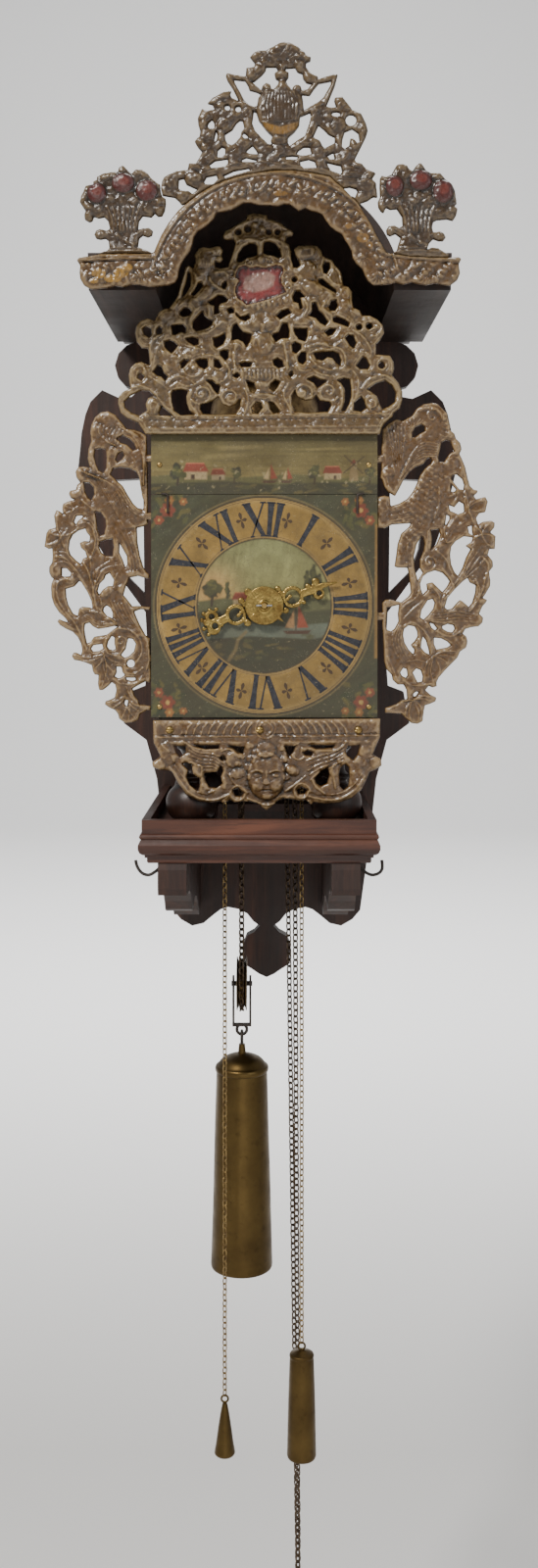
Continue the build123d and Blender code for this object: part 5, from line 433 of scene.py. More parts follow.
class Relief:
    """A casting: a signed distance field s (positive inside) and a height field H above the back, on one grid, then a closed mesh."""

    def __init__(self, x0, x1, z0, z1, cell):
        self.cell = cell
        self.xs = np.arange(x0 - 2 * cell, x1 + 3 * cell, cell)
        self.zs = np.arange(z0 - 2 * cell, z1 + 3 * cell, cell)
        self.X, self.Z = np.meshgrid(self.xs, self.zs, indexing="ij")
        self.s = np.full(self.X.shape, -1e3)
        self.H = np.zeros(self.X.shape)
        self.tint = np.zeros(self.X.shape + (4,))

    def win(self, pts, pad):
        P = np.array(pts)
        x0, x1, z0, z1 = P[:, 0].min() - pad, P[:, 0].max() + pad, P[:, 1].min() - pad, P[:, 1].max() + pad
        i0, i1 = np.searchsorted(self.xs, [x0, x1])
        j0, j1 = np.searchsorted(self.zs, [z0, z1])
        return slice(max(i0 - 1, 0), i1 + 1), slice(max(j0 - 1, 0), j1 + 1)

    def add(self, pts, pad=9.0):
        w = self.win(pts, pad)
        X, Z = self.X[w], self.Z[w]
        d = poly_dist(X, Z, pts)
        sd = np.where(poly_in(X, Z, pts), d, -d)
        self.s[w] = np.maximum(self.s[w], sd)
        return self

    def cut(self, pts, pad=9.0):
        w = self.win(pts, pad)
        X, Z = self.X[w], self.Z[w]
        d = poly_dist(X, Z, pts)
        sd = np.where(poly_in(X, Z, pts), -d, d)
        self.s[w] = np.minimum(self.s[w], sd)
        return self

    def add_circle(self, x, z, r):
        w = self.win([(x, z)], r + 9)
        self.s[w] = np.maximum(self.s[w], r - np.hypot(self.X[w] - x, self.Z[w] - z))

    def cut_circle(self, x, z, r):
        w = self.win([(x, z)], r + 9)
        self.s[w] = np.minimum(self.s[w], np.hypot(self.X[w] - x, self.Z[w] - z) - r)

    def puff(self, edge, w, h):
        t = np.clip(self.s / w, 0, 1)
        self.H = edge + h * np.sqrt(np.clip(1 - (1 - t) ** 2, 0, 1))
        return self

    def lumps(self, cell, amp, seed):
        self.H += amp * 2 * vnoise(self.X + 500, self.Z + 900, cell, seed) * np.clip(self.s / 1.2, 0, 1)
        return self

    def stroke(self, pts, w, h, smooth=True, taper=False):
        """Raised (or, with h < 0, sunk) round line."""
        P = [tuple(p) for p in (catmull(pts, 5) if smooth and len(pts) > 2 else pts)]
        win = self.win(P, 3 * w)
        X, Z = self.X[win], self.Z[win]
        best = np.full(X.shape, 1e9)
        n = len(P) - 1
        for i in range(n):
            d, t = seg_dist(X, Z, P[i], P[i + 1])
            ww = w
            if taper:
                u = (i + t) / n
                ww = w * (0.35 + 0.65 * np.sin(pi * np.clip(u, 0.02, 0.98)) ** 0.6)
            best = np.minimum(best, d / ww)
        self.H[win] += h * np.exp(-best ** 2 * 1.4)
        return self

    def spiral(self, cx, cz, r0, r1, turns, a0, w, h, ccw=True):
        n = max(10, int(abs(turns) * 18))
        pts = []
        for k in range(n + 1):
            t = k / n
            a = a0 + (1 if ccw else -1) * 2 * pi * turns * t
            r = r0 + (r1 - r0) * t
            pts.append((cx + r * cos(a), cz + r * sin(a)))
        return self.stroke(pts, w, h, smooth=False)

    def dome(self, x, z, rx, rz, h, ang=0.0, power=0.5, tint=None):
        w = self.win([(x, z)], max(rx, rz) + 1)
        X, Z = self.X[w] - x, self.Z[w] - z
        u = (X * cos(ang) + Z * sin(ang)) / rx
        v = (-X * sin(ang) + Z * cos(ang)) / rz
        q = u * u + v * v
        self.H[w] += h * np.clip(1 - q, 0, 1) ** power
        if tint is not None:
            a = np.clip((1.0 - q) * 6, 0, 1)[..., None]
            T = self.tint[w]
            T[...] = T * (1 - a) + np.array(tint) * a
        return self

    def plate(self, pts, h, edge=1.0, mode="set", tint=None, pad=2.0):
        """Region at a set height above the back, or raised by h, with a soft edge."""
        w = self.win(pts, pad)
        X, Z = self.X[w], self.Z[w]
        d = poly_dist(X, Z, pts)
        sd = np.where(poly_in(X, Z, pts), d, -d)
        a = np.clip(sd / edge + 0.5, 0, 1)
        a = a * a * (3 - 2 * a)
        self.H[w] = self.H[w] * (1 - a) + h * a if mode == "set" else self.H[w] + h * a
        if tint is not None:
            T = self.tint[w]
            T[...] = T * (1 - a[..., None]) + np.array(tint) * a[..., None]
        return self

    def build(self, name, y_back, mat, body, node=None, min_h=0.8, slot=None, cav_r=1.6, max_h=None):
        s, cell = self.s, self.cell
        H = np.maximum(self.H, min_h)
        if max_h:
            H = np.minimum(H, max_h)
        Hm = np.where(s > 0, H, np.nan)
        fill = np.where(np.isnan(Hm), 0.4, Hm)
        r = max(1, int(round(cav_r / cell)))
        # cav: height against its blurred surround; m_cast paints shade where it is low and highlights where it is high
        cav = np.clip(0.5 + (H - blur(fill, r)) * 0.56, 0, 1)
        inside = s > 0
        nx, nz = s.shape
        vid = -np.ones(s.shape, int)
        I, J = np.nonzero(inside)
        vid[I, J] = np.arange(len(I))
        vx, vz, vh, vc = [self.xs[I]], [self.zs[J]], [H[I, J]], [cav[I, J]]
        vt = [self.tint[I, J]]
        count = len(I)
        eid = {}
        for ax in (0, 1):
            A, B = (inside[:-1], inside[1:]) if ax == 0 else (inside[:, :-1], inside[:, 1:])
            EI, EJ = np.nonzero(A != B)
            E2I, E2J = (EI + 1, EJ) if ax == 0 else (EI, EJ + 1)
            s1, s2 = s[EI, EJ], s[E2I, E2J]
            t = np.clip(s1 / (s1 - s2), 0.08, 0.92)
            vx.append(self.xs[EI] * (1 - t) + self.xs[E2I] * t)
            vz.append(self.zs[EJ] * (1 - t) + self.zs[E2J] * t)
            hin = np.where(s1 > 0, H[EI, EJ], H[E2I, E2J])
            vh.append(np.minimum(hin, np.maximum(min_h, hin * 0.8)))
            cin = np.where(s1 > 0, cav[EI, EJ], cav[E2I, E2J])
            # outline vertices are capped low in cav, so m_cast paints shade along the cut edges
            vc.append(np.minimum(cin, 0.42))
            sel = (s1 > 0)[:, None]
            vt.append(np.where(sel, self.tint[EI, EJ], self.tint[E2I, E2J]))
            m = -np.ones(s.shape, int)
            m[EI, EJ] = count + np.arange(len(EI))
            eid[ax] = m
            count += len(EI)
        vx, vz, vh, vc = map(np.concatenate, (vx, vz, vh, vc))
        vt = np.concatenate(vt)
        full = inside[:-1, :-1] & inside[1:, :-1] & inside[1:, 1:] & inside[:-1, 1:]
        FI, FJ = np.nonzero(full)
        quads = np.stack([vid[FI, FJ], vid[FI + 1, FJ], vid[FI + 1, FJ + 1], vid[FI, FJ + 1]], 1).tolist()
        some = (inside[:-1, :-1] | inside[1:, :-1] | inside[1:, 1:] | inside[:-1, 1:]) & ~full
        polys, rim = [], []
        for i, j in zip(*np.nonzero(some)):
            corner = [(i, j), (i + 1, j), (i + 1, j + 1), (i, j + 1)]
            ed = [eid[0][i, j], eid[1][i + 1, j], eid[0][i, j + 1], eid[1][i, j]]
            p, kind = [], []
            for k in range(4):
                if inside[corner[k]]:
                    p.append(int(vid[corner[k]])); kind.append(0)
                if inside[corner[k]] != inside[corner[(k + 1) % 4]]:
                    p.append(int(ed[k])); kind.append(1)
            if len(p) < 3:
                continue
            polys.append(p)
            m = len(p)
            for k in range(m):
                k2 = (k + 1) % m
                if kind[k] and kind[k2]:
                    rim.append((p[k], p[k2]))
        front = quads + polys
        n = count
        back = [[n + v for v in f[::-1]] for f in front]
        sides = [(b, a, n + a, n + b) for a, b in rim]
        co = np.empty((2 * n, 3))
        co[:n, 0], co[:n, 1], co[:n, 2] = vx, y_back - vh, vz
        co[n:, 0], co[n:, 1], co[n:, 2] = vx, y_back, vz
        me = bpy.data.meshes.new(name)
        me.from_pydata((co * MM).tolist(), [], front + back + sides)
        nf = len(front)
        me.polygons.foreach_set("use_smooth", [True] * len(me.polygons))
        me.set_sharp_from_angle(angle=radians(62))
        a = me.attributes.new("cav", "FLOAT", "POINT")
        a.data.foreach_set("value", np.concatenate([vc, np.full(n, 0.5)]).astype(np.float32))
        c = me.attributes.new("tint", "FLOAT_COLOR", "POINT")
        back_t = np.zeros_like(vt)
        c.data.foreach_set("color", np.concatenate([vt, back_t]).astype(np.float32).ravel())
        me.materials.append(mat)
        o = bpy.data.objects.new(name, me)
        COL.objects.link(o)
        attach(o, body)
        if node:
            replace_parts(o, node)
        return o


# ------------------------------------------------------------------ castings
def casting(name, outs, holes, y_back, mat, body, node, edge=1.3, pw=4.2, ph=2.4, cell=0.7, lump=(2.4, 0.32, 3), draw=None, pre=None, max_h=6.5, cav_r=1.6):
    allp = [p for o in outs for p in o]
    xs, zs = [p[0] for p in allp], [p[1] for p in allp]
    r = Relief(min(xs), max(xs), min(zs), max(zs), cell)
    for o in outs:
        r.add(o)
    for h in holes:
        r.cut(h)
    if pre:
        pre(r)
    r.puff(edge, pw, ph)
    if draw:
        draw(r)
    r.lumps(lump[0], lump[1], lump[2]).lumps(lump[0] * 2.6, lump[1] * 1.3, lump[2] + 1)
    return r.build(name, y_back, mat, body, node, max_h=max_h, cav_r=cav_r)


# ------------------------------------------------------------------ chains
def oval_link(pitch, wire, width, seg=12, ring=6):
    """Unit link: centre line a stadium in the local XY plane, long axis Y."""
    Lh = (pitch + 2 * wire) / 2 - wire / 2
    W = (width - wire) / 2
    st = max(Lh - W, 0.01)
    c = []
    for k in range(seg):
        a = 2 * pi * k / seg
        c.append((W * cos(a), W * sin(a) + (st if sin(a) > 1e-9 else (-st if sin(a) < -1e-9 else 0)), 0))
    c = np.array(c)
    T = np.roll(c, -1, 0) - np.roll(c, 1, 0)
    T /= np.linalg.norm(T, axis=1)[:, None]
    N = np.cross(T, (0, 0, 1.0))
    v = []
    for i in range(seg):
        for k in range(ring):
            a = 2 * pi * k / ring
            v.append(c[i] + wire / 2 * (cos(a) * N[i] + sin(a) * np.array([0, 0, 1.0])))
    f = [(i * ring + k, ((i + 1) % seg) * ring + k, ((i + 1) % seg) * ring + (k + 1) % ring, i * ring + (k + 1) % ring) for i in range(seg) for k in range(ring)]
    return np.array(v), f


def chain(name, path, pitch, wire, width, mat, node, closed=False, side0=(0, 1.0, 0)):
    """Real links, each turned a quarter from the last, laid along a path of points (mm)."""
    P = np.array(path, float)
    if closed:
        P = np.vstack([P, P[:1]])
    seg = np.linalg.norm(np.diff(P, axis=0), axis=1)
    cum = np.concatenate([[0], np.cumsum(seg)])
    n = int(round(cum[-1] / pitch))
    n -= n % 2 if closed else 0
    step = cum[-1] / n
    lv, lf = oval_link(step, wire, width)
    V, F = [], []
    N = np.array(side0, float)
    rng = np.random.default_rng(5)

    def at(s):
        return np.array([np.interp(s, cum, P[:, k]) for k in range(3)])
    for i in range(n):
        s = (i + 0.5) * step
        c = at(s)
        T = at(min(s + step * 0.5, cum[-1])) - at(max(s - step * 0.5, 0))
        T /= np.linalg.norm(T)
        N = N - T * np.dot(N, T)
        N /= np.linalg.norm(N)
        B = np.cross(T, N)
        a = (pi / 4 if i % 2 else -pi / 4) + rng.uniform(-0.10, 0.10)
        X = cos(a) * N + sin(a) * B
        Zl = np.cross(X, T)
        M = np.stack([X, T, Zl], 1)
        off = len(V) * len(lv)
        V.append(lv @ M.T + c)
        F += [tuple(off + q for q in f) for f in lf]
    return_v = np.vstack(V)
    o = mesh_obj(name, return_v.tolist(), F, mat, "case", True, 80)
    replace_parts(o, node)
    return o


def arc_yz(c, r, a0, a1, n=16):
    return [(c[0], c[1] + r * cos(a0 + (a1 - a0) * k / n), c[2] + r * sin(a0 + (a1 - a0) * k / n)) for k in range(n + 1)]


def arc_xz(c, r, a0, a1, n=16):
    return [(c[0] + r * cos(a0 + (a1 - a0) * k / n), c[1], c[2] + r * sin(a0 + (a1 - a0) * k / n)) for k in range(n + 1)]


GC, SC, PC, LC, AC = (3.0, -150.0, -44.9), (-2.5, -90.0, -44.9), (-18.4, -120.0, -304.0), (27.0, -120.0, -800.0), (-0.9, -173.5, 80.0)
loop_path = (arc_xz(GC, 20.3, 0, pi) + arc_yz(PC, 20.0, pi, 2 * pi) + arc_xz(SC, 19.0, pi, 0)[0:] + arc_yz(LC, 8.0, 2 * pi, pi))
chain("main_chain_links", loop_path, 5.0, 1.2, 5.4, CHAIN_M, "main_chain", closed=True)
chain("alarm_chain_links", [(-30.5, -173.5, -608.6)] + arc_xz(AC, 29.6, pi, 0, 24) + [(28.7, -173.5, -568.0)], 4.3, 0.9, 4.3, THIN_M, "alarm_chain")

# ------------------------------------------------------------------ turned pieces
def merge(objs, name):
    """Joins meshes that ride on one body into the first."""
    vs, fs, off = [], [], 0
    mats = []
    idx = []
    for o in objs:
        me = o.data
        mi = []
        for m in me.materials:
            if m not in mats:
                mats.append(m)
            mi.append(mats.index(m))
        vs += [tuple(v.co) for v in me.vertices]
        fs += [tuple(off + v for v in p.vertices) for p in me.polygons]
        idx += [mi[p.material_index] for p in me.polygons]
        off += len(me.vertices)
    me = bpy.data.meshes.new(name)
    me.from_pydata(vs, [], fs)
    me.polygons.foreach_set("use_smooth", [True] * len(me.polygons))
    me.set_sharp_from_angle(angle=radians(48))
    for m in mats:
        me.materials.append(m)
    me.polygons.foreach_set("material_index", idx)
    body = objs[0]["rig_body"]
    for o in objs:
        d = o.data
        bpy.data.objects.remove(o)
        bpy.data.meshes.remove(d)
    o = bpy.data.objects.new(name, me)
    COL.objects.link(o)
    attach(o, body)
    return o


FEET = [(-56.0, -172.0), (55.4, -172.0), (-56.0, -68.0), (55.4, -68.0)]
FOOT_P = [(0, -165.0), (10.5, -165.0), (14.5, -163.6), (18.0, -159.6), (19.7, -153.6), (19.5, -148.0), (17.3, -142.8), (13.2, -138.6), (9.9, -136.9),
          (8.5, -135.3), (9.0, -133.5), (11.2, -132.5), (11.7, -131.4), (11.2, -130.3), (8.7, -129.2), (6.9, -126.2), (6.4, -121.0), (7.0, -115.4), (9.0, -111.4), (11.3, -109.6), (11.4, -106.0), (0, -106.0)]
feet = []
for k, (fx, fy) in enumerate(FEET):
    pr = [FOOT_P[0], FOOT_P[1]] + [tuple(p) for p in catmull(FOOT_P[1:20], 4)][1:] + FOOT_P[20:]
    feet.append(lathe("foot%d" % k, pr, fx, fy, WOOD_FOOT, seg=48, wobble=0.12))
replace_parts(merge(feet, "turned_feet"), "bun_feet")

PX_, PY_, PZ_ = PC
WT = -359.6


def smooth_prof(prof, fixed, n=4):
    """Rounds a profile between its fixed corners."""
    out, start = [], 0
    for k in fixed[1:]:
        part = prof[start:k + 1]
        c = [tuple(p) for p in (catmull(part, n) if len(part) > 2 else part)]
        out += c if not out else c[1:]
        start = k
    return [(max(0.0, r), z) for r, z in out]


# main weight: filled brass can with a rolled shoulder
wp = [(0, -352.65), (2.4, -352.65), (3.2, WT - 0.5), (8, WT - 1.5), (15, WT - 4.5), (19.3, WT - 9.0), (20.9, WT - 10.3), (21.5, WT - 12.3), (21.1, WT - 14.3),
      (20.2, WT - 15.5), (20.5, WT - 17.5), (21.2, WT - 41.0), (22.3, WT - 81.0), (23.6, WT - 131.0), (24.6, -524.0), (24.75, -529.0), (24.2, -531.2), (22.6, -532.0), (0, -532.0)]
w1 = lathe("main_weight_can", smooth_prof(wp, [0, 1, 2, 9, 17, 18], 4), PX_, PY_, BRASS_DARK, body="weight", seg=72, wobble=0.10)
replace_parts(w1, "main_weight")
aw = [(0, -573.0), (2, -573.2), (5.2, -574.6), (9.0, -576.0), (9.5, -577.4), (9.1, -579.0), (9.3, -580.4), (10.3, -610.0), (11.1, -648.0), (11.25, -653.6), (10.6, -655.6), (0, -656.2)]


def hung(name, prof, fixed, x, y, z_eye, mat, body, node):
    a = lathe(name + "_body", smooth_prof(prof, fixed, 4), x, y, mat, body=body, seg=48, wobble=0.05)
    ring = tube(name + "_eye", [(x + 2.6 * cos(t), y, z_eye + 2.6 * sin(t)) for t in np.linspace(0, 2 * pi, 13)[:-1]], 0.8, mat, body, closed=True, refine=3)
    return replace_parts(merge([a, ring], name), node)


hung("alarm_weight_can", aw, [0, 3, 6, 10, 11], 28.7, -173.5, -570.4, BRASS_DARK, "small_weight", "alarm_weight")
cw = [(0, -613.6), (1.6, -614.0), (2.8, -619.0), (4.6, -630.0), (6.6, -644.0), (7.8, -650.8), (7.85, -652.6), (6.8, -653.8), (0, -654.0)]
hung("counterweight_drop", cw, [0, 1, 7, 8], -30.5, -173.5, -611.0, BRASS_DARK, "counterweight", "alarm_counterweight")
tr = tube("lead_tension_ring", [(27 + 14.0 * cos(t), -120.0, -815.9 + 14.0 * sin(t)) for t in np.linspace(0, 2 * pi, 25)[:-1]], 3.0, LEAD, "lead_ring", seg=16, closed=True, refine=3)
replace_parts(tr, "tension_ring")
wh = [tube("wh_ring", [(PX_, PY_ + 4.0 * cos(t), -346.35 + 4.0 * sin(t)) for t in np.linspace(0, 2 * pi, 17)[:-1]], 1.2, IRON, "weight", seg=12, closed=True, refine=3),
      tube("wh_shank", [(PX_, PY_, -350.0), (PX_, PY_, -352.0), (PX_, PY_, -354.6)], 1.25, IRON, "weight", seg=12, refine=0)]
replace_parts(merge(wh, "weight_hook_ring"), "weight_hook")

# pulley: turned sheave with flanged cheeks, all in dark brass, spoke holes kept plain
def ring_x(name, prof, mat, body):
    """prof: (radius, x) lathe about X at the pulley."""
    return lathe(name, prof, PY_, PZ_, mat, body, seg=72, axis="X")


def lathe_x(name, prof, c, mat, body, seg=72, closed=False):
    verts, faces = [], []
    n = len(prof)
    for r, x in prof:
        for k in range(seg):
            a = 2 * pi * k / seg
            verts.append((c[0] + x, c[1] + r * cos(a), c[2] + r * sin(a)))
    for i in range(n if closed else n - 1):
        j = (i + 1) % n
        for k in range(seg):
            k2 = (k + 1) % seg
            faces.append((i * seg + k, i * seg + k2, j * seg + k2, j * seg + k))
    return mesh_obj(name, verts, faces, mat, body, True, 40)


sheave = [(2.1, -4.0), (3.4, -4.0), (3.9, -3.7), (4.6, -3.3), (16.2, -3.3), (16.8, -4.0), (20.6, -4.05), (21.2, -3.8), (21.2, -3.35), (19.4, -3.1), (17.6, -2.2), (16.9, 0.0),
          (17.6, 2.2), (19.4, 3.1), (21.2, 3.35), (21.2, 3.8), (20.6, 4.05), (16.8, 4.0), (16.2, 3.3), (4.6, 3.3), (3.9, 3.7), (3.4, 4.0), (2.1, 4.0)]
pl = lathe_x("pulley_sheave", sheave, (PX_, PY_, PZ_), BRASS_DARK, "pulley", closed=True)
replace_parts(pl, "pulley")

# bell
bp = [(0, 186.0), (10, 185.6), (24, 182.6), (35, 176.0), (41.6, 166.0), (44.6, 152.0), (47.4, 143.0), (49.8, 139.6), (50.0, 139.0), (48.0, 139.0), (47.6, 139.6), (45.0, 144.4),
      (42.4, 152.4), (39.6, 165.0), (33.6, 174.0), (23.2, 180.2), (10, 183.2), (2.6, 183.6)]
bp2 = [(2.6, 186.0)] + [tuple(p) for p in catmull(bp[1:9], 5)] + [tuple(p) for p in catmull(bp[9:17], 5)] + [(2.6, 183.6)]


def lathe_ring(name, prof, cx, cy, mat, body, seg=96):
    verts, faces = [], []
    n = len(prof)
    for r, z in prof:
        for k in range(seg):
            a = 2 * pi * k / seg
            verts.append((cx + r * cos(a), cy + r * sin(a), z))
    for i in range(n):
        j = (i + 1) % n
        for k in range(seg):
            k2 = (k + 1) % seg
            faces.append((i * seg + k, i * seg + k2, j * seg + k2, j * seg + k)[::-1])
    return mesh_obj(name, verts, faces, mat, body, True, 40)


BELL_M = m_metal("bell_bronze", (0.40, 0.27, 0.12), (0.14, 0.085, 0.045), 0.34, 1.0, 60, 0.5)
bl = lathe_ring("bell_turned", bp2, 0.0, -118.0, BELL_M, "case")
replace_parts(bl, "bell")

# rivets, catches and screws: domed heads of real turned form
def dome_head(name, x, yb, z, r, h, mat, slot=False, seg=28):
    prof = [(r, 0.0), (r * 1.0, h * 0.25), (r * 0.86, h * 0.62), (r * 0.55, h * 0.9), (r * 0.2, h)]
    verts, faces = [], []
    for rr, d in prof:
        for k in range(seg):
            a = 2 * pi * k / seg
            dd = d
            if slot and abs(rr * sin(a) * 1.0) < r * 0.14 and rr < r * 0.9:
                dd = d - h * 0.45
            verts.append((x + rr * cos(a), yb - dd, z + rr * sin(a)))
    n = len(prof)
    for i in range(n - 1):
        for k in range(seg):
            k2 = (k + 1) % seg
            faces.append((i * seg + k, i * seg + k2, (i + 1) * seg + k2, (i + 1) * seg + k))
    faces.append(tuple((n - 1) * seg + k for k in range(seg)))
    faces.append(tuple(range(seg))[::-1])
    return mesh_obj(name, verts, faces, mat, "case", True, 45)


# ------------------------------------------------------------------ dial: painted plates
def lin(r, g, b):
    f = lambda c: (c / 255 / 12.92) if c / 255 <= 0.04045 else ((c / 255 + 0.055) / 1.055) ** 2.4
    return np.array([f(r), f(g), f(b)])


class Paint:
    def __init__(self, x0, x1, z0, z1, cell):
        nx, nz = int(round((x1 - x0) / cell)), int(round((z1 - z0) / cell))
        self.xs, self.zs = np.linspace(x0, x1, nx + 1), np.linspace(z0, z1, nz + 1)
        self.X, self.Z = np.meshgrid(self.xs, self.zs, indexing="ij")
        self.C = np.zeros(self.X.shape + (3,))
        self.rng = np.random.default_rng(11)

    def put(self, a, col):
        a = np.clip(a, 0, 1)[..., None]
        self.C = self.C * (1 - a) + np.asarray(col) * a

    def blob(self, x, z, rx, rz, col, ang=0.0, soft=0.35, rough=0.25, seed=1, op=1.0):
        dx, dz = self.X - x, self.Z - z
        u = (dx * cos(ang) + dz * sin(ang)) / rx
        v = (-dx * sin(ang) + dz * cos(ang)) / rz
        q = np.hypot(u, v) + rough * 2 * vnoise(self.X + 300, self.Z + 300, min(rx, rz) * 0.5 + 0.6, seed)
        self.put(np.clip((1 - q) / soft + 0.5, 0, 1) * op, col)

    def poly(self, pts, col, soft=0.8, op=1.0):
        d = poly_dist(self.X, self.Z, pts)
        sd = np.where(poly_in(self.X, self.Z, pts), d, -d)
        self.put(np.clip(sd / soft + 0.5, 0, 1) * op, col)

    def line(self, pts, w, col, op=1.0, soft=0.6):
        d = poly_dist(self.X, self.Z, pts, closed=False)
        self.put(np.clip((w / 2 - d) / soft + 0.5, 0, 1) * op, col)

    def tree(self, x, z, s, seed, dark=(38, 42, 26), mid=(66, 70, 36)):
        self.line([(x, z - s * 1.1), (x + 0.1 * s, z)], 0.22 * s, lin(46, 34, 22))
        r = np.random.default_rng(seed)
        for k in range(7):
            self.blob(x + r.uniform(-0.55, 0.55) * s, z + r.uniform(-0.1, 0.8) * s, r.uniform(0.35, 0.55) * s, r.uniform(0.3, 0.45) * s, lin(*(dark if k < 4 else mid)), seed=seed + k, rough=0.35)
        for k in range(6):
            self.blob(x + r.uniform(-0.5, 0.3) * s, z + r.uniform(0.1, 1.0) * s, 0.16 * s, 0.11 * s, lin(108, 104, 52), seed=seed + k, rough=0.4, op=0.6)

    def barn(self, x, z, w, h, flip=1, roof=(132, 52, 34), wall=(172, 150, 108)):
        self.poly([(x - w / 2, z), (x + w / 2, z), (x + w / 2, z + h * 0.5), (x - w / 2, z + h * 0.5)], lin(*wall), 0.7)
        self.poly([(x - w * 0.58, z + h * 0.46), (x + w * 0.58, z + h * 0.46), (x + w * 0.36 * 1, z + h), (x - w * 0.42, z + h)], lin(*roof), 0.7)
        self.poly([(x + flip * w * 0.05, z), (x + flip * w * 0.22, z), (x + flip * w * 0.22, z + h * 0.3), (x + flip * w * 0.05, z + h * 0.3)], lin(60, 42, 30), 0.6)
        self.line([(x - w * 0.42, z + h * 0.98), (x + w * 0.36, z + h * 0.98)], 0.7, lin(196, 120, 84), 0.7)

    def brush(self, amp, along, across, seed, ang=0.0):
        """Streaks of the brush: noise much longer one way than the other."""
        u = self.X * cos(ang) + self.Z * sin(ang)
        v = -self.X * sin(ang) + self.Z * cos(ang)
        n = vnoise(u * across / along + 700, v + 700, across, seed) + 0.5 * vnoise(u * across / along * 2 + 900, v * 2.3 + 900, across, seed + 1)
        self.C *= (1 + amp * n)[..., None]

    def mesh(self, name, y_front, thick, mat, node, disp=None):
        nx, nz = self.X.shape
        H = np.zeros(self.X.shape) if disp is None else disp
        V = np.stack([self.X.ravel(), (y_front - H).ravel(), self.Z.ravel()], 1)
        idx = np.arange(nx * nz).reshape(nx, nz)
        q = np.stack([idx[:-1, :-1].ravel(), idx[1:, :-1].ravel(), idx[1:, 1:].ravel(), idx[:-1, 1:].ravel()], 1).tolist()
        loop = list(idx[:, 0]) + list(idx[-1, 1:]) + list(idx[-2::-1, -1]) + list(idx[0, -2:0:-1])
        n = nx * nz
        B = [(self.X.ravel()[i], y_front + thick, self.Z.ravel()[i]) for i in loop]
        V = np.vstack([V, B])
        m = len(loop)
        f = q + [(int(loop[(k + 1) % m]), int(loop[k]), n + k, n + (k + 1) % m) for k in range(m)] + [tuple(n + k for k in range(m))[::-1]]
        me = bpy.data.meshes.new(name)
        me.from_pydata((V * MM).tolist(), [], f)
        me.polygons.foreach_set("use_smooth", [True] * len(me.polygons))
        me.set_sharp_from_angle(angle=radians(40))
        a = me.attributes.new("paint", "FLOAT_COLOR", "POINT")
        cc = np.concatenate([self.C.reshape(-1, 3), np.tile(lin(70, 52, 34), (m, 1))])
        cc = np.concatenate([np.clip(cc, 0, 1), np.ones((len(cc), 1))], 1).astype(np.float32)
        a.data.foreach_set("color", cc.ravel())
        me.materials.append(mat)
        o = bpy.data.objects.new(name, me)
        COL.objects.link(o)
        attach(o, "case")
        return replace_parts(o, node)


def dial_mat():
    m, nt, b = new_mat("dial_oil_paint", 0.42, 0.0, 0.5)
    a = nt.nodes.new("ShaderNodeAttribute")
    a.attribute_name = "paint"
    n1 = noise(nt, 70, 5, 0.6)
    n2 = noise(nt, 420, 4, 0.6)
    n3 = noise(nt, 1300, 3, 0.6)
    grime = ramp(nt, noise(nt, 24, 4, 0.6), [(0.36, 0.42), (0.62, 0.06)])
    c = mix(nt, grime, mix(nt, ramp(nt, n1, [(0.3, 0.36), (0.7, 0.06)]), a.outputs["Color"], (0.040, 0.028, 0.012)), (0.045, 0.032, 0.012))
    c = mix(nt, ramp(nt, n2, [(0.60, 0.0), (0.70, 0.35)]), c, (0.06, 0.04, 0.02))
    c = mix(nt, ramp(nt, n2, [(0.28, 0.35), (0.38, 0.0)]), c, (0.30, 0.24, 0.12))
    vec = coords(nt)
    cr = voronoi(nt, 190, vec, "DISTANCE_TO_EDGE")
    c = mix(nt, ramp(nt, cr, [(0.0, 0.30), (0.035, 0.0)]), c, (0.03, 0.02, 0.012))
    chips = math_(nt, "MULTIPLY", ramp(nt, n3, [(0.64, 0.0), (0.67, 1.0)]), ramp(nt, n1, [(0.55, 0.0), (0.62, 1.0)]))
    c = mix(nt, chips, c, (0.36, 0.32, 0.21))
    L(nt, c, b.inputs["Base Color"])
    L(nt, ramp(nt, n1, [(0.3, 0.34), (0.7, 0.55)]), b.inputs["Roughness"])
    b.inputs["Coat Weight"].default_value = 0.1
    b.inputs["Coat Roughness"].default_value = 0.28
    bump(nt, b, n2, 0.25, 0.0005)
    bump(nt, b, math_(nt, "MULTIPLY", cr, -1.0), 0.1, 0.0003)
    return m


DIAL_M = dial_mat()
# lower plate
P = Paint(-86, 86, -85.0, 84.4, 0.8)
R = np.hypot(P.X, P.Z)
P.C[...] = lin(52, 56, 34)
P.brush(0.5, 22, 3.0, 5, 0.6)
rg = np.random.default_rng(77)
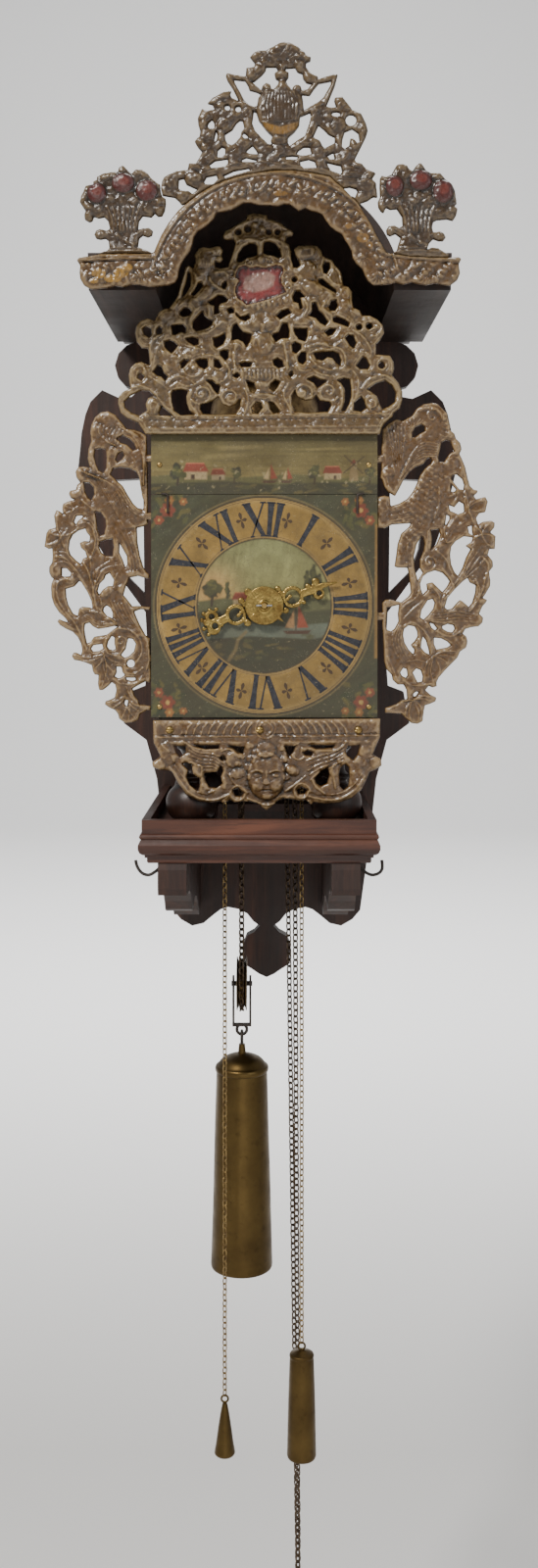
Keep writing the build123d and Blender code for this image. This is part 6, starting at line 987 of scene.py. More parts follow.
# spandrels: dark green with sprays of round blooms and pointed leaves
for sx in (-1, 1):
    for sz in (-1, 1):
        for k in range(26):
            x, z = sx * rg.uniform(60, 86), sz * rg.uniform(58, 85)
            P.blob(x, z, rg.uniform(2.5, 5), rg.uniform(1.2, 2.2), lin(*[(40, 52, 28), (78, 80, 38), (96, 88, 40)][k % 3]), rg.uniform(0, pi), seed=k, rough=0.3, op=0.8)
        cx, cz = sx * 73.5, sz * (72.5 if sz > 0 else 73.5)
        for j, (dx, dz, r0, col) in enumerate([(0, 0, 5.6, (128, 52, 34)), (-sx * 1.5, sz * 7.6, 3.4, (160, 104, 48)), (sx * 6.6, -sz * 7.5, 3.8, (142, 66, 40)), (-sx * 12, sz * 6.5, 3.0, (150, 92, 44))]):
            for q in range(6):
                a = q * pi / 3 + j
                P.blob(cx + dx + 0.58 * r0 * cos(a), cz + dz + 0.58 * r0 * sin(a), 0.46 * r0, 0.38 * r0, lin(*col), a, 0.4, 0.2, seed=q + j, op=0.9)
            P.blob(cx + dx, cz + dz, 0.3 * r0, 0.3 * r0, lin(196, 160, 84), soft=0.5, op=0.9)
# right-hand gold strip where the paint is rubbed to the ground coat
P.poly([(83.6, -40), (86.2, -40), (86.2, 62), (84.2, 62)], lin(150, 112, 52), 0.8, 0.85)
# chapter ring: dull gold
ring = np.clip((82.4 - R) / 0.8 + 0.5, 0, 1) * np.clip((R - 51.0) / 0.8 + 0.5, 0, 1)
gold = np.array(lin(152, 119, 50))
gn = vnoise(P.X + 200, P.Z + 200, 9.0, 21) + 0.6 * vnoise(P.X + 200, P.Z + 200, 3.0, 22)
GC_ = gold * (1 + 0.35 * gn[..., None])
edge_l = np.clip((R - 77) / 4, 0, 1) * np.clip((82.5 - R) / 1.0, 0, 1) + np.clip((55 - R) / 3, 0, 1)
GC_ = GC_ * (1 - 0.6 * edge_l[..., None]) + np.array(lin(190, 158, 92)) * 0.6 * edge_l[..., None]
P.put(ring, GC_)
for rr, w, col in ((82.4, 1.3, (40, 30, 20)), (80.6, 0.7, (96, 70, 36)), (51.0, 1.4, (38, 30, 20)), (53.0, 0.7, (104, 76, 40))):
    P.put(np.clip((w / 2 - np.abs(R - rr)) / 0.5 + 0.5, 0, 1) * 0.9, lin(*col))
P.put(np.clip((0.9 - np.abs(R - 84.0)) / 0.6, 0, 1) * 0.45, lin(150, 128, 78))
# centre scene: a pond with a sailing barge, a dike and a stand of poplars (own design)
inside = np.clip((50.4 - R) / 0.8 + 0.5, 0, 1)
C0 = P.C.copy()
t = np.clip((P.Z + 8) / 55, 0, 1)[..., None]
P.C = np.array(lin(150, 142, 84)) * (1 - t) + np.array(lin(132, 134, 84)) * t
P.C += 0.06 * np.exp(-((P.X + 40) ** 2 + (P.Z - 12) ** 2) / 260)[..., None] * np.array([5.0, 1.2, 0.2])
P.brush(0.30, 18, 2.2, 31, 1.4)
P.poly([(-60, 2), (-30, 6), (-5, 3), (20, 7), (60, 4), (60, -60), (-60, -60)], lin(84, 86, 52), 1.6)
P.poly([(-60, -5), (-20, -3), (10, -7), (60, -2), (60, -60), (-60, -60)], lin(58, 62, 38), 1.6)
P.poly([(-60, -15), (-24, -12), (14, -16), (60, -12), (60, -27), (10, -24), (-60, -28)], lin(92, 100, 84), 1.4)
P.poly([(-60, -27), (-10, -23), (30, -26), (60, -22), (60, -60), (-60, -60)], lin(44, 48, 30), 1.6)
for k in range(40):
    x, z = rg.uniform(-48, 48), rg.uniform(-48, -22)
    P.blob(x, z, rg.uniform(2, 6), rg.uniform(0.8, 1.8), lin(*[(36, 38, 24), (70, 72, 38), (92, 82, 40)][k % 3]), rg.uniform(-0.4, 0.4), seed=k + 9, rough=0.3, op=0.7)
for k, (x, s) in enumerate([(33, 10), (38, 12), (42, 9), (-28, 6.5)]):
    P.blob(x, 5 + s, s * 0.28, s * 1.15, lin(44, 50, 28), 0.05, 0.3, 0.3, seed=50 + k)
    P.blob(x - 0.6, 7 + s, s * 0.14, s * 0.7, lin(88, 90, 46), 0.05, 0.5, 0.4, seed=60 + k, op=0.6)
P.tree(-40, 10, 9, 71)
P.poly([(14, -19), (17, -21.5), (33, -21.5), (36, -18.6)], lin(66, 40, 26), 0.7)
P.line([(24, -20), (24, 2)], 0.9, lin(60, 44, 30))
P.poly([(25, -17), (33.5, -16.5), (26, 0.5)], lin(136, 62, 38), 0.7)
P.poly([(22.8, -17), (15.5, -16.8), (22.6, -3.0)], lin(158, 118, 74), 0.7)
P.barn(-16, 0, 15, 10, 1)
P.line([(-30, -46), (-22, -34), (-20, -26), (-14, -20)], 2.4, lin(124, 104, 62), 0.7, 1.2)
P.C = C0 * (1 - inside[..., None]) + P.C * inside[..., None]
P.put(np.clip((7.0 - R) / 1.0, 0, 1) * 0.5, lin(30, 24, 16))
P.mesh("painted_dial", -190.0, 1.6, DIAL_M, "dial_plate", disp=0.08 * vnoise(P.X + 99, P.Z + 99, 3.0, 8) * (R < 87))

# top panel
T_ = Paint(-86, 86, 84.8, 130.0, 0.8)
t = np.clip((T_.Z - 92) / 36, 0, 1)[..., None]
T_.C = np.array(lin(130, 114, 62)) * (1 - t) + np.array(lin(88, 80, 42)) * t
T_.brush(0.42, 34, 1.8, 41)
T_.poly([(-90, 98), (-62, 100.5), (-20, 97.5), (24, 100), (60, 97), (90, 99.5), (90, 80), (-90, 80)], lin(88, 86, 48), 1.6)
T_.poly([(-90, 92.6), (-30, 94.5), (10, 92.0), (50, 94.2), (90, 92.5), (90, 80), (-90, 80)], lin(50, 52, 32), 1.6)
rg = np.random.default_rng(5)
for k in range(46):
    x, z = rg.uniform(-86, 86), rg.uniform(84, 93)
    T_.blob(x, z, rg.uniform(2, 6), rg.uniform(0.7, 1.5), lin(*[(40, 42, 26), (74, 74, 40), (96, 86, 44)][k % 3]), rg.uniform(-0.3, 0.3), seed=k + 5, rough=0.3, op=0.7)
T_.barn(-52, 96, 17, 12.5, -1)
T_.barn(-35, 95.5, 10, 8.5, 1, (120, 46, 32), (150, 132, 98))
T_.tree(-66, 100, 7.5, 81)
T_.tree(-23, 99, 5.5, 82)
for x0, s in ((4, 1.0), (17, 0.75)):
    T_.poly([(x0 - 6 * s, 95.2), (x0 + 6 * s, 95.2), (x0 + 4 * s, 93.4), (x0 - 4.6 * s, 93.4)], lin(70, 42, 28), 0.6)
    T_.poly([(x0 + 0.6, 96), (x0 + 6.0 * s, 96.6), (x0 + 0.8, 96 + 12 * s)], lin(134, 58, 38), 0.6)
    T_.poly([(x0 - 0.4, 96), (x0 - 4.6 * s, 96.4), (x0 - 0.3, 96 + 9 * s)], lin(176, 150, 104), 0.6)
T_.barn(52, 96, 13, 10, 1, (126, 50, 34))
T_.poly([(64.5, 95), (71.5, 95), (70.2, 108), (65.8, 108)], lin(140, 118, 78), 0.6)
T_.poly([(65.2, 107.5), (70.8, 107.5), (68, 111.5)], lin(110, 46, 32), 0.6)
T_.line([(60.5, 101), (75.5, 113)], 0.8, lin(56, 42, 30)); T_.line([(61, 114), (75, 100.5)], 0.8, lin(56, 42, 30))
T_.tree(38, 99.5, 6.5, 83)
T_.tree(80, 99, 5.5, 84)
rg = np.random.default_rng(9)
for k in range(34):
    x, z = rg.uniform(-84, 84), rg.uniform(86, 112)
    T_.blob(x, z, rg.uniform(0.5, 1.5), rg.uniform(0.4, 1.0), lin(166, 152, 112), rg.uniform(0, 3), 0.4, 0.5, seed=k, op=0.6)
for k in range(5):
    T_.blob(rg.uniform(-70, 70), rg.uniform(112, 127), rg.uniform(8, 16), rg.uniform(0.8, 1.6), lin(146, 130, 78), 0.03, 0.7, 0.3, seed=k + 60, op=0.5)
T_.mesh("painted_top_panel", -190.0, 1.6, DIAL_M, "dial_top_panel")


# ------------------------------------------------------------------ numerals
def prism(polys, y_back, h, name, mat, body="case"):
    """Thin raised shapes from closed outlines (each convex or simple), all in one mesh."""
    V, F = [], []
    for p in polys:
        n, m = len(p), len(V)
        ar = sum(p[i][0] * p[(i + 1) % n][1] - p[(i + 1) % n][0] * p[i][1] for i in range(n))
        q = p if ar > 0 else p[::-1]
        V += [(x, y_back - h, z) for x, z in q] + [(x, y_back, z) for x, z in q]
        F += [tuple(range(m, m + n)), tuple(range(m + n, m + 2 * n))[::-1]]
        F += [(m + (i + 1) % n, m + i, m + n + i, m + n + (i + 1) % n) for i in range(n)]
    return mesh_obj(name, V, F, mat, body, False)


def glyph(ch, w_thick=4.3, w_thin=1.25, h=26.5):
    """Strokes of one roman letter as polygons in its own frame: x across, z up from the foot; returns (polys, advance)."""
    s = 2.1      # serif reach
    out = []

    def bar(x0, x1, lean=0.0, w=w_thick):
        e = 0.35
        out.append([(x0 - w / 2, 1.0), (x0 - w / 2 + e, h / 2), (x1 - w / 2, h - 1.0), (x1 + w / 2, h - 1.0), (x1 + w / 2 - e, h / 2) if lean == 0 else ((x0 + x1) / 2 + w / 2, h / 2), (x0 + w / 2, 1.0)] if lean == 0 else
                   [(x0 - w / 2, 1.0), (x1 - w / 2, h - 1.0), (x1 + w / 2, h - 1.0), (x0 + w / 2, 1.0)])

    def serif(x, z, w):
        out.append([(x - w / 2, z), (x + w / 2, z), (x + w / 2 - 0.5, z + 1.2), (x - w / 2 + 0.5, z + 1.2)])
    if ch == "I":
        bar(0, 0)
        serif(0, 0, w_thick + 1.7); serif(0, h - 1.2, w_thick + 1.7)
        return out, w_thick + 1.9
    if ch == "V":
        d = 5.6
        bar(0, -d, 1, w_thick * 1.05); bar(0.8, d, 1, w_thin)
        serif(-d, h - 1.2, w_thick + 2.0); serif(d, h - 1.2, 4.6)
        return out, 2 * d + 4.2
    d = 5.4
    bar(d, -d, 1, w_thick * 1.05); bar(-d, d, 1, w_thin)
    serif(-d, h - 1.2, w_thick + 1.8); serif(d, h - 1.2, 4.4); serif(-d, 0, 4.4); serif(d, 0, w_thick + 1.8)
    return out, 2 * d + 4.4


NUM_M, nt, b = new_mat("numeral_blue_black", 0.5, 0.0, 0.4)
n1 = noise(nt, 300, 4, 0.6)
c = mix(nt, ramp(nt, n1, [(0.35, 0.0), (0.7, 1.0)]), (0.010, 0.011, 0.016), (0.034, 0.034, 0.040))
c = mix(nt, ramp(nt, noise(nt, 900, 3, 0.6), [(0.66, 0.0), (0.70, 0.8)]), c, (0.30, 0.23, 0.12))
L(nt, c, b.inputs["Base Color"])
bump(nt, b, n1, 0.3, 0.0003)
polys = []
for k, txt in enumerate(["XII", "I", "II", "III", "IIII", "V", "VI", "VII", "VIII", "IX", "X", "XI"]):
    a = pi / 2 - k * pi / 6
    gl = [glyph(c_) for c_ in txt]
    tot = sum(g[1] for g in gl)
    x = -tot / 2
    squeeze = min(1.0, 29.0 / tot)
    for g, adv in gl:
        for p in g:
            q = []
            for u, v in p:
                uu = (x + adv / 2 + u) * squeeze
                r = 52.6 + v
                ang = a - uu / 67.0 * (0.84 + 0.16 * r / 67.0) * 1.0
                q.append((r * cos(ang), r * sin(ang)))
            polys.append(q)
        x += adv
prism(polys, -190.0, 0.22, "chapter_numerals", NUM_M)
CROSS_M, nt, b = new_mat("half_hour_brown", 0.5, 0.0, 0.4)
n1 = noise(nt, 300, 4, 0.6)
L(nt, mix(nt, n1, (0.030, 0.018, 0.010), (0.075, 0.045, 0.022)), b.inputs["Base Color"])
bump(nt, b, n1, 0.3, 0.0003)
polys = []
for k in range(12):
    a = pi / 2 - (k + 0.5) * pi / 6
    cx, cz = 67 * cos(a), 67 * sin(a)
    for j in range(4):
        b_ = a + j * pi / 2
        pet = [(0.5, 0.25), (2.4, 0.95), (4.4, 1.35), (5.8, 0.7), (6.4, 0.0), (5.8, -0.7), (4.4, -1.35), (2.4, -0.95), (0.5, -0.25)]
        sc = 1.0 if j % 2 == 0 else 0.66
        polys.append([(cx + sc * u * cos(b_) - v * sin(b_), cz + sc * u * sin(b_) + v * cos(b_)) for u, v in pet])
prism(polys, -190.0, 0.20, "half_hour_crosses", CROSS_M)

riv = [dome_head("rv%d" % k, x, -190.0, z, 2.0, 1.0, BRASS) for k, (x, z) in enumerate([(-79.5, -77), (79.5, -77), (-79.5, 107), (79.5, 107)])]
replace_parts(merge(riv, "dial_rivet_heads"), "dial_rivets")
scr = [dome_head("sc%d" % k, x, -197.2, -94.0, 2.8, 1.6, BRASS, True) for k, x in enumerate([-71.4, -3.3, 71.0])]
shanks = [tube("sc_shank%d" % k, [(x, -197.4, -94.0), (x, -194.0, -94.0), (x, -190.5, -94.0)], 1.2, BRASS, refine=0) for k, x in enumerate([-71.4, -3.3, 71.0])]
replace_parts(merge(scr + shanks, "apron_screw_heads"), "apron_screws")
cat = []
for k, (sx, cx) in enumerate(((1, -73.2), (-1, 70.6))):
    cat.append(tube("catch%d" % k, [(cx - sx * 5.0, -191.05, 85.0), (cx - sx * 1.6, -191.05, 84.8), (cx - sx * 0.2, -191.05, 83.6), (cx, -191.05, 80.5), (cx, -191.1, 74.0), (cx, -191.0, 70.0)], 0.9, IRON, refine=5))
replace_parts(merge(cat, "dial_catch_wires"), "dial_catches")

# hooks at the tray's ends
hk = []
for k, pts in enumerate(([(-76.6, -226, -193.0), (-80.4, -226, -196.2), (-84.6, -226, -198.3), (-88.6, -226, -197.6), (-91.6, -226, -195.0), (-93.6, -226, -191.4), (-94.5, -226, -187.5)],
                         [(70.7, -226, -193.0), (74.8, -226, -196.4), (79.2, -226, -198.3), (83.8, -226, -197.4), (86.6, -226, -194.6), (87.0, -226, -191.0), (86.6, -226, -187.5)])):
    hk.append(tube("hook%d" % k, pts, 1.15, IRON, refine=5))
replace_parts(merge(hk, "tray_hooks_bent"), "side_hooks")


# ------------------------------------------------------------------ the hand and the alarm disc
def pol(r, deg, cx=0.0, cz=0.0):
    return (cx + r * cos(radians(deg)), cz + r * sin(radians(deg)))


h = Relief(-54, 62, -32, 32, 0.36)
h.add_circle(0, 0, 14.2)
c1, c2 = (21.5, 6.6), (-21.5, -6.9)
h.add_circle(*c1, 8.3)
h.add_circle(*c2, 8.0)
h.add([(27, 5.5), (33, 7.6), (39, 9.4), (45, 13.4), (55.5, 17.4), (55.5, 18.0), (44, 17.4), (36, 14.6), (30, 12.8), (26, 11.6)])
h.add([(-27.5, -5.5), (-35, -9.2), (-37, -14), (-31, -14.4), (-26, -11.8)])
for x, z, q in ((41.3, 9.0, 4.3), (33.0, 14.6, 2.2), (38.9, 18.2, 2.9), (37.5, 15.0, 2.0), (-17.4, 3.6, 2.5), (-14.6, 1.0, 2.2), (-12.5, -12.9, 2.8), (-15.5, -10.5, 2.2), (10.2, 12.6, 2.4), (12.4, 9.0, 2.4), (16.3, -3.6, 2.4), (12.6, -3.6, 2.2),
                (30.0, 2.6, 1.7), (-39.9, -8.7, 5.2), (-38.2, -17.0, 5.2), (-45.8, -6.3, 1.7), (-47.0, -11.1, 1.7), (-45.6, -17.6, 1.7), (-42.2, -22.0, 1.5), (-36.4, -2.8, 1.5), (-43.6, -12.9, 2.6), (-32.6, -14.6, 1.8), (-41.4, -3.6, 1.5)):
    h.add_circle(x, z, q)
h.cut_circle(*c1, 5.5)
h.cut_circle(*c2, 5.2)
h.cut_circle(41.6, 9.6, 2.0)
h.cut_circle(-39.8, -8.3, 2.1)
h.cut_circle(-37.2, -15.4, 2.3)
# a curled tongue inside each ring
for (qx, qz), s in ((c1, 1), (c2, -1)):
    tongue = [(qx - s * (5.8 - 2.6 * t) + s * 0.0, qz - s * 2.4 + s * 3.6 * t) for t in (0, 0.5, 1.0)] + [(qx - s * 1.4, qz + s * 1.2), (qx - s * 1.0, qz - s * 0.4), (qx - s * 2.2, qz - s * 1.2), (qx - s * 3.0, qz - s * 3.2)]
    h.add(tongue)
    h.add_circle(qx - s * 1.7, qz + s * 0.7, 1.25)
h.cut_circle(0, 0, 3.05)
h.puff(0.7, 1.6, 0.7)
h.stroke([(44, 14.6), (55, 17.6)], 0.5, 0.25, False)
for x, z, q in ((38.9, 18.2, 2.2), (33.0, 14.6, 1.6), (-17.4, 3.6, 1.9), (-12.5, -12.9, 2.1), (10.2, 12.6, 1.8), (16.3, -3.6, 1.8), (-45.8, -6.3, 1.3), (-47.0, -11.1, 1.3), (-45.6, -17.6, 1.3), (-41.0, -18.8, 2.2), (-42.6, -10.4, 1.9), (30.0, 2.6, 1.2), (-32.6, -14.6, 1.3), (-42.2, -22.0, 1.1)):
    h.dome(x, z, q, q, 0.4)
h.stroke([(-28, -8.6), (-33, -11.2), (-38, -12.2)], 0.6, 0.3, True)
h.stroke([(29, 9.6), (35, 11.6), (39, 13.2)], 0.6, 0.3, True)
for cc, r0 in ((c1, 6.8), (c2, 6.5)):
    for k in range(16):
        a_ = 2 * pi * k / 16
        h.stroke([(cc[0] + (r0 - 1.0) * cos(a_), cc[1] + (r0 - 1.0) * sin(a_)), (cc[0] + (r0 + 1.0) * cos(a_ + 0.25), cc[1] + (r0 + 1.0) * sin(a_ + 0.25))], 0.28, -0.25, False)
h.lumps(1.6, 0.05, 4)
h.build("sawn_hand", -193.2, BRASS_HAND, "hour", "hour_hand", min_h=0.6, max_h=1.55, cav_r=1.0)

d_ = Relief(-20, 20, -20, 20, 0.32)
d_.add_circle(0, 0, 14.6)
d_.add_circle(*pol(16.0, 140.0), 2.8)
d_.add([pol(13.6, -48), pol(19.4, -40), pol(13.6, -32)])
d_.cut_circle(0, 0, 2.25)
d_.H[...] = 0.75
rr = np.hypot(d_.X, d_.Z)
d_.H += 0.45 * np.clip(d_.s / 0.6, 0, 1)
d_.H += 0.85 * np.clip((4.6 - rr) / 0.4, 0, 1) + 0.5 * np.sqrt(np.clip(1 - (rr / 4.2) ** 2, 0, 1))
for q in (13.7, 9.0, 6.2):
    d_.H -= 0.22 * np.exp(-((rr - q) / 0.22) ** 2)
for k in range(12):
    a_ = 90 - 30 * k
    d_.stroke([pol(9.2, a_ + 15), pol(13.5, a_ + 15)], 0.2, -0.2, False)
    marks = {0: "XII", 1: "I", 2: "II", 3: "III", 4: "IIII", 5: "V", 6: "VI", 7: "VII", 8: "VIII", 9: "IX", 10: "X", 11: "XI"}[k]
    wds = {"I": 0.8, "V": 1.7, "X": 1.7}
    tot = sum(wds[m_] for m_ in marks)
    u = -tot / 2
    for m_ in marks:
        uc = u + wds[m_] / 2
        def pt(du, r_):
            return pol(r_, a_ - degrees_(uc + du) / 11.3)
        degrees_ = lambda v: v * 57.2958
        if m_ == "I":
            d_.stroke([pt(0, 9.8), pt(0, 12.9)], 0.28, -0.26, False)
        elif m_ == "V":
            d_.stroke([pt(0, 9.8), pt(-0.6, 12.9)], 0.26, -0.26, False); d_.stroke([pt(0, 9.8), pt(0.6, 12.9)], 0.2, -0.2, False)
        else:
            d_.stroke([pt(0.6, 9.8), pt(-0.6, 12.9)], 0.26, -0.26, False); d_.stroke([pt(-0.6, 9.8), pt(0.6, 12.9)], 0.2, -0.2, False)
        u += wds[m_]
d_.lumps(1.2, 0.03, 6)
d_.build("alarm_disc_engraved", -195.4, BRASS_HAND, "disc", "alarm_disc", min_h=0.6, max_h=2.6, cav_r=0.8)
pin_ = tube("taper_pin", [(-6.0, -199.6, 0), (-5.6, -199.6, 0), (0, -199.6, 0.0), (5.6, -199.6, 0), (6.0, -199.6, 0)], 0.8, m_metal("steel_pin", (0.42, 0.42, 0.42), (0.2, 0.19, 0.18), 0.35, 1.0, 300, 0.3), "hour", seg=14, refine=0)
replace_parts(pin_, "hand_pin")

# ------------------------------------------------------------------ castings, laid over their cut outlines


def draw_border(r):
    pts_o = arc_pts(8.1, 223.5, 91.0, -12, 192)
    r.stroke([(x, z) for x, z in pts_o], 1.6, 1.1, False)
    pts_i = arc_pts(8.1, 223.5, 79.2, -8, 188)
    r.stroke(pts_i, 1.3, 0.9, False)
    for k in range(30):
        a = radians(2 + 176 * k / 29)
        cx, cz = 8.1 + 85.3 * cos(a), 223.5 + 85.3 * sin(a)
        s = 1 if k % 2 else -1
        r.dome(cx, cz, 4.3, 2.0, 1.2, a + pi / 2 + s * 0.5)
        r.spiral(cx + s * 1.1 * cos(a), cz + s * 1.1 * sin(a), 0.4, 2.4, 0.9, a, 0.6, 0.7, s > 0)


def arc_pts(cx, cz, rad, d0, d1, n=60):
    return [(cx + rad * cos(radians(d0 + (d1 - d0) * k / n)), cz + rad * sin(radians(d0 + (d1 - d0) * k / n))) for k in range(n + 1)]



# ------------------------------------------------------------------ outlines measured in millimetres on each casting's plane
ARCH_BORDER_OUT = [(-136.6, 251.9), (-135.7, 253.7), (-128.0, 254.9), (-119.7, 256.8), (-101.5, 257.3), (-82.3, 256.9), (-80.1, 258.6),
    (-78.7, 262.4), (-75.0, 270.6), (-69.6, 279.7), (-62.3, 288.9), (-55.0, 295.2), (-47.7, 300.7), (-38.5, 306.2),
    (-28.5, 310.6), (-16.7, 313.9), (-5.7, 315.8), (7.1, 317.9), (20.8, 317.9), (34.5, 316.1), (48.2, 313.4), (52.2, 309.6),
    (58.0, 304.8), (67.5, 295.2), (73.3, 286.6), (79.0, 277.0), (83.8, 267.4), (89.6, 257.8), (96.3, 256.4), (105.9, 254.8),
    (125.0, 253.8), (142.3, 254.5), (144.2, 253.1), (142.3, 249.2), (143.2, 242.5), (141.3, 237.7), (135.6, 233.4),
    (129.8, 234.4), (125.0, 235.3), (118.3, 233.9), (112.6, 234.8), (107.8, 236.0), (102.0, 234.4), (96.3, 236.0),
    (92.5, 234.8), (86.7, 234.2), (80.0, 233.9), (76.2, 236.8), (73.8, 241.1), (71.8, 245.9), (67.5, 249.7), (64.7, 254.0),
    (64.0, 258.8), (61.8, 263.1), (58.9, 267.4), (57.0, 271.2), (52.2, 273.9), (48.4, 277.0), (45.5, 280.8), (42.6, 285.6),
    (38.8, 287.4), (34.0, 288.5), (30.2, 290.4), (25.4, 288.3), (22.5, 290.4), (18.7, 293.1), (14.9, 293.3), (10.1, 291.7),
    (5.3, 292.3), (-3.9, 292.5), (-9.4, 294.1), (-14.8, 294.1), (-19.4, 291.4), (-24.0, 288.9), (-29.4, 287.8), (-34.5, 287.0),
    (-36.7, 282.5), (-40.4, 278.8), (-44.0, 276.1), (-48.6, 273.4), (-51.3, 268.8), (-52.2, 264.2), (-54.1, 258.8),
    (-57.7, 254.2), (-60.5, 249.6), (-62.3, 244.2), (-63.0, 239.6), (-65.0, 236.1), (-69.6, 234.1), (-76.0, 233.4),
    (-83.2, 232.6), (-90.5, 234.1), (-96.9, 234.4), (-103.3, 232.6), (-108.8, 233.5), (-114.3, 232.1), (-120.7, 231.2),
    (-126.1, 230.8), (-131.6, 233.9), (-134.2, 238.5), (-134.8, 243.2), (-134.3, 248.3)]
ARCH_BORDER_HOLES = []
HOOD_CREST_OUT = [(-65.3, 297.9), (-62.1, 295.1), (-59.9, 292.4), (-54.9, 294.7), (-47.6, 300.2), (-38.5, 305.6), (-28.4, 310.0),
    (-16.6, 313.4), (-5.7, 315.2), (7.1, 317.4), (20.8, 317.4), (34.5, 315.5), (48.1, 312.8), (52.1, 309.0), (57.9, 304.2),
    (67.4, 294.6), (69.5, 291.8), (70.8, 293.7), (76.0, 295.6), (79.9, 298.3), (82.9, 298.0), (81.8, 308.5), (78.9, 311.4),
    (81.8, 315.7), (75.1, 318.6), (71.3, 322.4), (67.4, 323.3), (66.3, 325.7), (70.9, 334.8), (74.5, 342.1), (75.9, 346.7),
    (74.5, 352.1), (70.9, 359.4), (64.5, 362.1), (60.9, 366.7), (57.2, 371.7), (51.8, 370.8), (51.3, 368.5), (52.7, 363.8),
    (45.4, 364.2), (48.1, 370.4), (51.8, 379.4), (54.0, 387.6), (51.8, 388.1), (45.4, 386.3), (39.9, 384.5), (39.0, 386.7),
    (35.4, 388.1), (33.5, 389.5), (30.8, 393.1), (30.8, 396.3), (34.0, 397.7), (34.3, 400.4), (30.8, 401.8), (29.9, 403.6),
    (25.3, 407.7), (19.9, 410.9), (14.9, 411.8), (10.8, 410.4), (6.2, 407.7), (1.7, 405.4), (-3.8, 405.4), (-7.4, 403.6),
    (-10.2, 400.4), (-6.5, 395.7), (-7.4, 393.1), (-12.9, 392.7), (-13.4, 386.6), (-22.0, 387.6), (-27.0, 389.0),
    (-27.9, 386.7), (-26.6, 383.1), (-22.9, 377.6), (-19.3, 370.4), (-18.8, 368.5), (-23.8, 371.1), (-24.7, 373.1),
    (-23.8, 375.8), (-29.3, 374.9), (-36.6, 371.3), (-41.6, 366.7), (-37.5, 365.6), (-36.1, 362.3), (-42.0, 361.2),
    (-45.2, 363.1), (-48.4, 355.8), (-48.0, 351.2), (-46.6, 346.7), (-47.0, 343.0), (-50.7, 338.9), (-48.4, 334.8),
    (-45.2, 331.2), (-47.5, 326.6), (-49.8, 323.0), (-54.8, 323.0), (-55.8, 318.0), (-64.0, 317.0), (-69.4, 314.9),
    (-72.9, 312.7), (-74.4, 310.0), (-75.3, 304.7), (-74.2, 299.4)]
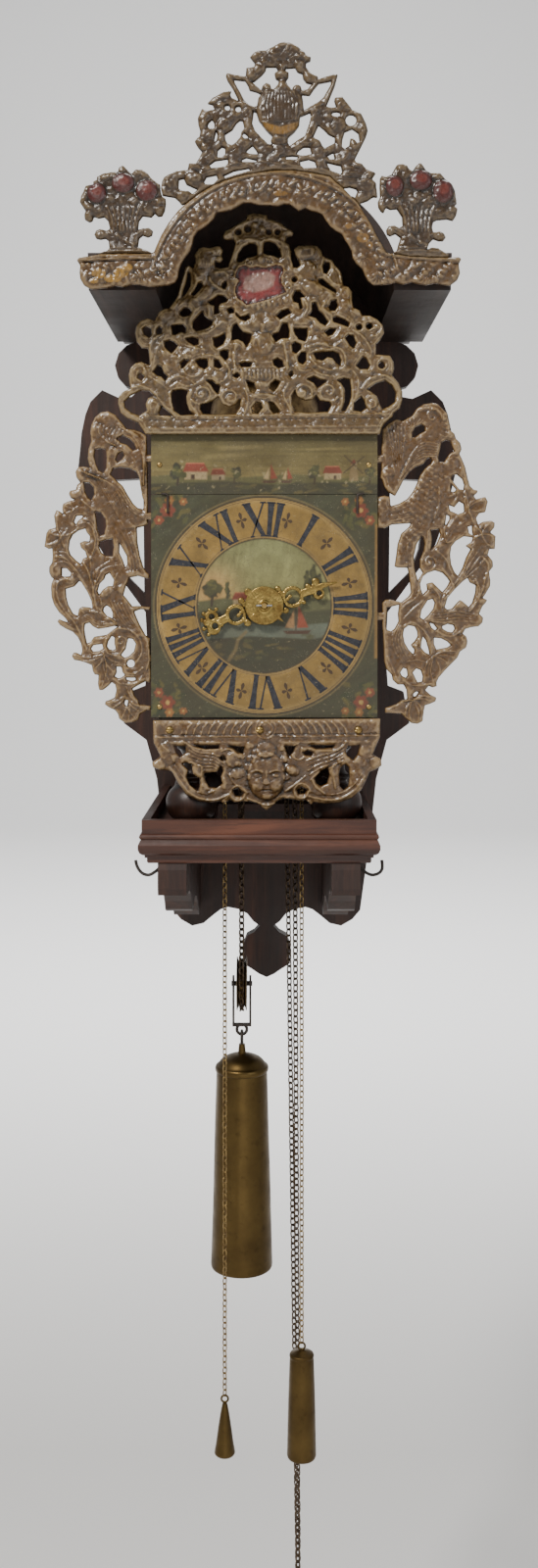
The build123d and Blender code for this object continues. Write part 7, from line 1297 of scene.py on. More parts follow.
HOOD_CREST_HOLES = [[(1.7, 393.1), (8.9, 393.1), (10.3, 390.4), (7.6, 388.6), (8.5, 384.5), (10.8, 383.1), (10.3, 380.4), (7.1, 376.7),
    (5.3, 377.6), (4.4, 380.8), (1.7, 381.7), (-1.1, 379.4), (-2.0, 376.7), (-6.5, 380.4), (-8.8, 382.6), (-7.0, 382.6),
    (-2.0, 386.7), (1.2, 390.4)],
    [(16.2, 392.2), (22.6, 392.7), (24.4, 389.5), (28.1, 388.1), (28.5, 384.9), (30.8, 381.7), (34.9, 380.8), (31.7, 376.9),
    (27.6, 376.5), (26.7, 379.4), (24.4, 380.4), (21.7, 379.4), (20.3, 376.5), (17.1, 380.4), (16.2, 383.1), (18.1, 385.8),
    (18.1, 389.0), (15.8, 390.4)],
    [(-22.0, 384.0), (-13.8, 383.1), (-11.5, 379.4), (-10.6, 376.3), (-5.6, 374.9), (-2.2, 373.3), (-4.2, 370.4), (-5.1, 364.9),
    (-7.0, 364.4), (-11.1, 365.8), (-14.7, 369.4), (-17.4, 374.9), (-21.1, 381.3)],
    [(39.9, 381.1), (49.0, 382.9), (48.8, 380.4), (43.6, 371.3), (39.9, 367.9), (34.5, 364.9), (29.2, 361.6), (28.5, 368.5),
    (27.8, 372.9), (33.5, 372.4), (36.3, 376.7)],
    [(-7.4, 360.8), (-5.6, 359.9), (-3.8, 354.0), (1.7, 346.7), (6.2, 342.4), (4.9, 339.4), (5.8, 336.8), (2.6, 337.4),
    (-2.0, 342.1), (-6.5, 346.7), (-8.6, 352.1), (-7.9, 356.7)],
    [(26.4, 356.7), (33.4, 359.7), (34.5, 357.6), (33.1, 352.1), (29.9, 343.0), (25.3, 340.5), (19.1, 335.9), (17.6, 337.6),
    (17.6, 341.5), (22.6, 345.8), (25.8, 350.3)],
    [(-28.4, 343.9), (-22.9, 347.4), (-20.2, 351.9), (-17.4, 354.2), (-15.6, 353.8), (-14.4, 348.5), (-16.5, 345.9),
    (-17.4, 342.1), (-20.2, 338.7), (-22.9, 336.4), (-26.6, 337.3), (-28.2, 340.3)],
    [(-37.9, 354.7), (-36.3, 352.1), (-36.3, 348.5), (-39.3, 348.2), (-41.3, 349.9), (-40.2, 352.6)],
    [(-34.9, 346.5), (-33.9, 343.0), (-34.9, 339.1), (-36.4, 339.4), (-35.7, 343.0)],
    [(-14.7, 345.1), (-12.0, 343.0), (-11.7, 341.2), (-14.3, 340.9), (-15.9, 343.0)],
    [(-30.7, 334.8), (-28.4, 333.7), (-28.4, 329.4), (-31.1, 327.3), (-34.1, 327.7), (-33.7, 332.1)],
    [(-8.3, 335.6), (-5.6, 332.1), (-4.4, 329.6), (-10.2, 330.0), (-13.1, 331.2), (-11.1, 333.5)],
    [(-40.0, 321.4), (-35.7, 324.6), (-26.6, 326.0), (-26.3, 323.0), (-28.4, 320.4), (-38.4, 319.5)],
    [(-15.8, 325.6), (-12.9, 326.9), (-5.6, 325.1), (-5.3, 323.9), (-16.4, 323.9)],
    [(-29.3, 313.7), (-22.0, 317.2), (-11.1, 319.2), (-10.2, 317.5), (-20.2, 314.8), (-28.4, 312.1)],
    [(-41.9, 312.8), (-34.9, 314.2), (-33.6, 311.2), (-37.5, 307.7), (-42.8, 307.7), (-43.7, 309.3)],
    [(39.9, 350.6), (43.6, 347.6), (47.2, 343.9), (51.6, 341.9), (51.6, 337.8), (48.1, 335.9), (44.5, 334.1), (42.6, 335.9),
    (40.8, 339.4), (36.0, 342.1), (38.1, 346.7)],
    [(59.0, 345.6), (64.5, 347.9), (69.0, 344.7), (69.8, 338.7), (68.0, 337.8), (65.4, 341.0), (63.1, 341.0), (62.2, 335.8),
    (59.0, 333.6), (56.9, 335.0), (57.4, 340.3)],
    [(29.0, 334.6), (33.5, 334.6), (34.7, 329.6), (28.1, 328.6), (23.7, 329.6), (25.3, 331.9)],
    [(16.2, 327.7), (20.8, 328.2), (25.2, 327.7), (23.5, 325.7), (16.2, 325.5)],
    [(26.4, 324.2), (32.6, 325.6), (37.0, 324.2), (38.7, 319.5), (29.0, 319.5), (26.9, 321.2)],
    [(46.3, 328.3), (50.7, 330.6), (51.6, 325.9), (48.1, 325.9)],
    [(46.0, 323.3), (56.1, 321.0), (57.0, 316.8), (56.1, 315.1), (49.0, 317.7), (47.2, 320.3)],
    [(-24.7, 363.3), (-25.1, 362.2), (-26.1, 361.4), (-27.4, 361.4), (-28.4, 362.2), (-28.8, 363.3), (-28.4, 364.5),
    (-27.4, 365.2), (-26.1, 365.2), (-25.1, 364.5)],
    [(-16.6, 362.3), (-17.1, 361.1), (-18.1, 360.3), (-19.5, 360.3), (-20.6, 361.1), (-21.0, 362.3), (-20.6, 363.6),
    (-19.5, 364.4), (-18.1, 364.4), (-17.1, 363.6)],
    [(55.9, 358.7), (55.3, 357.6), (53.7, 357.0), (51.6, 357.0), (50.0, 357.6), (49.4, 358.7), (50.0, 359.8), (51.6, 360.4),
    (53.7, 360.4), (55.3, 359.8)],
    [(67.7, 354.4), (66.9, 352.0), (64.9, 350.5), (62.3, 350.5), (60.3, 352.0), (59.5, 354.4), (60.3, 356.8), (62.3, 358.3),
    (64.9, 358.3), (66.9, 356.8)],
    [(-62.0, 310.9), (-58.7, 311.7), (-56.7, 307.4), (-51.2, 304.9), (-48.7, 303.8), (-52.1, 300.5), (-54.9, 302.7),
    (-60.3, 303.1), (-62.4, 304.7)],
    [(57.7, 304.6), (62.6, 305.4), (67.4, 304.0), (68.2, 302.3), (66.5, 297.9), (61.7, 300.4)]]
BASKET_LEFT_OUT = [(-127.6, 254.6), (-120.3, 257.3), (-114.8, 258.9), (-113.0, 260.8), (-113.5, 266.2), (-115.8, 268.0), (-119.4, 267.3),
    (-122.6, 268.0), (-124.0, 270.8), (-122.6, 273.9), (-119.4, 274.9), (-114.8, 273.5), (-112.6, 275.3), (-113.9, 280.8),
    (-116.7, 283.5), (-121.2, 282.8), (-124.4, 284.0), (-125.3, 280.8), (-127.6, 279.9), (-130.8, 281.7), (-131.2, 285.3),
    (-130.3, 288.1), (-132.1, 290.8), (-134.4, 294.4), (-133.5, 299.0), (-131.7, 302.6), (-130.3, 306.2), (-127.1, 307.2),
    (-124.7, 307.0), (-124.7, 309.4), (-122.1, 310.8), (-122.1, 313.1), (-117.6, 315.3), (-112.1, 316.2), (-106.7, 316.7),
    (-105.8, 319.9), (-103.0, 321.3), (-100.3, 318.5), (-96.7, 315.3), (-93.9, 318.1), (-89.4, 318.5), (-84.8, 315.3),
    (-82.1, 311.7), (-78.5, 309.0), (-75.9, 307.2), (-75.5, 302.1), (-74.4, 298.5), (-71.9, 297.1), (-71.6, 293.5),
    (-72.5, 288.1), (-74.4, 284.4), (-77.5, 284.0), (-79.8, 286.2), (-82.1, 283.5), (-85.7, 284.0), (-88.5, 284.4),
    (-91.2, 280.8), (-92.1, 274.4), (-88.5, 275.3), (-83.9, 275.8), (-81.2, 273.5), (-81.7, 270.3), (-84.8, 268.9),
    (-88.5, 270.3), (-91.2, 268.0), (-92.1, 261.7), (-87.6, 260.0), (-83.0, 258.2), (-81.4, 256.2), (-101.2, 256.6),
    (-119.4, 256.0)]
BASKET_LEFT_HOLES = []
BASKET_RIGHT_OUT = [(135.2, 256.6), (131.4, 258.1), (127.6, 260.9), (122.8, 261.4), (119.0, 260.0), (120.9, 264.8), (123.7, 267.6),
    (127.6, 266.2), (130.9, 266.2), (132.8, 268.6), (131.4, 271.9), (128.5, 273.4), (123.7, 272.4), (122.8, 276.2),
    (123.7, 280.1), (126.6, 281.5), (134.2, 282.0), (138.1, 281.0), (140.4, 284.8), (141.4, 289.6), (139.0, 291.5),
    (140.9, 293.4), (140.0, 298.2), (139.5, 303.0), (137.1, 307.8), (132.3, 311.6), (128.5, 315.9), (121.8, 315.9),
    (118.5, 317.8), (115.1, 322.6), (113.7, 323.2), (111.3, 321.1), (108.5, 317.3), (106.5, 318.3), (104.6, 321.1),
    (100.8, 322.6), (97.0, 321.6), (95.1, 318.3), (93.2, 314.9), (89.3, 313.0), (86.0, 313.8), (84.6, 311.6), (84.4, 304.9),
    (84.8, 298.2), (83.1, 294.4), (83.6, 290.6), (85.5, 287.7), (87.4, 286.7), (89.3, 290.6), (92.2, 289.1), (97.0, 289.6),
    (100.8, 283.9), (101.3, 277.2), (98.9, 275.8), (95.1, 277.7), (91.3, 277.2), (89.3, 274.3), (89.8, 271.0), (92.2, 269.7),
    (96.0, 271.4), (99.8, 268.6), (97.9, 262.9), (97.0, 259.0), (92.2, 256.4), (96.0, 255.7), (105.6, 254.1), (124.7, 253.3),
    (134.7, 253.7)]
BASKET_RIGHT_HOLES = []
LION_CREST_OUT = [(-89.8, 129.6), (-95.5, 138.2), (-104.0, 142.0), (-108.7, 145.8), (-110.6, 152.4), (-110.2, 158.1), (-106.8, 161.9),
    (-101.2, 164.2), (-102.1, 168.5), (-102.6, 174.2), (-101.2, 179.8), (-97.4, 183.6), (-92.7, 184.5), (-88.9, 182.7),
    (-86.8, 182.2), (-87.0, 187.4), (-88.0, 194.5), (-92.7, 194.9), (-96.5, 199.7), (-97.9, 206.3), (-96.9, 211.9),
    (-93.6, 215.7), (-88.0, 217.6), (-83.2, 215.7), (-79.5, 222.3), (-75.7, 224.7), (-71.9, 225.2), (-69.1, 228.9),
    (-65.3, 234.6), (-63.4, 242.2), (-61.5, 249.7), (-59.6, 256.3), (-56.8, 257.3), (-53.9, 255.4), (-52.0, 261.1),
    (-53.0, 265.8), (-50.2, 270.0), (-46.4, 271.4), (-41.7, 270.5), (-36.9, 271.9), (-33.2, 271.9), (-31.3, 268.6),
    (-32.2, 264.8), (-31.3, 262.0), (-33.2, 259.6), (-36.9, 260.1), (-36.9, 256.3), (-33.2, 255.2), (-27.5, 256.3),
    (-25.1, 262.9), (-23.2, 268.6), (-21.8, 274.3), (-23.7, 277.6), (-27.5, 276.9), (-30.8, 277.6), (-31.3, 279.6),
    (-30.0, 283.2), (-26.0, 285.2), (-21.4, 287.9), (-18.1, 289.9), (-14.1, 292.5), (-12.8, 295.8), (-8.2, 297.1),
    (-2.9, 296.5), (1.8, 295.8), (3.1, 292.5), (6.4, 292.5), (9.7, 290.5), (13.7, 289.2), (16.3, 285.9), (20.3, 284.2),
    (22.3, 281.9), (20.9, 279.6), (17.0, 279.1), (16.3, 275.3), (19.0, 272.7), (20.3, 268.0), (20.6, 261.4), (22.3, 256.1),
    (24.9, 255.5), (27.2, 257.5), (25.6, 261.4), (23.3, 265.4), (22.3, 269.4), (25.6, 272.3), (28.9, 272.0), (36.1, 273.0),
    (40.1, 272.0), (43.4, 268.7), (44.8, 264.7), (46.9, 263.4), (51.6, 261.1), (53.5, 257.3), (58.2, 252.6), (59.2, 246.9),
    (60.1, 242.2), (63.9, 241.2), (66.7, 237.4), (66.7, 229.9), (67.7, 225.6), (72.4, 223.3), (74.3, 219.5), (80.0, 219.5),
    (85.6, 216.7), (89.9, 211.9), (90.8, 206.3), (87.5, 200.6), (84.7, 197.8), (84.7, 190.2), (89.4, 189.7), (95.1, 189.3),
    (97.9, 184.5), (98.4, 178.9), (97.0, 174.2), (101.7, 168.5), (104.5, 161.9), (104.5, 155.2), (102.6, 149.6), (97.9, 145.8),
    (97.0, 143.0), (91.3, 138.2), (89.4, 135.4), (87.5, 129.6)]
LION_CREST_HOLES = [[(-105.9, 154.3), (-101.2, 159.0), (-93.6, 162.8), (-87.0, 162.3), (-84.2, 159.0), (-88.0, 157.1), (-89.8, 152.4),
    (-88.9, 147.7), (-94.6, 143.9), (-100.2, 145.8), (-105.0, 149.6)],
    [(-77.6, 150.5), (-73.8, 147.7), (-69.5, 143.3), (-78.5, 144.1), (-79.5, 146.0)],
    [(-69.1, 162.8), (-63.4, 163.6), (-57.7, 162.6), (-59.1, 158.1), (-58.7, 153.4), (-56.8, 147.7), (-53.5, 144.7),
    (-63.4, 144.1), (-68.1, 147.7), (-70.0, 154.3), (-70.3, 160.0)],
    [(-48.1, 152.4), (-43.5, 153.2), (-38.8, 155.1), (-35.0, 157.9), (-33.2, 156.0), (-31.3, 152.4), (-26.6, 150.3),
    (-21.8, 152.2), (-18.2, 156.0), (-18.2, 150.5), (-21.8, 145.1), (-33.2, 144.6), (-46.2, 145.1), (-48.5, 148.6)],
    [(-5.8, 154.1), (-2.2, 153.2), (-1.2, 149.6), (-4.8, 145.5), (-8.4, 146.0), (-9.4, 149.6)],
    [(-13.1, 170.2), (-7.8, 168.3), (-6.4, 163.8), (-7.7, 161.1), (-10.3, 162.1), (-12.2, 166.6)],
    [(-43.4, 170.4), (-39.8, 170.2), (-36.0, 167.3), (-33.4, 166.4), (-34.3, 161.9), (-35.0, 160.2), (-37.7, 162.8),
    (-40.5, 167.5)],
    [(-84.0, 177.0), (-80.4, 182.0), (-77.8, 180.8), (-75.9, 176.0), (-73.0, 173.2), (-74.7, 170.6), (-77.6, 173.2),
    (-81.3, 174.3)],
    [(-95.3, 174.9), (-92.7, 175.4), (-91.0, 173.2), (-92.9, 170.6), (-95.7, 172.3)],
    [(-63.2, 183.6), (-60.5, 186.2), (-57.0, 185.3), (-60.5, 180.9), (-62.2, 179.6)],
    [(-51.9, 185.3), (-48.3, 186.7), (-42.8, 186.2), (-42.8, 180.9), (-45.4, 179.1), (-49.0, 180.8)],
    [(-37.7, 186.2), (-34.3, 185.3), (-31.9, 180.8), (-34.1, 179.5), (-37.7, 180.9)],
    [(-33.4, 192.1), (-30.3, 193.3), (-27.2, 192.8), (-27.2, 187.6), (-29.4, 185.7), (-33.0, 189.3)],
    [(-75.5, 199.7), (-71.9, 200.9), (-68.1, 199.5), (-65.5, 196.8), (-67.2, 194.2), (-70.0, 190.9), (-72.8, 193.0),
    (-75.0, 195.9)],
    [(-59.4, 201.9), (-54.9, 203.2), (-49.9, 202.3), (-49.9, 197.9), (-53.0, 197.0), (-57.5, 199.7)],
    [(-38.6, 202.3), (-35.0, 203.2), (-29.6, 206.1), (-29.1, 202.5), (-31.3, 197.9), (-36.0, 195.1), (-37.7, 196.8)],
    [(-92.0, 209.1), (-89.8, 211.3), (-85.8, 209.8), (-85.3, 205.3), (-87.0, 203.2), (-90.6, 205.3)],
    [(-81.6, 209.1), (-79.5, 211.3), (-77.3, 209.8), (-77.8, 206.3), (-80.4, 205.0), (-81.6, 206.7)],
    [(-70.3, 211.9), (-66.2, 212.7), (-61.5, 212.7), (-59.3, 210.0), (-59.8, 206.4), (-63.4, 207.2), (-67.2, 205.0),
    (-69.3, 205.5)],
    [(-53.8, 214.8), (-51.1, 218.3), (-48.3, 221.2), (-46.6, 222.9), (-45.4, 219.5), (-42.6, 216.9), (-39.0, 215.5),
    (-40.0, 211.9), (-45.4, 209.3), (-51.1, 207.9), (-54.2, 210.0)],
    [(-63.7, 222.3), (-60.5, 225.4), (-56.8, 225.0), (-55.1, 222.3), (-56.8, 219.7), (-61.3, 218.7), (-63.7, 220.2)],
    [(-57.7, 252.4), (-56.3, 251.4), (-55.5, 247.8), (-56.0, 242.2), (-57.7, 238.6), (-60.5, 234.8), (-62.2, 233.4),
    (-61.3, 238.4), (-59.0, 245.0)],
    [(-50.2, 243.9), (-47.5, 244.8), (-46.6, 242.2), (-49.2, 238.6), (-53.0, 234.8), (-54.7, 235.6), (-51.9, 240.3)],
    [(-42.4, 229.9), (-37.9, 232.5), (-35.0, 234.9), (-30.3, 234.4), (-27.7, 231.8), (-28.6, 230.1), (-33.2, 228.7),
    (-34.8, 226.1), (-34.3, 221.6), (-37.7, 220.6), (-37.7, 227.0), (-40.5, 228.0)],
    [(-31.6, 243.1), (-29.1, 245.3), (-28.6, 242.2), (-30.3, 239.5), (-32.0, 241.2)],
    [(-27.8, 224.2), (-25.1, 225.4), (-23.0, 224.2), (-23.0, 221.6), (-26.4, 221.1)],
    [(-21.6, 221.2), (-18.1, 218.3), (-11.6, 220.2), (-11.2, 217.6), (-14.3, 215.4), (-18.1, 216.8), (-20.7, 219.5)],
    [(-23.5, 211.9), (-20.9, 213.6), (-19.2, 211.0), (-16.2, 207.2), (-9.7, 205.1), (-10.7, 200.6), (-13.3, 196.1),
    (-16.0, 199.7), (-19.9, 201.7), (-24.5, 200.8), (-24.5, 207.2)],
    [(-18.8, 183.1), (-15.2, 184.3), (-9.7, 183.4), (-10.7, 180.9), (-16.9, 180.5)],
    [(-23.5, 174.2), (-20.1, 175.8), (-18.7, 174.2), (-20.1, 172.4), (-22.6, 172.9)],
    [(-20.7, 261.4), (-19.4, 266.7), (-16.1, 271.4), (-11.4, 274.0), (-7.0, 273.9), (-5.6, 271.4), (-5.6, 265.5), (-8.2, 264.2),
    (-13.4, 262.9), (-17.4, 260.2), (-20.1, 260.2)],
    [(0.1, 275.2), (4.4, 275.5), (8.4, 273.9), (11.6, 269.4), (12.6, 264.1), (11.0, 262.9), (7.1, 264.9), (2.4, 265.5),
    (-0.7, 266.9), (-0.4, 272.0)],
    [(-17.6, 282.6), (-18.0, 281.3), (-19.1, 280.6), (-20.4, 280.6), (-21.4, 281.3), (-21.8, 282.6), (-21.4, 283.8),
    (-20.4, 284.6), (-19.1, 284.6), (-18.0, 283.8)],
    [(-10.1, 284.9), (-10.5, 283.5), (-11.7, 282.6), (-13.2, 282.6), (-14.4, 283.5), (-14.8, 284.9), (-14.4, 286.3),
    (-13.2, 287.2), (-11.7, 287.2), (-10.5, 286.3)],
    [(5.4, 282.6), (5.0, 281.4), (4.0, 280.7), (2.8, 280.7), (1.8, 281.4), (1.4, 282.6), (1.8, 283.8), (2.8, 284.5),
    (4.0, 284.5), (5.0, 283.8)],
    [(11.9, 282.6), (11.5, 281.5), (10.6, 280.8), (9.5, 280.8), (8.5, 281.5), (8.2, 282.6), (8.5, 283.7), (9.5, 284.4),
    (10.6, 284.4), (11.5, 283.7)],
    [(24.6, 246.6), (24.3, 245.5), (23.5, 244.9), (22.4, 244.9), (21.5, 245.5), (21.2, 246.6), (21.5, 247.6), (22.4, 248.2),
    (23.5, 248.2), (24.3, 247.6)],
    [(44.3, 256.3), (46.0, 259.9), (49.5, 259.4), (49.5, 255.4), (46.9, 250.8), (45.2, 251.8)],
    [(41.4, 246.9), (44.1, 247.2), (49.7, 242.2), (54.3, 238.4), (54.3, 236.7), (49.7, 239.3), (44.1, 242.2), (41.4, 244.5)],
    [(21.6, 233.7), (23.5, 238.2), (26.9, 238.2), (30.7, 233.8), (27.3, 233.2), (28.0, 228.9), (28.8, 225.3), (27.3, 224.4),
    (26.1, 228.9), (22.5, 230.1)],
    [(9.3, 219.5), (12.9, 223.1), (18.4, 224.5), (20.3, 221.6), (16.7, 219.5), (12.1, 216.8)],
    [(6.5, 205.3), (11.0, 207.0), (13.8, 213.6), (17.4, 213.6), (18.9, 208.2), (18.4, 202.7), (12.9, 202.3), (9.1, 199.8),
    (6.5, 203.4)],
    [(33.9, 219.5), (36.3, 223.3), (36.5, 228.7), (39.2, 229.2), (41.2, 223.3), (45.0, 219.5), (48.1, 214.8), (46.0, 212.1),
    (42.4, 213.8), (39.4, 217.6)],
    [(49.0, 226.1), (50.7, 230.6), (54.3, 231.1), (55.7, 227.0), (53.5, 223.4), (49.9, 223.4)],
    [(51.8, 217.6), (54.5, 218.8), (61.1, 216.5), (64.2, 213.8), (63.4, 211.2), (58.2, 212.9), (52.8, 214.8)],
    [(46.1, 207.2), (49.7, 209.8), (54.3, 209.4), (51.6, 205.3), (48.5, 204.1)],
    [(61.3, 202.5), (63.9, 205.1), (67.5, 204.2), (69.4, 198.7), (67.7, 195.1), (65.0, 196.8)],
    [(22.1, 209.8), (26.1, 209.8), (32.5, 209.4), (32.5, 204.4), (30.9, 199.8), (26.1, 201.5), (23.5, 205.3)],
    [(21.1, 197.8), (23.3, 199.5), (27.8, 197.6), (27.8, 194.2), (24.2, 190.9), (21.6, 192.3)],
    [(25.4, 188.3), (28.0, 191.9), (31.6, 191.9), (31.6, 185.5), (29.0, 182.8), (25.8, 184.5)],
    [(37.2, 191.0), (42.2, 191.9), (51.6, 192.4), (56.2, 191.0), (58.0, 185.5), (57.1, 181.9), (54.5, 183.6), (51.6, 187.2),
    (47.9, 188.1), (44.1, 185.5), (39.5, 186.6)],
    [(69.8, 181.7), (74.3, 188.1), (77.1, 187.2), (79.8, 181.7), (78.1, 179.1), (72.6, 179.1)],
    [(6.5, 185.5), (10.1, 187.2), (13.7, 185.3), (14.6, 180.9), (11.0, 180.0), (7.9, 181.7)],
    [(18.8, 175.1), (20.9, 177.3), (21.7, 175.1), (20.0, 173.4)],
    [(32.9, 171.3), (37.5, 173.5), (42.2, 171.3), (47.2, 170.2), (44.1, 167.5), (40.3, 164.9), (37.6, 168.5)],
    [(55.6, 170.4), (60.1, 172.1), (64.7, 171.1), (65.6, 164.7), (65.6, 158.1), (63.9, 152.4), (61.1, 147.4), (58.9, 147.7),
    (61.1, 155.2), (61.1, 163.8), (58.2, 168.5)],
    [(20.6, 158.1), (23.3, 162.6), (25.2, 158.1), (30.9, 155.1), (36.5, 156.0), (39.4, 158.8), (42.2, 155.1), (49.7, 154.1),
    (50.5, 151.5), (47.9, 146.9), (32.7, 146.0), (23.3, 146.9), (21.1, 152.4)],
    [(4.6, 167.5), (8.2, 170.7), (11.8, 169.2), (10.1, 165.6), (7.2, 162.1), (4.1, 164.7)],
    [(3.6, 154.1), (7.2, 153.2), (10.8, 148.6), (11.8, 146.5), (7.2, 145.5), (4.6, 148.6)],
    [(67.9, 153.4), (73.3, 157.9), (76.0, 154.3), (76.9, 149.6), (73.3, 146.9), (67.9, 147.9)],
    [(78.3, 163.8), (84.7, 168.3), (91.3, 170.2), (96.8, 166.4), (99.6, 160.9), (98.7, 154.3), (94.1, 150.7), (89.4, 148.8),
    (87.5, 152.4), (85.6, 158.1), (81.1, 161.9)],
    [(73.8, 210.7), (73.4, 209.5), (72.4, 208.7), (71.1, 208.7), (70.1, 209.5), (69.7, 210.7), (70.1, 211.9), (71.1, 212.7),
    (72.4, 212.7), (73.4, 211.9)],
    [(81.8, 211.5), (81.3, 210.1), (80.2, 209.3), (78.8, 209.3), (77.7, 210.1), (77.2, 211.5), (77.7, 212.8), (78.8, 213.6),
    (80.2, 213.6), (81.3, 212.8)],
    [(91.2, 181.7), (90.7, 180.3), (89.5, 179.4), (88.0, 179.4), (86.8, 180.3), (86.3, 181.7), (86.8, 183.2), (88.0, 184.0),
    (89.5, 184.0), (90.7, 183.2)]]
SIDE_LEFT_OUT = [(-89.6, 129.2), (-93.7, 132.4), (-99.1, 134.2), (-104.6, 134.6), (-108.2, 139.2), (-113.6, 145.5), (-119.0, 148.2),
    (-124.5, 147.3), (-129.0, 143.7), (-131.7, 138.3), (-132.6, 131.9), (-131.9, 125.6), (-134.0, 119.2), (-134.6, 112.0),
    (-133.1, 105.2), (-137.2, 106.1), (-141.7, 105.7), (-143.9, 102.0), (-143.0, 97.5), (-140.3, 93.9), (-142.6, 92.1),
    (-143.5, 88.5), (-148.0, 87.6), (-148.9, 85.3), (-147.6, 82.1), (-144.6, 80.7), (-149.8, 79.4), (-153.4, 77.6),
    (-153.9, 74.0), (-153.2, 69.9), (-156.2, 72.0), (-158.4, 72.9), (-160.2, 68.6), (-158.9, 59.5), (-164.3, 58.1),
    (-166.1, 55.0), (-167.0, 48.6), (-167.5, 45.0), (-164.3, 43.2), (-161.6, 43.7), (-161.2, 37.8), (-161.6, 33.2),
    (-163.9, 29.6), (-163.9, 25.1), (-162.1, 21.5), (-160.5, 20.6), (-162.1, 17.0), (-162.5, 14.8), (-162.5, 12.0),
    (-162.0, 6.2), (-160.1, 0.5), (-156.3, -5.2), (-151.6, -9.5), (-149.4, -12.6), (-153.4, -11.6), (-156.3, -10.2),
    (-157.7, -11.9), (-155.8, -14.7), (-151.1, -17.6), (-145.8, -20.0), (-142.0, -24.2), (-139.6, -29.0), (-138.7, -33.8),
    (-139.6, -37.6), (-143.0, -35.9), (-145.3, -35.7), (-146.6, -38.5), (-144.9, -41.4), (-141.1, -41.9), (-136.3, -43.3),
    (-131.5, -45.2), (-130.6, -50.0), (-129.2, -52.4), (-126.3, -52.8), (-126.8, -59.5), (-125.8, -64.3), (-123.0, -64.3),
    (-119.2, -61.4), (-116.3, -58.3), (-113.6, -60.2), (-112.7, -64.3), (-114.1, -70.0), (-118.2, -71.9), (-121.0, -72.8),
    (-121.5, -75.2), (-118.2, -77.6), (-113.9, -79.5), (-111.5, -82.4), (-110.6, -86.2), (-105.8, -89.5), (-101.0, -89.0),
    (-96.3, -87.2), (-94.4, -82.6), (-89.6, -79.7), (-86.3, -79.5), (-86.3, -76.4), (-94.8, -75.0), (-96.3, -71.9),
    (-99.0, -68.1), (-100.4, -63.3), (-96.3, -60.7), (-90.6, -57.8), (-87.2, -58.6), (-86.3, -55.7), (-86.6, -37.6),
    (-87.0, -25.2), (-90.6, -22.4), (-95.3, -13.8), (-98.2, -7.1), (-99.0, -4.4), (-94.4, -2.7), (-86.9, -3.3), (-86.9, -1.1),
    (-95.3, -0.1), (-100.6, -0.4), (-105.6, 6.0), (-107.5, 8.1), (-105.6, 14.8), (-102.8, 21.3), (-96.3, 22.7), (-90.6, 21.0),
    (-87.4, 20.5), (-87.7, 23.9), (-89.6, 25.6), (-91.9, 28.7), (-94.8, 37.8), (-96.7, 48.6), (-97.1, 59.3), (-92.8, 60.4),
    (-88.7, 62.0), (-88.7, 71.7), (-88.8, 101.2)]
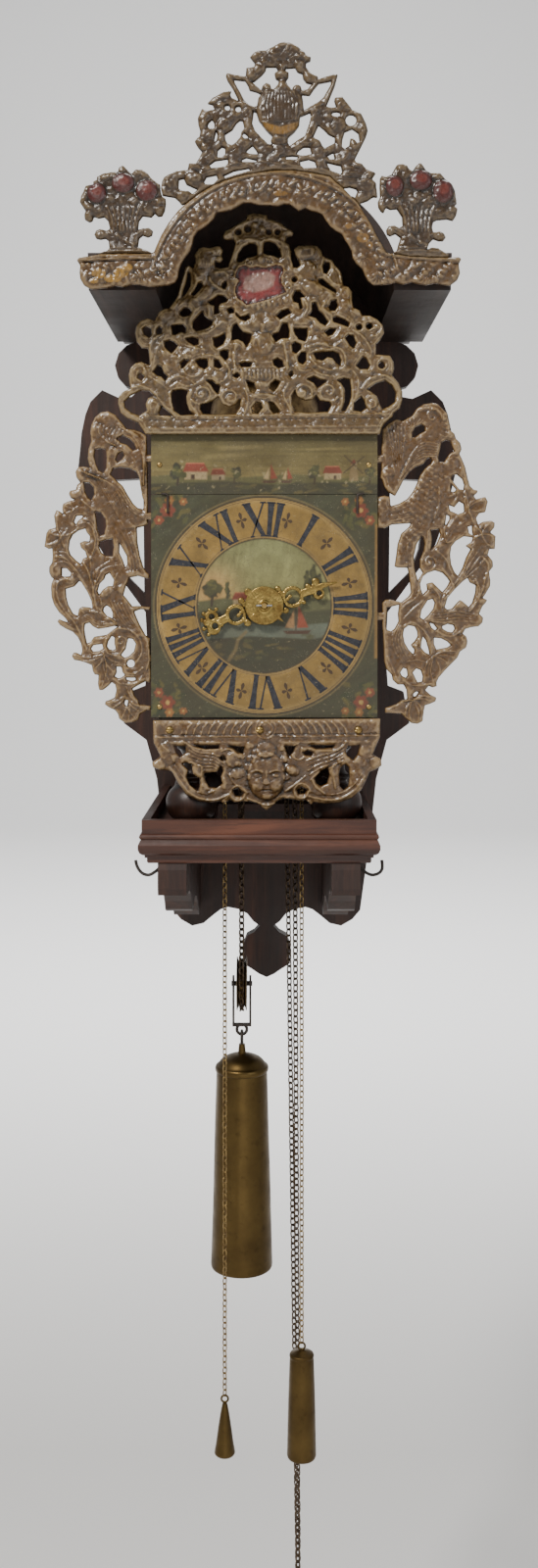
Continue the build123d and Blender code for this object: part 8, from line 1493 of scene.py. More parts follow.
SIDE_LEFT_HOLES = [[(-117.2, 100.1), (-115.2, 104.6), (-110.0, 105.5), (-102.8, 104.6), (-97.3, 101.9), (-95.2, 97.5), (-94.3, 90.3),
    (-93.0, 83.0), (-91.3, 78.5), (-92.3, 73.5), (-96.4, 74.4), (-100.0, 77.9), (-104.6, 85.1), (-108.0, 91.4), (-112.7, 95.5)],
    [(-112.5, 127.2), (-108.2, 129.8), (-102.9, 127.2), (-99.3, 123.6), (-97.6, 119.2), (-100.0, 118.5), (-104.6, 122.7),
    (-109.1, 124.2)],
    [(-111.6, 115.6), (-108.2, 117.1), (-106.6, 114.7), (-108.2, 112.0), (-111.6, 109.5), (-113.3, 111.3)],
    [(-128.8, 119.1), (-125.4, 119.9), (-121.0, 119.1), (-120.1, 112.9), (-120.6, 104.8), (-122.7, 101.4), (-126.1, 103.1),
    (-128.4, 108.4), (-129.6, 113.8)],
    [(-137.4, 93.7), (-133.5, 93.6), (-130.1, 90.1), (-129.6, 84.8), (-131.7, 80.6), (-134.3, 82.3), (-136.5, 86.7)],
    [(-128.8, 71.8), (-124.5, 70.9), (-121.1, 65.8), (-120.7, 60.4), (-122.3, 54.4), (-125.2, 53.5), (-127.0, 57.7),
    (-127.9, 64.9)],
    [(-125.2, 48.5), (-120.9, 50.2), (-115.7, 51.0), (-114.8, 45.0), (-115.7, 38.0), (-120.9, 38.0), (-124.3, 40.7),
    (-126.0, 45.0)],
    [(-110.3, 47.4), (-108.2, 43.9), (-104.8, 37.8), (-104.4, 31.4), (-105.9, 29.1), (-108.0, 35.1), (-110.6, 40.5)],
    [(-143.3, 68.4), (-139.2, 68.8), (-138.2, 67.7), (-141.7, 64.9), (-143.5, 62.0), (-145.0, 64.0)],
    [(-146.0, 54.1), (-141.7, 57.3), (-136.4, 58.8), (-135.3, 55.7), (-132.9, 53.0), (-133.3, 49.0), (-137.2, 49.4),
    (-140.6, 47.9), (-139.7, 44.1), (-136.4, 41.2), (-135.2, 37.0), (-138.1, 36.0), (-139.9, 31.8), (-143.3, 34.3),
    (-147.8, 38.9), (-149.1, 43.2), (-148.3, 49.5)],
    [(-154.2, 28.5), (-150.7, 28.5), (-147.3, 25.1), (-147.8, 22.6), (-152.1, 22.1), (-154.2, 22.6)],
    [(-141.1, 18.8), (-139.2, 17.5), (-134.6, 10.1), (-131.7, 3.4), (-130.9, -2.0), (-134.4, -1.1), (-138.7, -0.7),
    (-141.2, -2.3), (-142.2, -7.7), (-145.8, -6.0), (-149.4, 0.5), (-150.9, 6.2), (-151.3, 12.7), (-144.9, 14.6)],
    [(-118.0, 25.0), (-114.6, 19.6), (-115.5, 15.0), (-119.2, 15.0), (-123.0, 12.2), (-125.8, 8.5), (-127.1, 11.0),
    (-125.6, 16.7), (-122.0, 20.3), (-120.9, 23.4)],
    [(-120.1, 0.2), (-117.4, -1.6), (-115.6, -5.2), (-115.6, -9.7), (-119.9, -7.8), (-122.7, -4.2), (-122.3, -1.6)],
    [(-136.6, -14.0), (-133.2, -13.0), (-130.6, -15.7), (-126.8, -17.8), (-120.1, -16.8), (-114.4, -15.5), (-111.9, -15.9),
    (-115.3, -18.4), (-120.1, -22.1), (-129.6, -23.6), (-132.5, -27.8), (-135.2, -28.7), (-136.6, -22.4), (-137.2, -17.6)],
    [(-130.4, -30.2), (-123.6, -29.2), (-122.7, -32.6), (-125.8, -34.5), (-130.4, -35.0), (-132.1, -32.8)],
    [(-119.0, -27.1), (-116.3, -23.1), (-114.2, -24.2), (-114.2, -29.0), (-113.2, -32.6), (-115.3, -34.0), (-118.5, -33.1),
    (-119.8, -30.9)],
    [(-104.7, -28.1), (-103.7, -24.9), (-100.3, -25.4), (-98.0, -29.0), (-99.3, -34.7), (-103.0, -38.3), (-106.6, -39.7),
    (-109.2, -37.6), (-105.6, -32.8)],
    [(-112.8, -46.4), (-108.9, -46.8), (-107.9, -50.9), (-106.2, -52.8), (-108.7, -54.6), (-111.3, -55.4), (-114.0, -53.8),
    (-112.5, -50.9)],
    [(-105.6, -54.9), (-98.4, -54.9), (-98.0, -56.5), (-101.0, -57.4), (-104.7, -56.5)],
    [(-98.7, -44.1), (-99.2, -45.9), (-100.8, -47.0), (-102.7, -47.0), (-104.2, -45.9), (-104.8, -44.1), (-104.2, -42.3),
    (-102.7, -41.2), (-100.8, -41.2), (-99.2, -42.3)],
    [(-103.1, -74.1), (-103.5, -75.5), (-104.3, -76.4), (-105.4, -76.4), (-106.2, -75.5), (-106.6, -74.1), (-106.2, -72.7),
    (-105.4, -71.8), (-104.3, -71.8), (-103.5, -72.7)]]
SIDE_RIGHT_OUT = [(90.1, 134.6), (94.2, 138.7), (100.5, 142.3), (105.1, 141.0), (112.3, 144.6), (115.9, 150.0), (121.4, 153.7),
    (128.6, 154.6), (132.2, 153.7), (135.9, 150.0), (139.5, 146.4), (140.4, 141.9), (141.7, 137.4), (141.5, 133.7),
    (144.9, 131.0), (146.0, 127.4), (149.4, 123.8), (150.3, 119.2), (148.7, 115.6), (150.5, 112.0), (153.1, 105.7),
    (154.9, 97.5), (156.7, 91.2), (159.4, 88.5), (162.6, 88.0), (162.1, 85.8), (159.6, 83.8), (161.2, 81.2), (164.8, 82.1),
    (168.4, 83.0), (170.3, 79.4), (168.4, 71.3), (163.9, 70.4), (161.4, 66.8), (163.0, 61.8), (166.6, 64.0), (173.0, 64.9),
    (175.7, 63.1), (175.2, 59.5), (172.2, 55.9), (176.1, 53.2), (175.7, 43.2), (171.6, 43.2), (170.3, 38.7), (173.9, 34.2),
    (174.3, 29.6), (171.3, 26.0), (172.1, 19.7), (172.5, 20.5), (172.0, 14.8), (168.7, 9.1), (166.5, 6.0), (169.9, 4.3),
    (168.2, 1.5), (166.3, -0.4), (163.7, -6.2), (166.8, -9.0), (166.3, -12.8), (163.4, -15.7), (157.7, -16.4), (153.2, -17.8),
    (151.2, -21.4), (153.9, -23.3), (154.9, -27.1), (153.9, -31.9), (149.2, -34.9), (147.2, -39.5), (144.4, -42.4),
    (138.7, -48.1), (132.9, -54.8), (131.2, -58.6), (131.5, -61.4), (128.2, -62.4), (125.3, -61.1), (122.7, -64.3),
    (126.3, -67.6), (131.1, -70.0), (130.6, -72.8), (126.3, -74.8), (122.5, -75.9), (121.5, -80.5), (120.6, -88.1),
    (116.8, -90.0), (112.0, -89.5), (107.2, -85.2), (104.4, -82.4), (92.0, -81.6), (92.0, -77.8), (100.5, -75.0),
    (104.4, -72.1), (108.9, -71.1), (108.5, -64.3), (106.3, -60.2), (101.5, -60.0), (97.9, -56.6), (97.2, -52.8), (92.9, -48.1),
    (91.3, -42.4), (90.5, -23.3), (89.9, -13.8), (89.9, 2.4), (92.0, 4.5), (95.8, 5.0), (104.4, 2.6), (110.1, 7.2),
    (111.8, 10.1), (111.0, 16.7), (110.1, 24.3), (109.1, 28.9), (101.5, 29.1), (99.6, 29.9), (99.2, 29.6), (100.5, 37.8),
    (101.6, 46.8), (104.4, 55.0), (110.7, 60.4), (111.4, 62.9), (97.1, 61.8), (96.0, 61.1), (91.5, 59.0), (85.6, 59.5),
    (85.3, 71.3), (85.6, 83.0), (91.5, 84.0), (95.8, 83.0), (96.2, 76.7), (96.9, 76.0), (102.4, 77.6), (108.7, 81.2),
    (113.2, 86.7), (115.9, 92.1), (118.7, 99.2), (122.3, 104.6), (126.8, 108.2), (127.7, 110.9), (125.9, 112.7), (124.1, 111.8),
    (121.4, 108.2), (115.0, 105.5), (110.5, 101.9), (106.0, 95.5), (102.5, 88.5), (99.7, 83.5), (94.2, 86.7), (91.5, 90.3),
    (89.7, 95.7), (88.3, 97.5), (89.2, 104.8), (89.2, 119.2), (89.7, 128.3)]
SIDE_RIGHT_HOLES = [[(113.0, 128.5), (112.5, 131.9), (115.2, 136.2), (119.6, 138.0), (122.5, 136.3), (122.1, 133.0), (118.7, 131.2),
    (115.0, 128.5)],
    [(132.5, 112.9), (135.1, 124.4), (138.6, 126.2), (141.6, 125.3), (144.6, 117.6), (141.1, 115.8), (136.8, 109.7),
    (133.3, 109.7)],
    [(143.3, 99.3), (146.7, 100.1), (151.0, 96.4), (152.3, 92.1), (151.8, 88.4), (148.7, 88.7), (145.1, 93.0), (142.5, 96.6)],
    [(142.5, 92.8), (146.4, 88.5), (144.9, 86.9), (142.4, 86.9), (141.9, 90.3)],
    [(140.6, 76.7), (144.9, 75.1), (148.5, 79.6), (152.0, 77.4), (152.3, 71.5), (147.6, 69.7), (141.5, 72.4)],
    [(137.8, 61.7), (138.8, 69.2), (141.1, 68.4), (141.1, 65.8), (138.6, 61.7)],
    [(127.0, 57.5), (133.0, 58.3), (134.2, 54.1), (131.3, 47.0), (127.1, 42.7), (127.9, 50.5)],
    [(121.2, 51.9), (122.1, 46.8), (121.2, 41.4), (118.5, 35.1), (118.5, 28.7), (120.8, 25.1), (117.0, 19.3), (114.4, 28.7),
    (114.0, 37.8), (116.1, 46.8), (119.6, 52.7)],
    [(142.5, 45.0), (146.0, 49.3), (152.2, 52.9), (159.0, 52.0), (158.1, 48.8), (153.4, 45.7), (157.2, 43.0), (153.8, 36.9),
    (151.0, 28.7), (147.6, 22.8), (145.1, 25.3), (142.5, 31.4), (141.6, 38.7)],
    [(155.1, 60.2), (158.3, 61.0), (158.3, 57.7), (159.0, 53.5), (156.0, 55.2)],
    [(118.8, 16.7), (120.8, 22.2), (124.4, 25.0), (130.1, 26.9), (135.8, 25.0), (139.4, 21.3), (141.2, 18.6), (139.4, 14.8),
    (135.8, 10.4), (132.0, 14.1), (128.2, 17.9), (123.6, 16.9), (124.2, 12.0), (120.8, 8.5), (119.3, 12.9)],
    [(154.9, 21.2), (156.8, 17.5), (161.2, 15.6), (160.8, 10.1), (158.5, 2.4), (155.8, -1.0), (153.0, 1.7), (149.2, 4.5),
    (146.1, 1.5), (143.2, -2.1), (139.6, -3.0), (137.5, -1.2), (139.8, 6.2), (145.3, 12.6), (151.1, 18.4)],
    [(124.6, 4.1), (128.2, 5.1), (129.8, 2.4), (128.8, -2.3), (125.3, -6.8), (121.5, -10.5), (118.9, -9.0), (119.9, -3.3)],
    [(126.0, -13.0), (129.1, -14.0), (131.6, -17.4), (130.1, -18.7), (127.4, -16.6)],
    [(135.5, -15.7), (139.6, -14.0), (144.2, -14.9), (145.1, -17.6), (143.4, -20.2), (139.6, -19.7), (136.0, -17.6)],
    [(106.5, -17.8), (110.1, -15.0), (114.7, -15.9), (116.5, -19.5), (116.9, -23.3), (114.7, -26.9), (111.6, -29.8),
    (114.5, -33.8), (113.7, -37.0), (110.1, -33.6), (106.9, -28.1), (105.8, -22.4)],
    [(120.8, -23.5), (123.2, -26.4), (125.1, -32.8), (125.9, -37.2), (122.5, -35.5), (119.4, -31.9), (119.9, -27.1)],
    [(129.3, -24.4), (134.9, -25.0), (139.4, -27.3), (142.1, -30.0), (139.6, -31.7), (131.2, -33.4), (129.3, -29.0)],
    [(103.6, -50.9), (105.9, -47.4), (108.5, -48.3), (109.3, -52.8), (108.0, -54.9), (105.0, -53.6)],
    [(113.1, -50.9), (115.8, -47.9), (119.4, -49.2), (120.8, -53.8), (120.3, -57.8), (116.8, -58.3), (115.0, -54.8)],
    [(113.6, -67.1), (115.8, -65.4), (117.5, -65.9), (115.8, -68.8), (113.6, -69.2)],
    [(93.6, -1.6), (102.8, 0.8), (101.8, -6.2), (102.3, -11.9), (99.4, -17.4), (96.7, -19.5), (93.6, -18.4), (92.7, -15.7)]]
APRON_OUT = [(-84.2, -86.8), (87.9, -85.3), (87.5, -99.4), (85.7, -103.7), (82.0, -112.3), (88.2, -116.0), (88.8, -120.9),
    (84.5, -123.9), (79.6, -125.8), (77.1, -131.9), (73.4, -139.3), (66.1, -145.4), (56.3, -149.1), (45.2, -149.7),
    (37.2, -148.7), (35.4, -150.6), (31.7, -146.9), (26.8, -147.5), (20.7, -146.3), (14.6, -145.7), (9.6, -148.1),
    (6.0, -151.8), (1.7, -154.8), (-2.6, -151.8), (-5.1, -149.3), (-11.2, -148.1), (-16.1, -147.9), (-22.2, -148.7),
    (-25.9, -146.9), (-30.8, -149.9), (-33.3, -147.9), (-40.7, -149.1), (-49.2, -147.9), (-59.1, -142.9), (-65.2, -134.4),
    (-69.5, -125.8), (-73.8, -124.5), (-79.9, -123.9), (-84.2, -122.1), (-84.8, -118.4), (-81.2, -116.0), (-78.7, -113.5),
    (-81.2, -108.6), (-83.6, -103.7), (-84.0, -99.4)]
APRON_HOLES = [[(-67.9, -106.2), (-59.3, -106.4), (-59.3, -111.0), (-63.7, -114.5), (-66.7, -111.0)],
    [(-52.7, -105.7), (-34.2, -105.7), (-34.8, -108.1), (-44.3, -108.6), (-49.0, -107.4)],
    [(-26.9, -106.2), (-15.1, -106.8), (-16.1, -112.0), (-19.8, -110.8), (-23.2, -108.0)],
    [(15.4, -106.2), (23.5, -106.2), (21.9, -110.8), (18.5, -114.2), (16.6, -109.8)],
    [(34.4, -105.7), (53.0, -105.5), (51.4, -107.4), (39.1, -108.3)],
    [(63.3, -106.2), (72.0, -105.7), (70.7, -112.3), (67.3, -116.7), (62.6, -113.3), (61.7, -109.8)],
    [(29.5, -111.0), (33.0, -109.3), (37.0, -111.0), (35.4, -113.3), (30.8, -113.1)],
    [(-33.7, -114.7), (-30.8, -113.6), (-29.2, -116.0), (-32.1, -117.1)],
    [(-61.9, -119.6), (-59.1, -118.7), (-55.0, -119.9), (-53.8, -127.0), (-48.9, -130.9), (-48.9, -136.8), (-50.5, -140.0),
    (-56.4, -135.6), (-58.8, -129.5), (-57.6, -124.5)],
    [(-45.3, -127.0), (-39.4, -126.0), (-35.8, -125.8), (-32.7, -120.9), (-31.1, -124.5), (-32.9, -129.5), (-31.7, -134.4),
    (-35.8, -137.8), (-41.6, -137.2), (-44.7, -131.9)],
    [(-23.9, -139.3), (-19.8, -138.5), (-15.9, -141.7), (-17.4, -144.4), (-22.0, -143.9)],
    [(24.6, -139.3), (28.1, -137.1), (32.6, -139.3), (30.5, -142.1), (25.8, -142.7)],
    [(38.1, -130.7), (42.8, -124.8), (48.0, -122.5), (49.3, -128.2), (47.4, -134.4), (42.8, -136.6), (39.3, -134.4)],
    [(56.5, -127.0), (57.7, -122.3), (61.2, -120.0), (64.0, -122.3), (64.5, -129.5), (63.4, -136.8), (60.0, -139.5),
    (57.1, -136.8)]]

DRAW = {}


def D(name):
    return DRAW.get(name)


def make_castings():
    casting("border_cast", [ARCH_BORDER_OUT], ARCH_BORDER_HOLES, -232.0, CAST_HOOD, "case", "hood_border_casting", 1.6, 3.0, 1.6, 0.75, (2.4, 0.35, 3), D("border"))
    casting("crest_cast", [HOOD_CREST_OUT], HOOD_CREST_HOLES + [ARCH_BORDER_OUT], -232.0, CAST_CREST, "case", "hood_crest_casting", 1.5, 3.6, 2.4, 0.65, (2.2, 0.35, 7), D("crest"))
    casting("baskets_cast", [BASKET_LEFT_OUT, BASKET_RIGHT_OUT], [ARCH_BORDER_OUT], -232.0, CAST_CREST, "case", "basket_castings", 1.5, 4.5, 2.4, 0.65, (2.2, 0.35, 9), D("baskets"))
    casting("lion_cast", [LION_CREST_OUT], LION_CREST_HOLES, -193.0, CAST_LION, "case", "movement_crest_casting", 1.3, 3.2, 2.3, 0.72, (2.0, 0.32, 11), D("lion"))
    tabs = lambda s, zs: [[(s * 78, z - 3), (s * 92, z - 3), (s * 92, z + 3), (s * 78, z + 3)] for z in zs]
    casting("side_cast_left", [SIDE_LEFT_OUT] + tabs(-1, (112, 68, -40)), SIDE_LEFT_HOLES, -185.0, CAST_SIDE, "case", "side_casting_left", 1.2, 2.8, 2.2, 0.65, (2.0, 0.3, 13), D("side_left"))
    casting("side_cast_right", [SIDE_RIGHT_OUT] + tabs(1, (112, 72, -8)), SIDE_RIGHT_HOLES, -185.0, CAST_SIDE, "case", "side_casting_right", 1.2, 2.8, 2.2, 0.65, (2.0, 0.3, 17), D("side_right"))

    def pre(r):
        for x, z in ((-71.4, -94.0), (-3.3, -94.0), (71.0, -94.0)):
            r.cut_circle(x, z, 1.3)
    casting("apron_cast", [APRON_OUT], APRON_HOLES, -194.0, CAST_SIDE, "case", "apron_casting", 1.2, 2.6, 2.0, 0.6, (2.0, 0.28, 19), D("apron"), pre=pre)


DRAW["border"] = draw_border


class Pen:
    """Draws on a relief in the coordinates of one drawing sheet."""

    def __init__(self, r, crop, Y):
        self.r, self.c, self.Y, self.u = r, crop, Y, unit(crop, Y)

    def p(self, x, y):
        return mm(self.c, [(x, y)], self.Y)[0]

    def st(self, w, h, *pts, **k):
        P_ = mm(self.c, pts, self.Y)
        self.r.stroke(P_, w, h, **k)
        return self

    def do(self, x, y, rx, ry, h, ang=0.0, tint=None, power=0.5):
        cx, cz = self.p(x, y)
        self.r.dome(cx, cz, rx * self.u, ry * self.u, h, -radians(ang), power, tint)
        return self

    def sp(self, x, y, r0, r1, turns, a0, w=0.6, h=0.7, cw=True):
        cx, cz = self.p(x, y)
        self.r.spiral(cx, cz, r0 * self.u, r1 * self.u, turns, radians(a0), w, h, not cw)
        return self

    def row(self, a, b, n, rx, ry, h, ang=0.0):
        for k in range(n):
            t = k / max(1, n - 1)
            self.do(a[0] + (b[0] - a[0]) * t, a[1] + (b[1] - a[1]) * t, rx, ry, h, ang)
        return self

    def flat(self, pts, h, tint=None, edge=1.0, mode="set"):
        self.r.plate(mm(self.c, pts, self.Y), h, edge, mode, tint)
        return self


def contour(r, amp=0.28, period=2.3, reach=4.6):
    """Fine mouldings that run along every edge of the straps."""
    r.H += amp * np.cos(2 * pi * np.clip(r.s, 0, reach) / period + pi) * np.clip(r.s / 0.8, 0, 1) * np.clip((reach - r.s) / 1.0, 0, 1)


def draw_lion(r):
    contour(r, 0.22)
    a = Pen(r, "C20", -196.5)
    # canopy
    a.st(1.1, 0.7, (270, 290), (350, 240), (450, 170), (560, 120), (660, 100), (760, 110), (860, 150), (960, 200), (1040, 250))
    a.st(0.9, 0.6, (380, 370), (460, 330), (560, 330), (680, 350), (800, 320), (900, 350), (980, 400), (1010, 500), (1050, 620))
    a.st(0.9, 0.6, (390, 400), (360, 500), (320, 600)).st(0.8, 0.7, (680, 360), (680, 480))
    a.row((560, 80), (740, 70), 4, 34, 30, 0.8)
    for x, y in ((330, 270), (420, 160), (620, 160), (700, 200), (860, 130), (960, 190), (1020, 240)):
        a.do(x, y, 38, 30, 0.8)
    # lions beside the shield
    b = Pen(r, "C12", -196.5)
    b.do(780, 175, 88, 90, 1.8).do(870, 125, 46, 40, 1.2).do(890, 190, 28, 24, 0.9).do(750, 250, 70, 70, 0.9)
    for q in range(6):
        b.st(0.35, 0.5, (720 + q * 22, 210 + (q % 2) * 10), (730 + q * 20, 250), (745 + q * 18, 280))
    b.do(740, 340, 56, 70, 1.2, 20).st(1.2, 1.5, (810, 340), (850, 400), (930, 440)).st(1.1, 1.2, (860, 300), (920, 290), (960, 320))
    b.do(760, 470, 90, 44, 1.5, -35).do(690, 560, 52, 60, 1.3).st(1.1, 1.1, (700, 600), (660, 680), (680, 740)).st(1.0, 1.0, (800, 560), (810, 620), (800, 650))
    b.st(0.8, 0.9, (640, 250), (600, 360), (560, 490)).st(0.8, 0.9, (690, 300), (710, 380), (650, 470)).do(900, 570, 44, 30, 1.0)
    c = Pen(r, "C13", -196.5)
    c.do(470, 130, 92, 62, 1.8).do(420, 130, 40, 36, 1.0).do(570, 130, 50, 62, 1.0).do(480, 290, 92, 88, 1.5, 10)
    for q in range(6):
        c.st(0.35, 0.5, (500 + q * 18, 200), (520 + q * 16, 250), (530 + q * 14, 300))
    c.do(540, 420, 96, 52, 1.5, 25).do(650, 500, 64, 60, 1.3).st(1.1, 1.2, (640, 540), (620, 590), (680, 630), (700, 660))
    c.st(1.0, 1.1, (480, 520), (500, 580), (470, 640)).st(0.9, 0.8, (630, 190), (620, 260), (700, 380), (760, 400)).st(0.9, 0.8, (690, 200), (750, 280), (770, 370))
    c.do(800, 460, 46, 50, 0.9).do(800, 560, 44, 50, 0.8).do(880, 620, 40, 34, 0.8)
    # scroll work, left then right
    b.do(460, 630, 60, 44, 0.9).sp(310, 760, 8, 66, 1.2, 200, 0.7, 0.8, False).st(0.8, 0.8, (430, 720), (400, 800), (340, 880), (350, 980)).st(0.6, 0.7, (470, 800), (400, 900), (370, 1000))
    b.do(520, 560, 40, 36, 0.8).do(580, 700, 50, 26, 0.6).st(0.9, 0.9, (730, 790), (800, 780), (860, 740), (920, 690)).do(900, 700, 62, 50, 1.2).do(770, 790, 50, 26, 0.9, 10)
    b.do(840, 720, 40, 36, 0.7).st(0.7, 0.7, (620, 880), (700, 900), (780, 920)).do(680, 920, 46, 36, 0.9)
    b.row((590, 960), (760, 930), 6, 22, 40, 0.8).sp(690, 1050, 8, 96, 1.3, 300, 0.8, 0.9).do(690, 1050, 30, 30, 1.0)
    b.st(0.7, 0.9, (760, 960), (860, 970), (940, 1020), (970, 1090), (930, 1160), (850, 1190)).st(0.5, 0.7, (900, 910), (960, 870), (990, 800), (960, 720))
    b.do(880, 1130, 50, 44, 0.8).st(0.9, 0.8, (480, 1180), (540, 1130), (620, 1140), (700, 1190)).st(0.6, 0.7, (500, 1220), (560, 1180), (640, 1210), (740, 1170), (800, 1120))
    b.sp(980, 1300, 6, 100, 1.7, 90, 0.8, 1.0, False).do(980, 1300, 34, 34, 1.0).st(0.8, 0.9, (1100, 1230), (1120, 1330), (1090, 1430))
    b.sp(750, 1270, 6, 92, 1.5, 30, 0.8, 1.0).st(0.9, 0.9, (660, 1260), (660, 1350), (720, 1430)).do(760, 1280, 36, 36, 0.8)
    b.st(0.9, 0.9, (500, 1260), (520, 1360), (580, 1440)).st(0.9, 0.9, (110, 1380), (90, 1310), (150, 1240), (260, 1210), (360, 1250), (440, 1350), (540, 1440))
    b.do(360, 1370, 62, 70, 1.4).sp(360, 1370, 4, 50, 1.1, 0, 0.5, 0.5).st(1.0, 0.9, (120, 1400), (180, 1440), (270, 1480))
    b.sp(250, 1090, 8, 78, 1.2, 140, 0.8, 0.9, False).do(410, 1180, 50, 40, 0.9).st(0.7, 0.7, (330, 1130), (400, 1170), (480, 1230)).do(470, 1060, 40, 40, 0.8)
    b.row((420, 960), (500, 940), 3, 26, 40, 0.7, -30).do(540, 990, 40, 40, 0.7).do(1020, 880, 46, 30, 0.7).st(1.4, 1.2, (1030, 870), (1010, 960), (1020, 1080))
    for q in range(7):
        b.st(0.3, 0.45, (1100 + q * 6, 1180 + q * 38), (1135, 1190 + q * 38))
    c.st(0.8, 0.9, (640, 930), (740, 900), (800, 960), (800, 1040)).sp(1030, 730, 8, 80, 1.2, 330, 0.8, 0.9).st(0.8, 0.8, (870, 760), (950, 820), (1000, 900), (1010, 960))
    c.st(0.6, 0.7, (880, 820), (930, 880), (980, 960)).row((880, 930), (980, 960), 3, 30, 34, 0.7, 20).st(0.9, 0.8, (480, 900), (600, 870), (700, 890), (780, 840), (840, 790))
    c.st(0.7, 0.8, (520, 940), (600, 910), (690, 920)).do(590, 850, 80, 32, 0.9, 20).do(590, 720, 60, 40, 0.9, 20).st(0.7, 0.8, (380, 720), (400, 800), (480, 850))
    c.do(450, 690, 70, 34, 1.0).do(680, 1000, 50, 40, 1.2).st(0.9, 0.9, (530, 990), (590, 1050), (680, 1080), (740, 1060)).st(0.6, 0.7, (520, 1050), (600, 1110), (720, 1130))
    c.do(800, 1070, 46, 34, 1.0).st(1.0, 0.9, (850, 1070), (900, 1140), (900, 1260), (850, 1400)).sp(460, 1260, 6, 104, 1.7, 90, 0.8, 1.0).do(460, 1260, 34, 34, 1.0)
    c.st(0.8, 0.9, (350, 1180), (310, 1280), (370, 1400)).sp(670, 1250, 6, 90, 1.5, 150, 0.8, 1.0, False).st(0.9, 0.9, (770, 1210), (780, 1320), (740, 1410))
    c.sp(1110, 1040, 8, 76, 1.2, 40, 0.8, 0.9).st(0.9, 0.9, (930, 1230), (1000, 1150), (1110, 1120), (1200, 1180), (1240, 1280), (1180, 1380), (1080, 1420))
    c.sp(1020, 1340, 6, 70, 1.5, 200, 0.6, 0.8).do(1010, 1330, 56, 60, 1.0).st(0.7, 0.7, (960, 1340), (1020, 1410), (1120, 1440))
    c.st(0.7, 0.8, (420, 1000), (440, 1080), (520, 1080)).do(440, 1060, 50, 40, 0.8).st(1.4, 1.2, (310, 860), (330, 960), (340, 1060)).do(300, 850, 50, 34, 0.7)
    for q in range(7):
        c.st(0.3, 0.45, (270, 1170 + q * 36), (310, 1180 + q * 36))
    # middle: mask, bud, ribbed cushion, baluster
    c.do(140, 700, 110, 80, 1.1).do(90, 700, 40, 44, 0.8).do(190, 700, 40, 44, 0.8).do(140, 740, 22, 40, 0.8).st(0.35, -0.5, (60, 690), (90, 672), (115, 690)).st(0.35, -0.5, (165, 690), (190, 672), (220, 690))
    c.st(0.4, -0.5, (60, 770), (140, 780), (220, 768)).do(145, 860, 92, 96, 1.7).do(120, 840, 40, 50, 0.6).do(180, 900, 40, 40, 0.4)
    c.st(0.6, 0.6, (-60, 1010), (60, 1000), (140, 1020), (240, 1000)).st(0.5, 0.5, (-90, 1050), (60, 1060), (260, 1045))
    for q in range(13):
        c.do(-120 + q * 32, 1110, 15, 44, 0.85)
    c.do(145, 1190, 60, 26, 0.7).st(0.8, 0.8, (50, 1290), (140, 1270), (240, 1290)).do(145, 1290, 90, 26, 0.9).do(145, 1370, 40, 50, 0.9)
    # base rail
    for y, w, h in ((1448, 0.5, 0.8), (1478, 0.9, -0.5), (1545, 0.8, 0.6)):
        b.st(w, h, (300, y), (800, y), (1254, y - 6), smooth=False)
        c.st(w, h, (150, y - 6), (600, y - 16), (1150, y - 20), smooth=False)
    # the shield
    sh = [(400, 720), (430, 650), (500, 625), (560, 655), (640, 640), (720, 655), (790, 640), (860, 620), (930, 640), (945, 700), (912, 760), (920, 830), (958, 890), (970, 930), (900, 962),
          (800, 1000), (720, 1030), (640, 1050), (570, 1065), (520, 1080), (480, 1040), (420, 1000), (395, 930), (402, 860), (440, 800), (400, 765)]
    a.st(1.5, 1.2, *(sh + [sh[0]]))
    a.flat(sh, 2.3, (0.21, 0.028, 0.026, 1.0), 0.8)
    a.flat([(500, 760), (600, 715), (760, 690), (850, 740), (830, 850), (740, 900), (600, 930), (480, 890)], 2.45, (0.36, 0.205, 0.165, 0.85), 2.2)
    a.sp(560, 590, 6, 62, 1.2, 180, 0.5, 0.9).sp(775, 575, 6, 66, 1.2, 0, 0.5, 0.9, False).do(680, 560, 40, 40, 0.9)
    a.sp(970, 740, 6, 60, 1.1, 90, 0.5, 0.8).sp(990, 850, 6, 56, 1.1, 270, 0.5, 0.8).sp(350, 730, 6, 56, 1.1, 90, 0.5, 0.8, False).do(390, 800, 52, 36, 1.1)
    for q in range(9):
        a.do(470 + q * 62, 1105 - abs(q - 3) * 16 + (0 if q < 4 else -6), 30, 42, 0.9, 0)


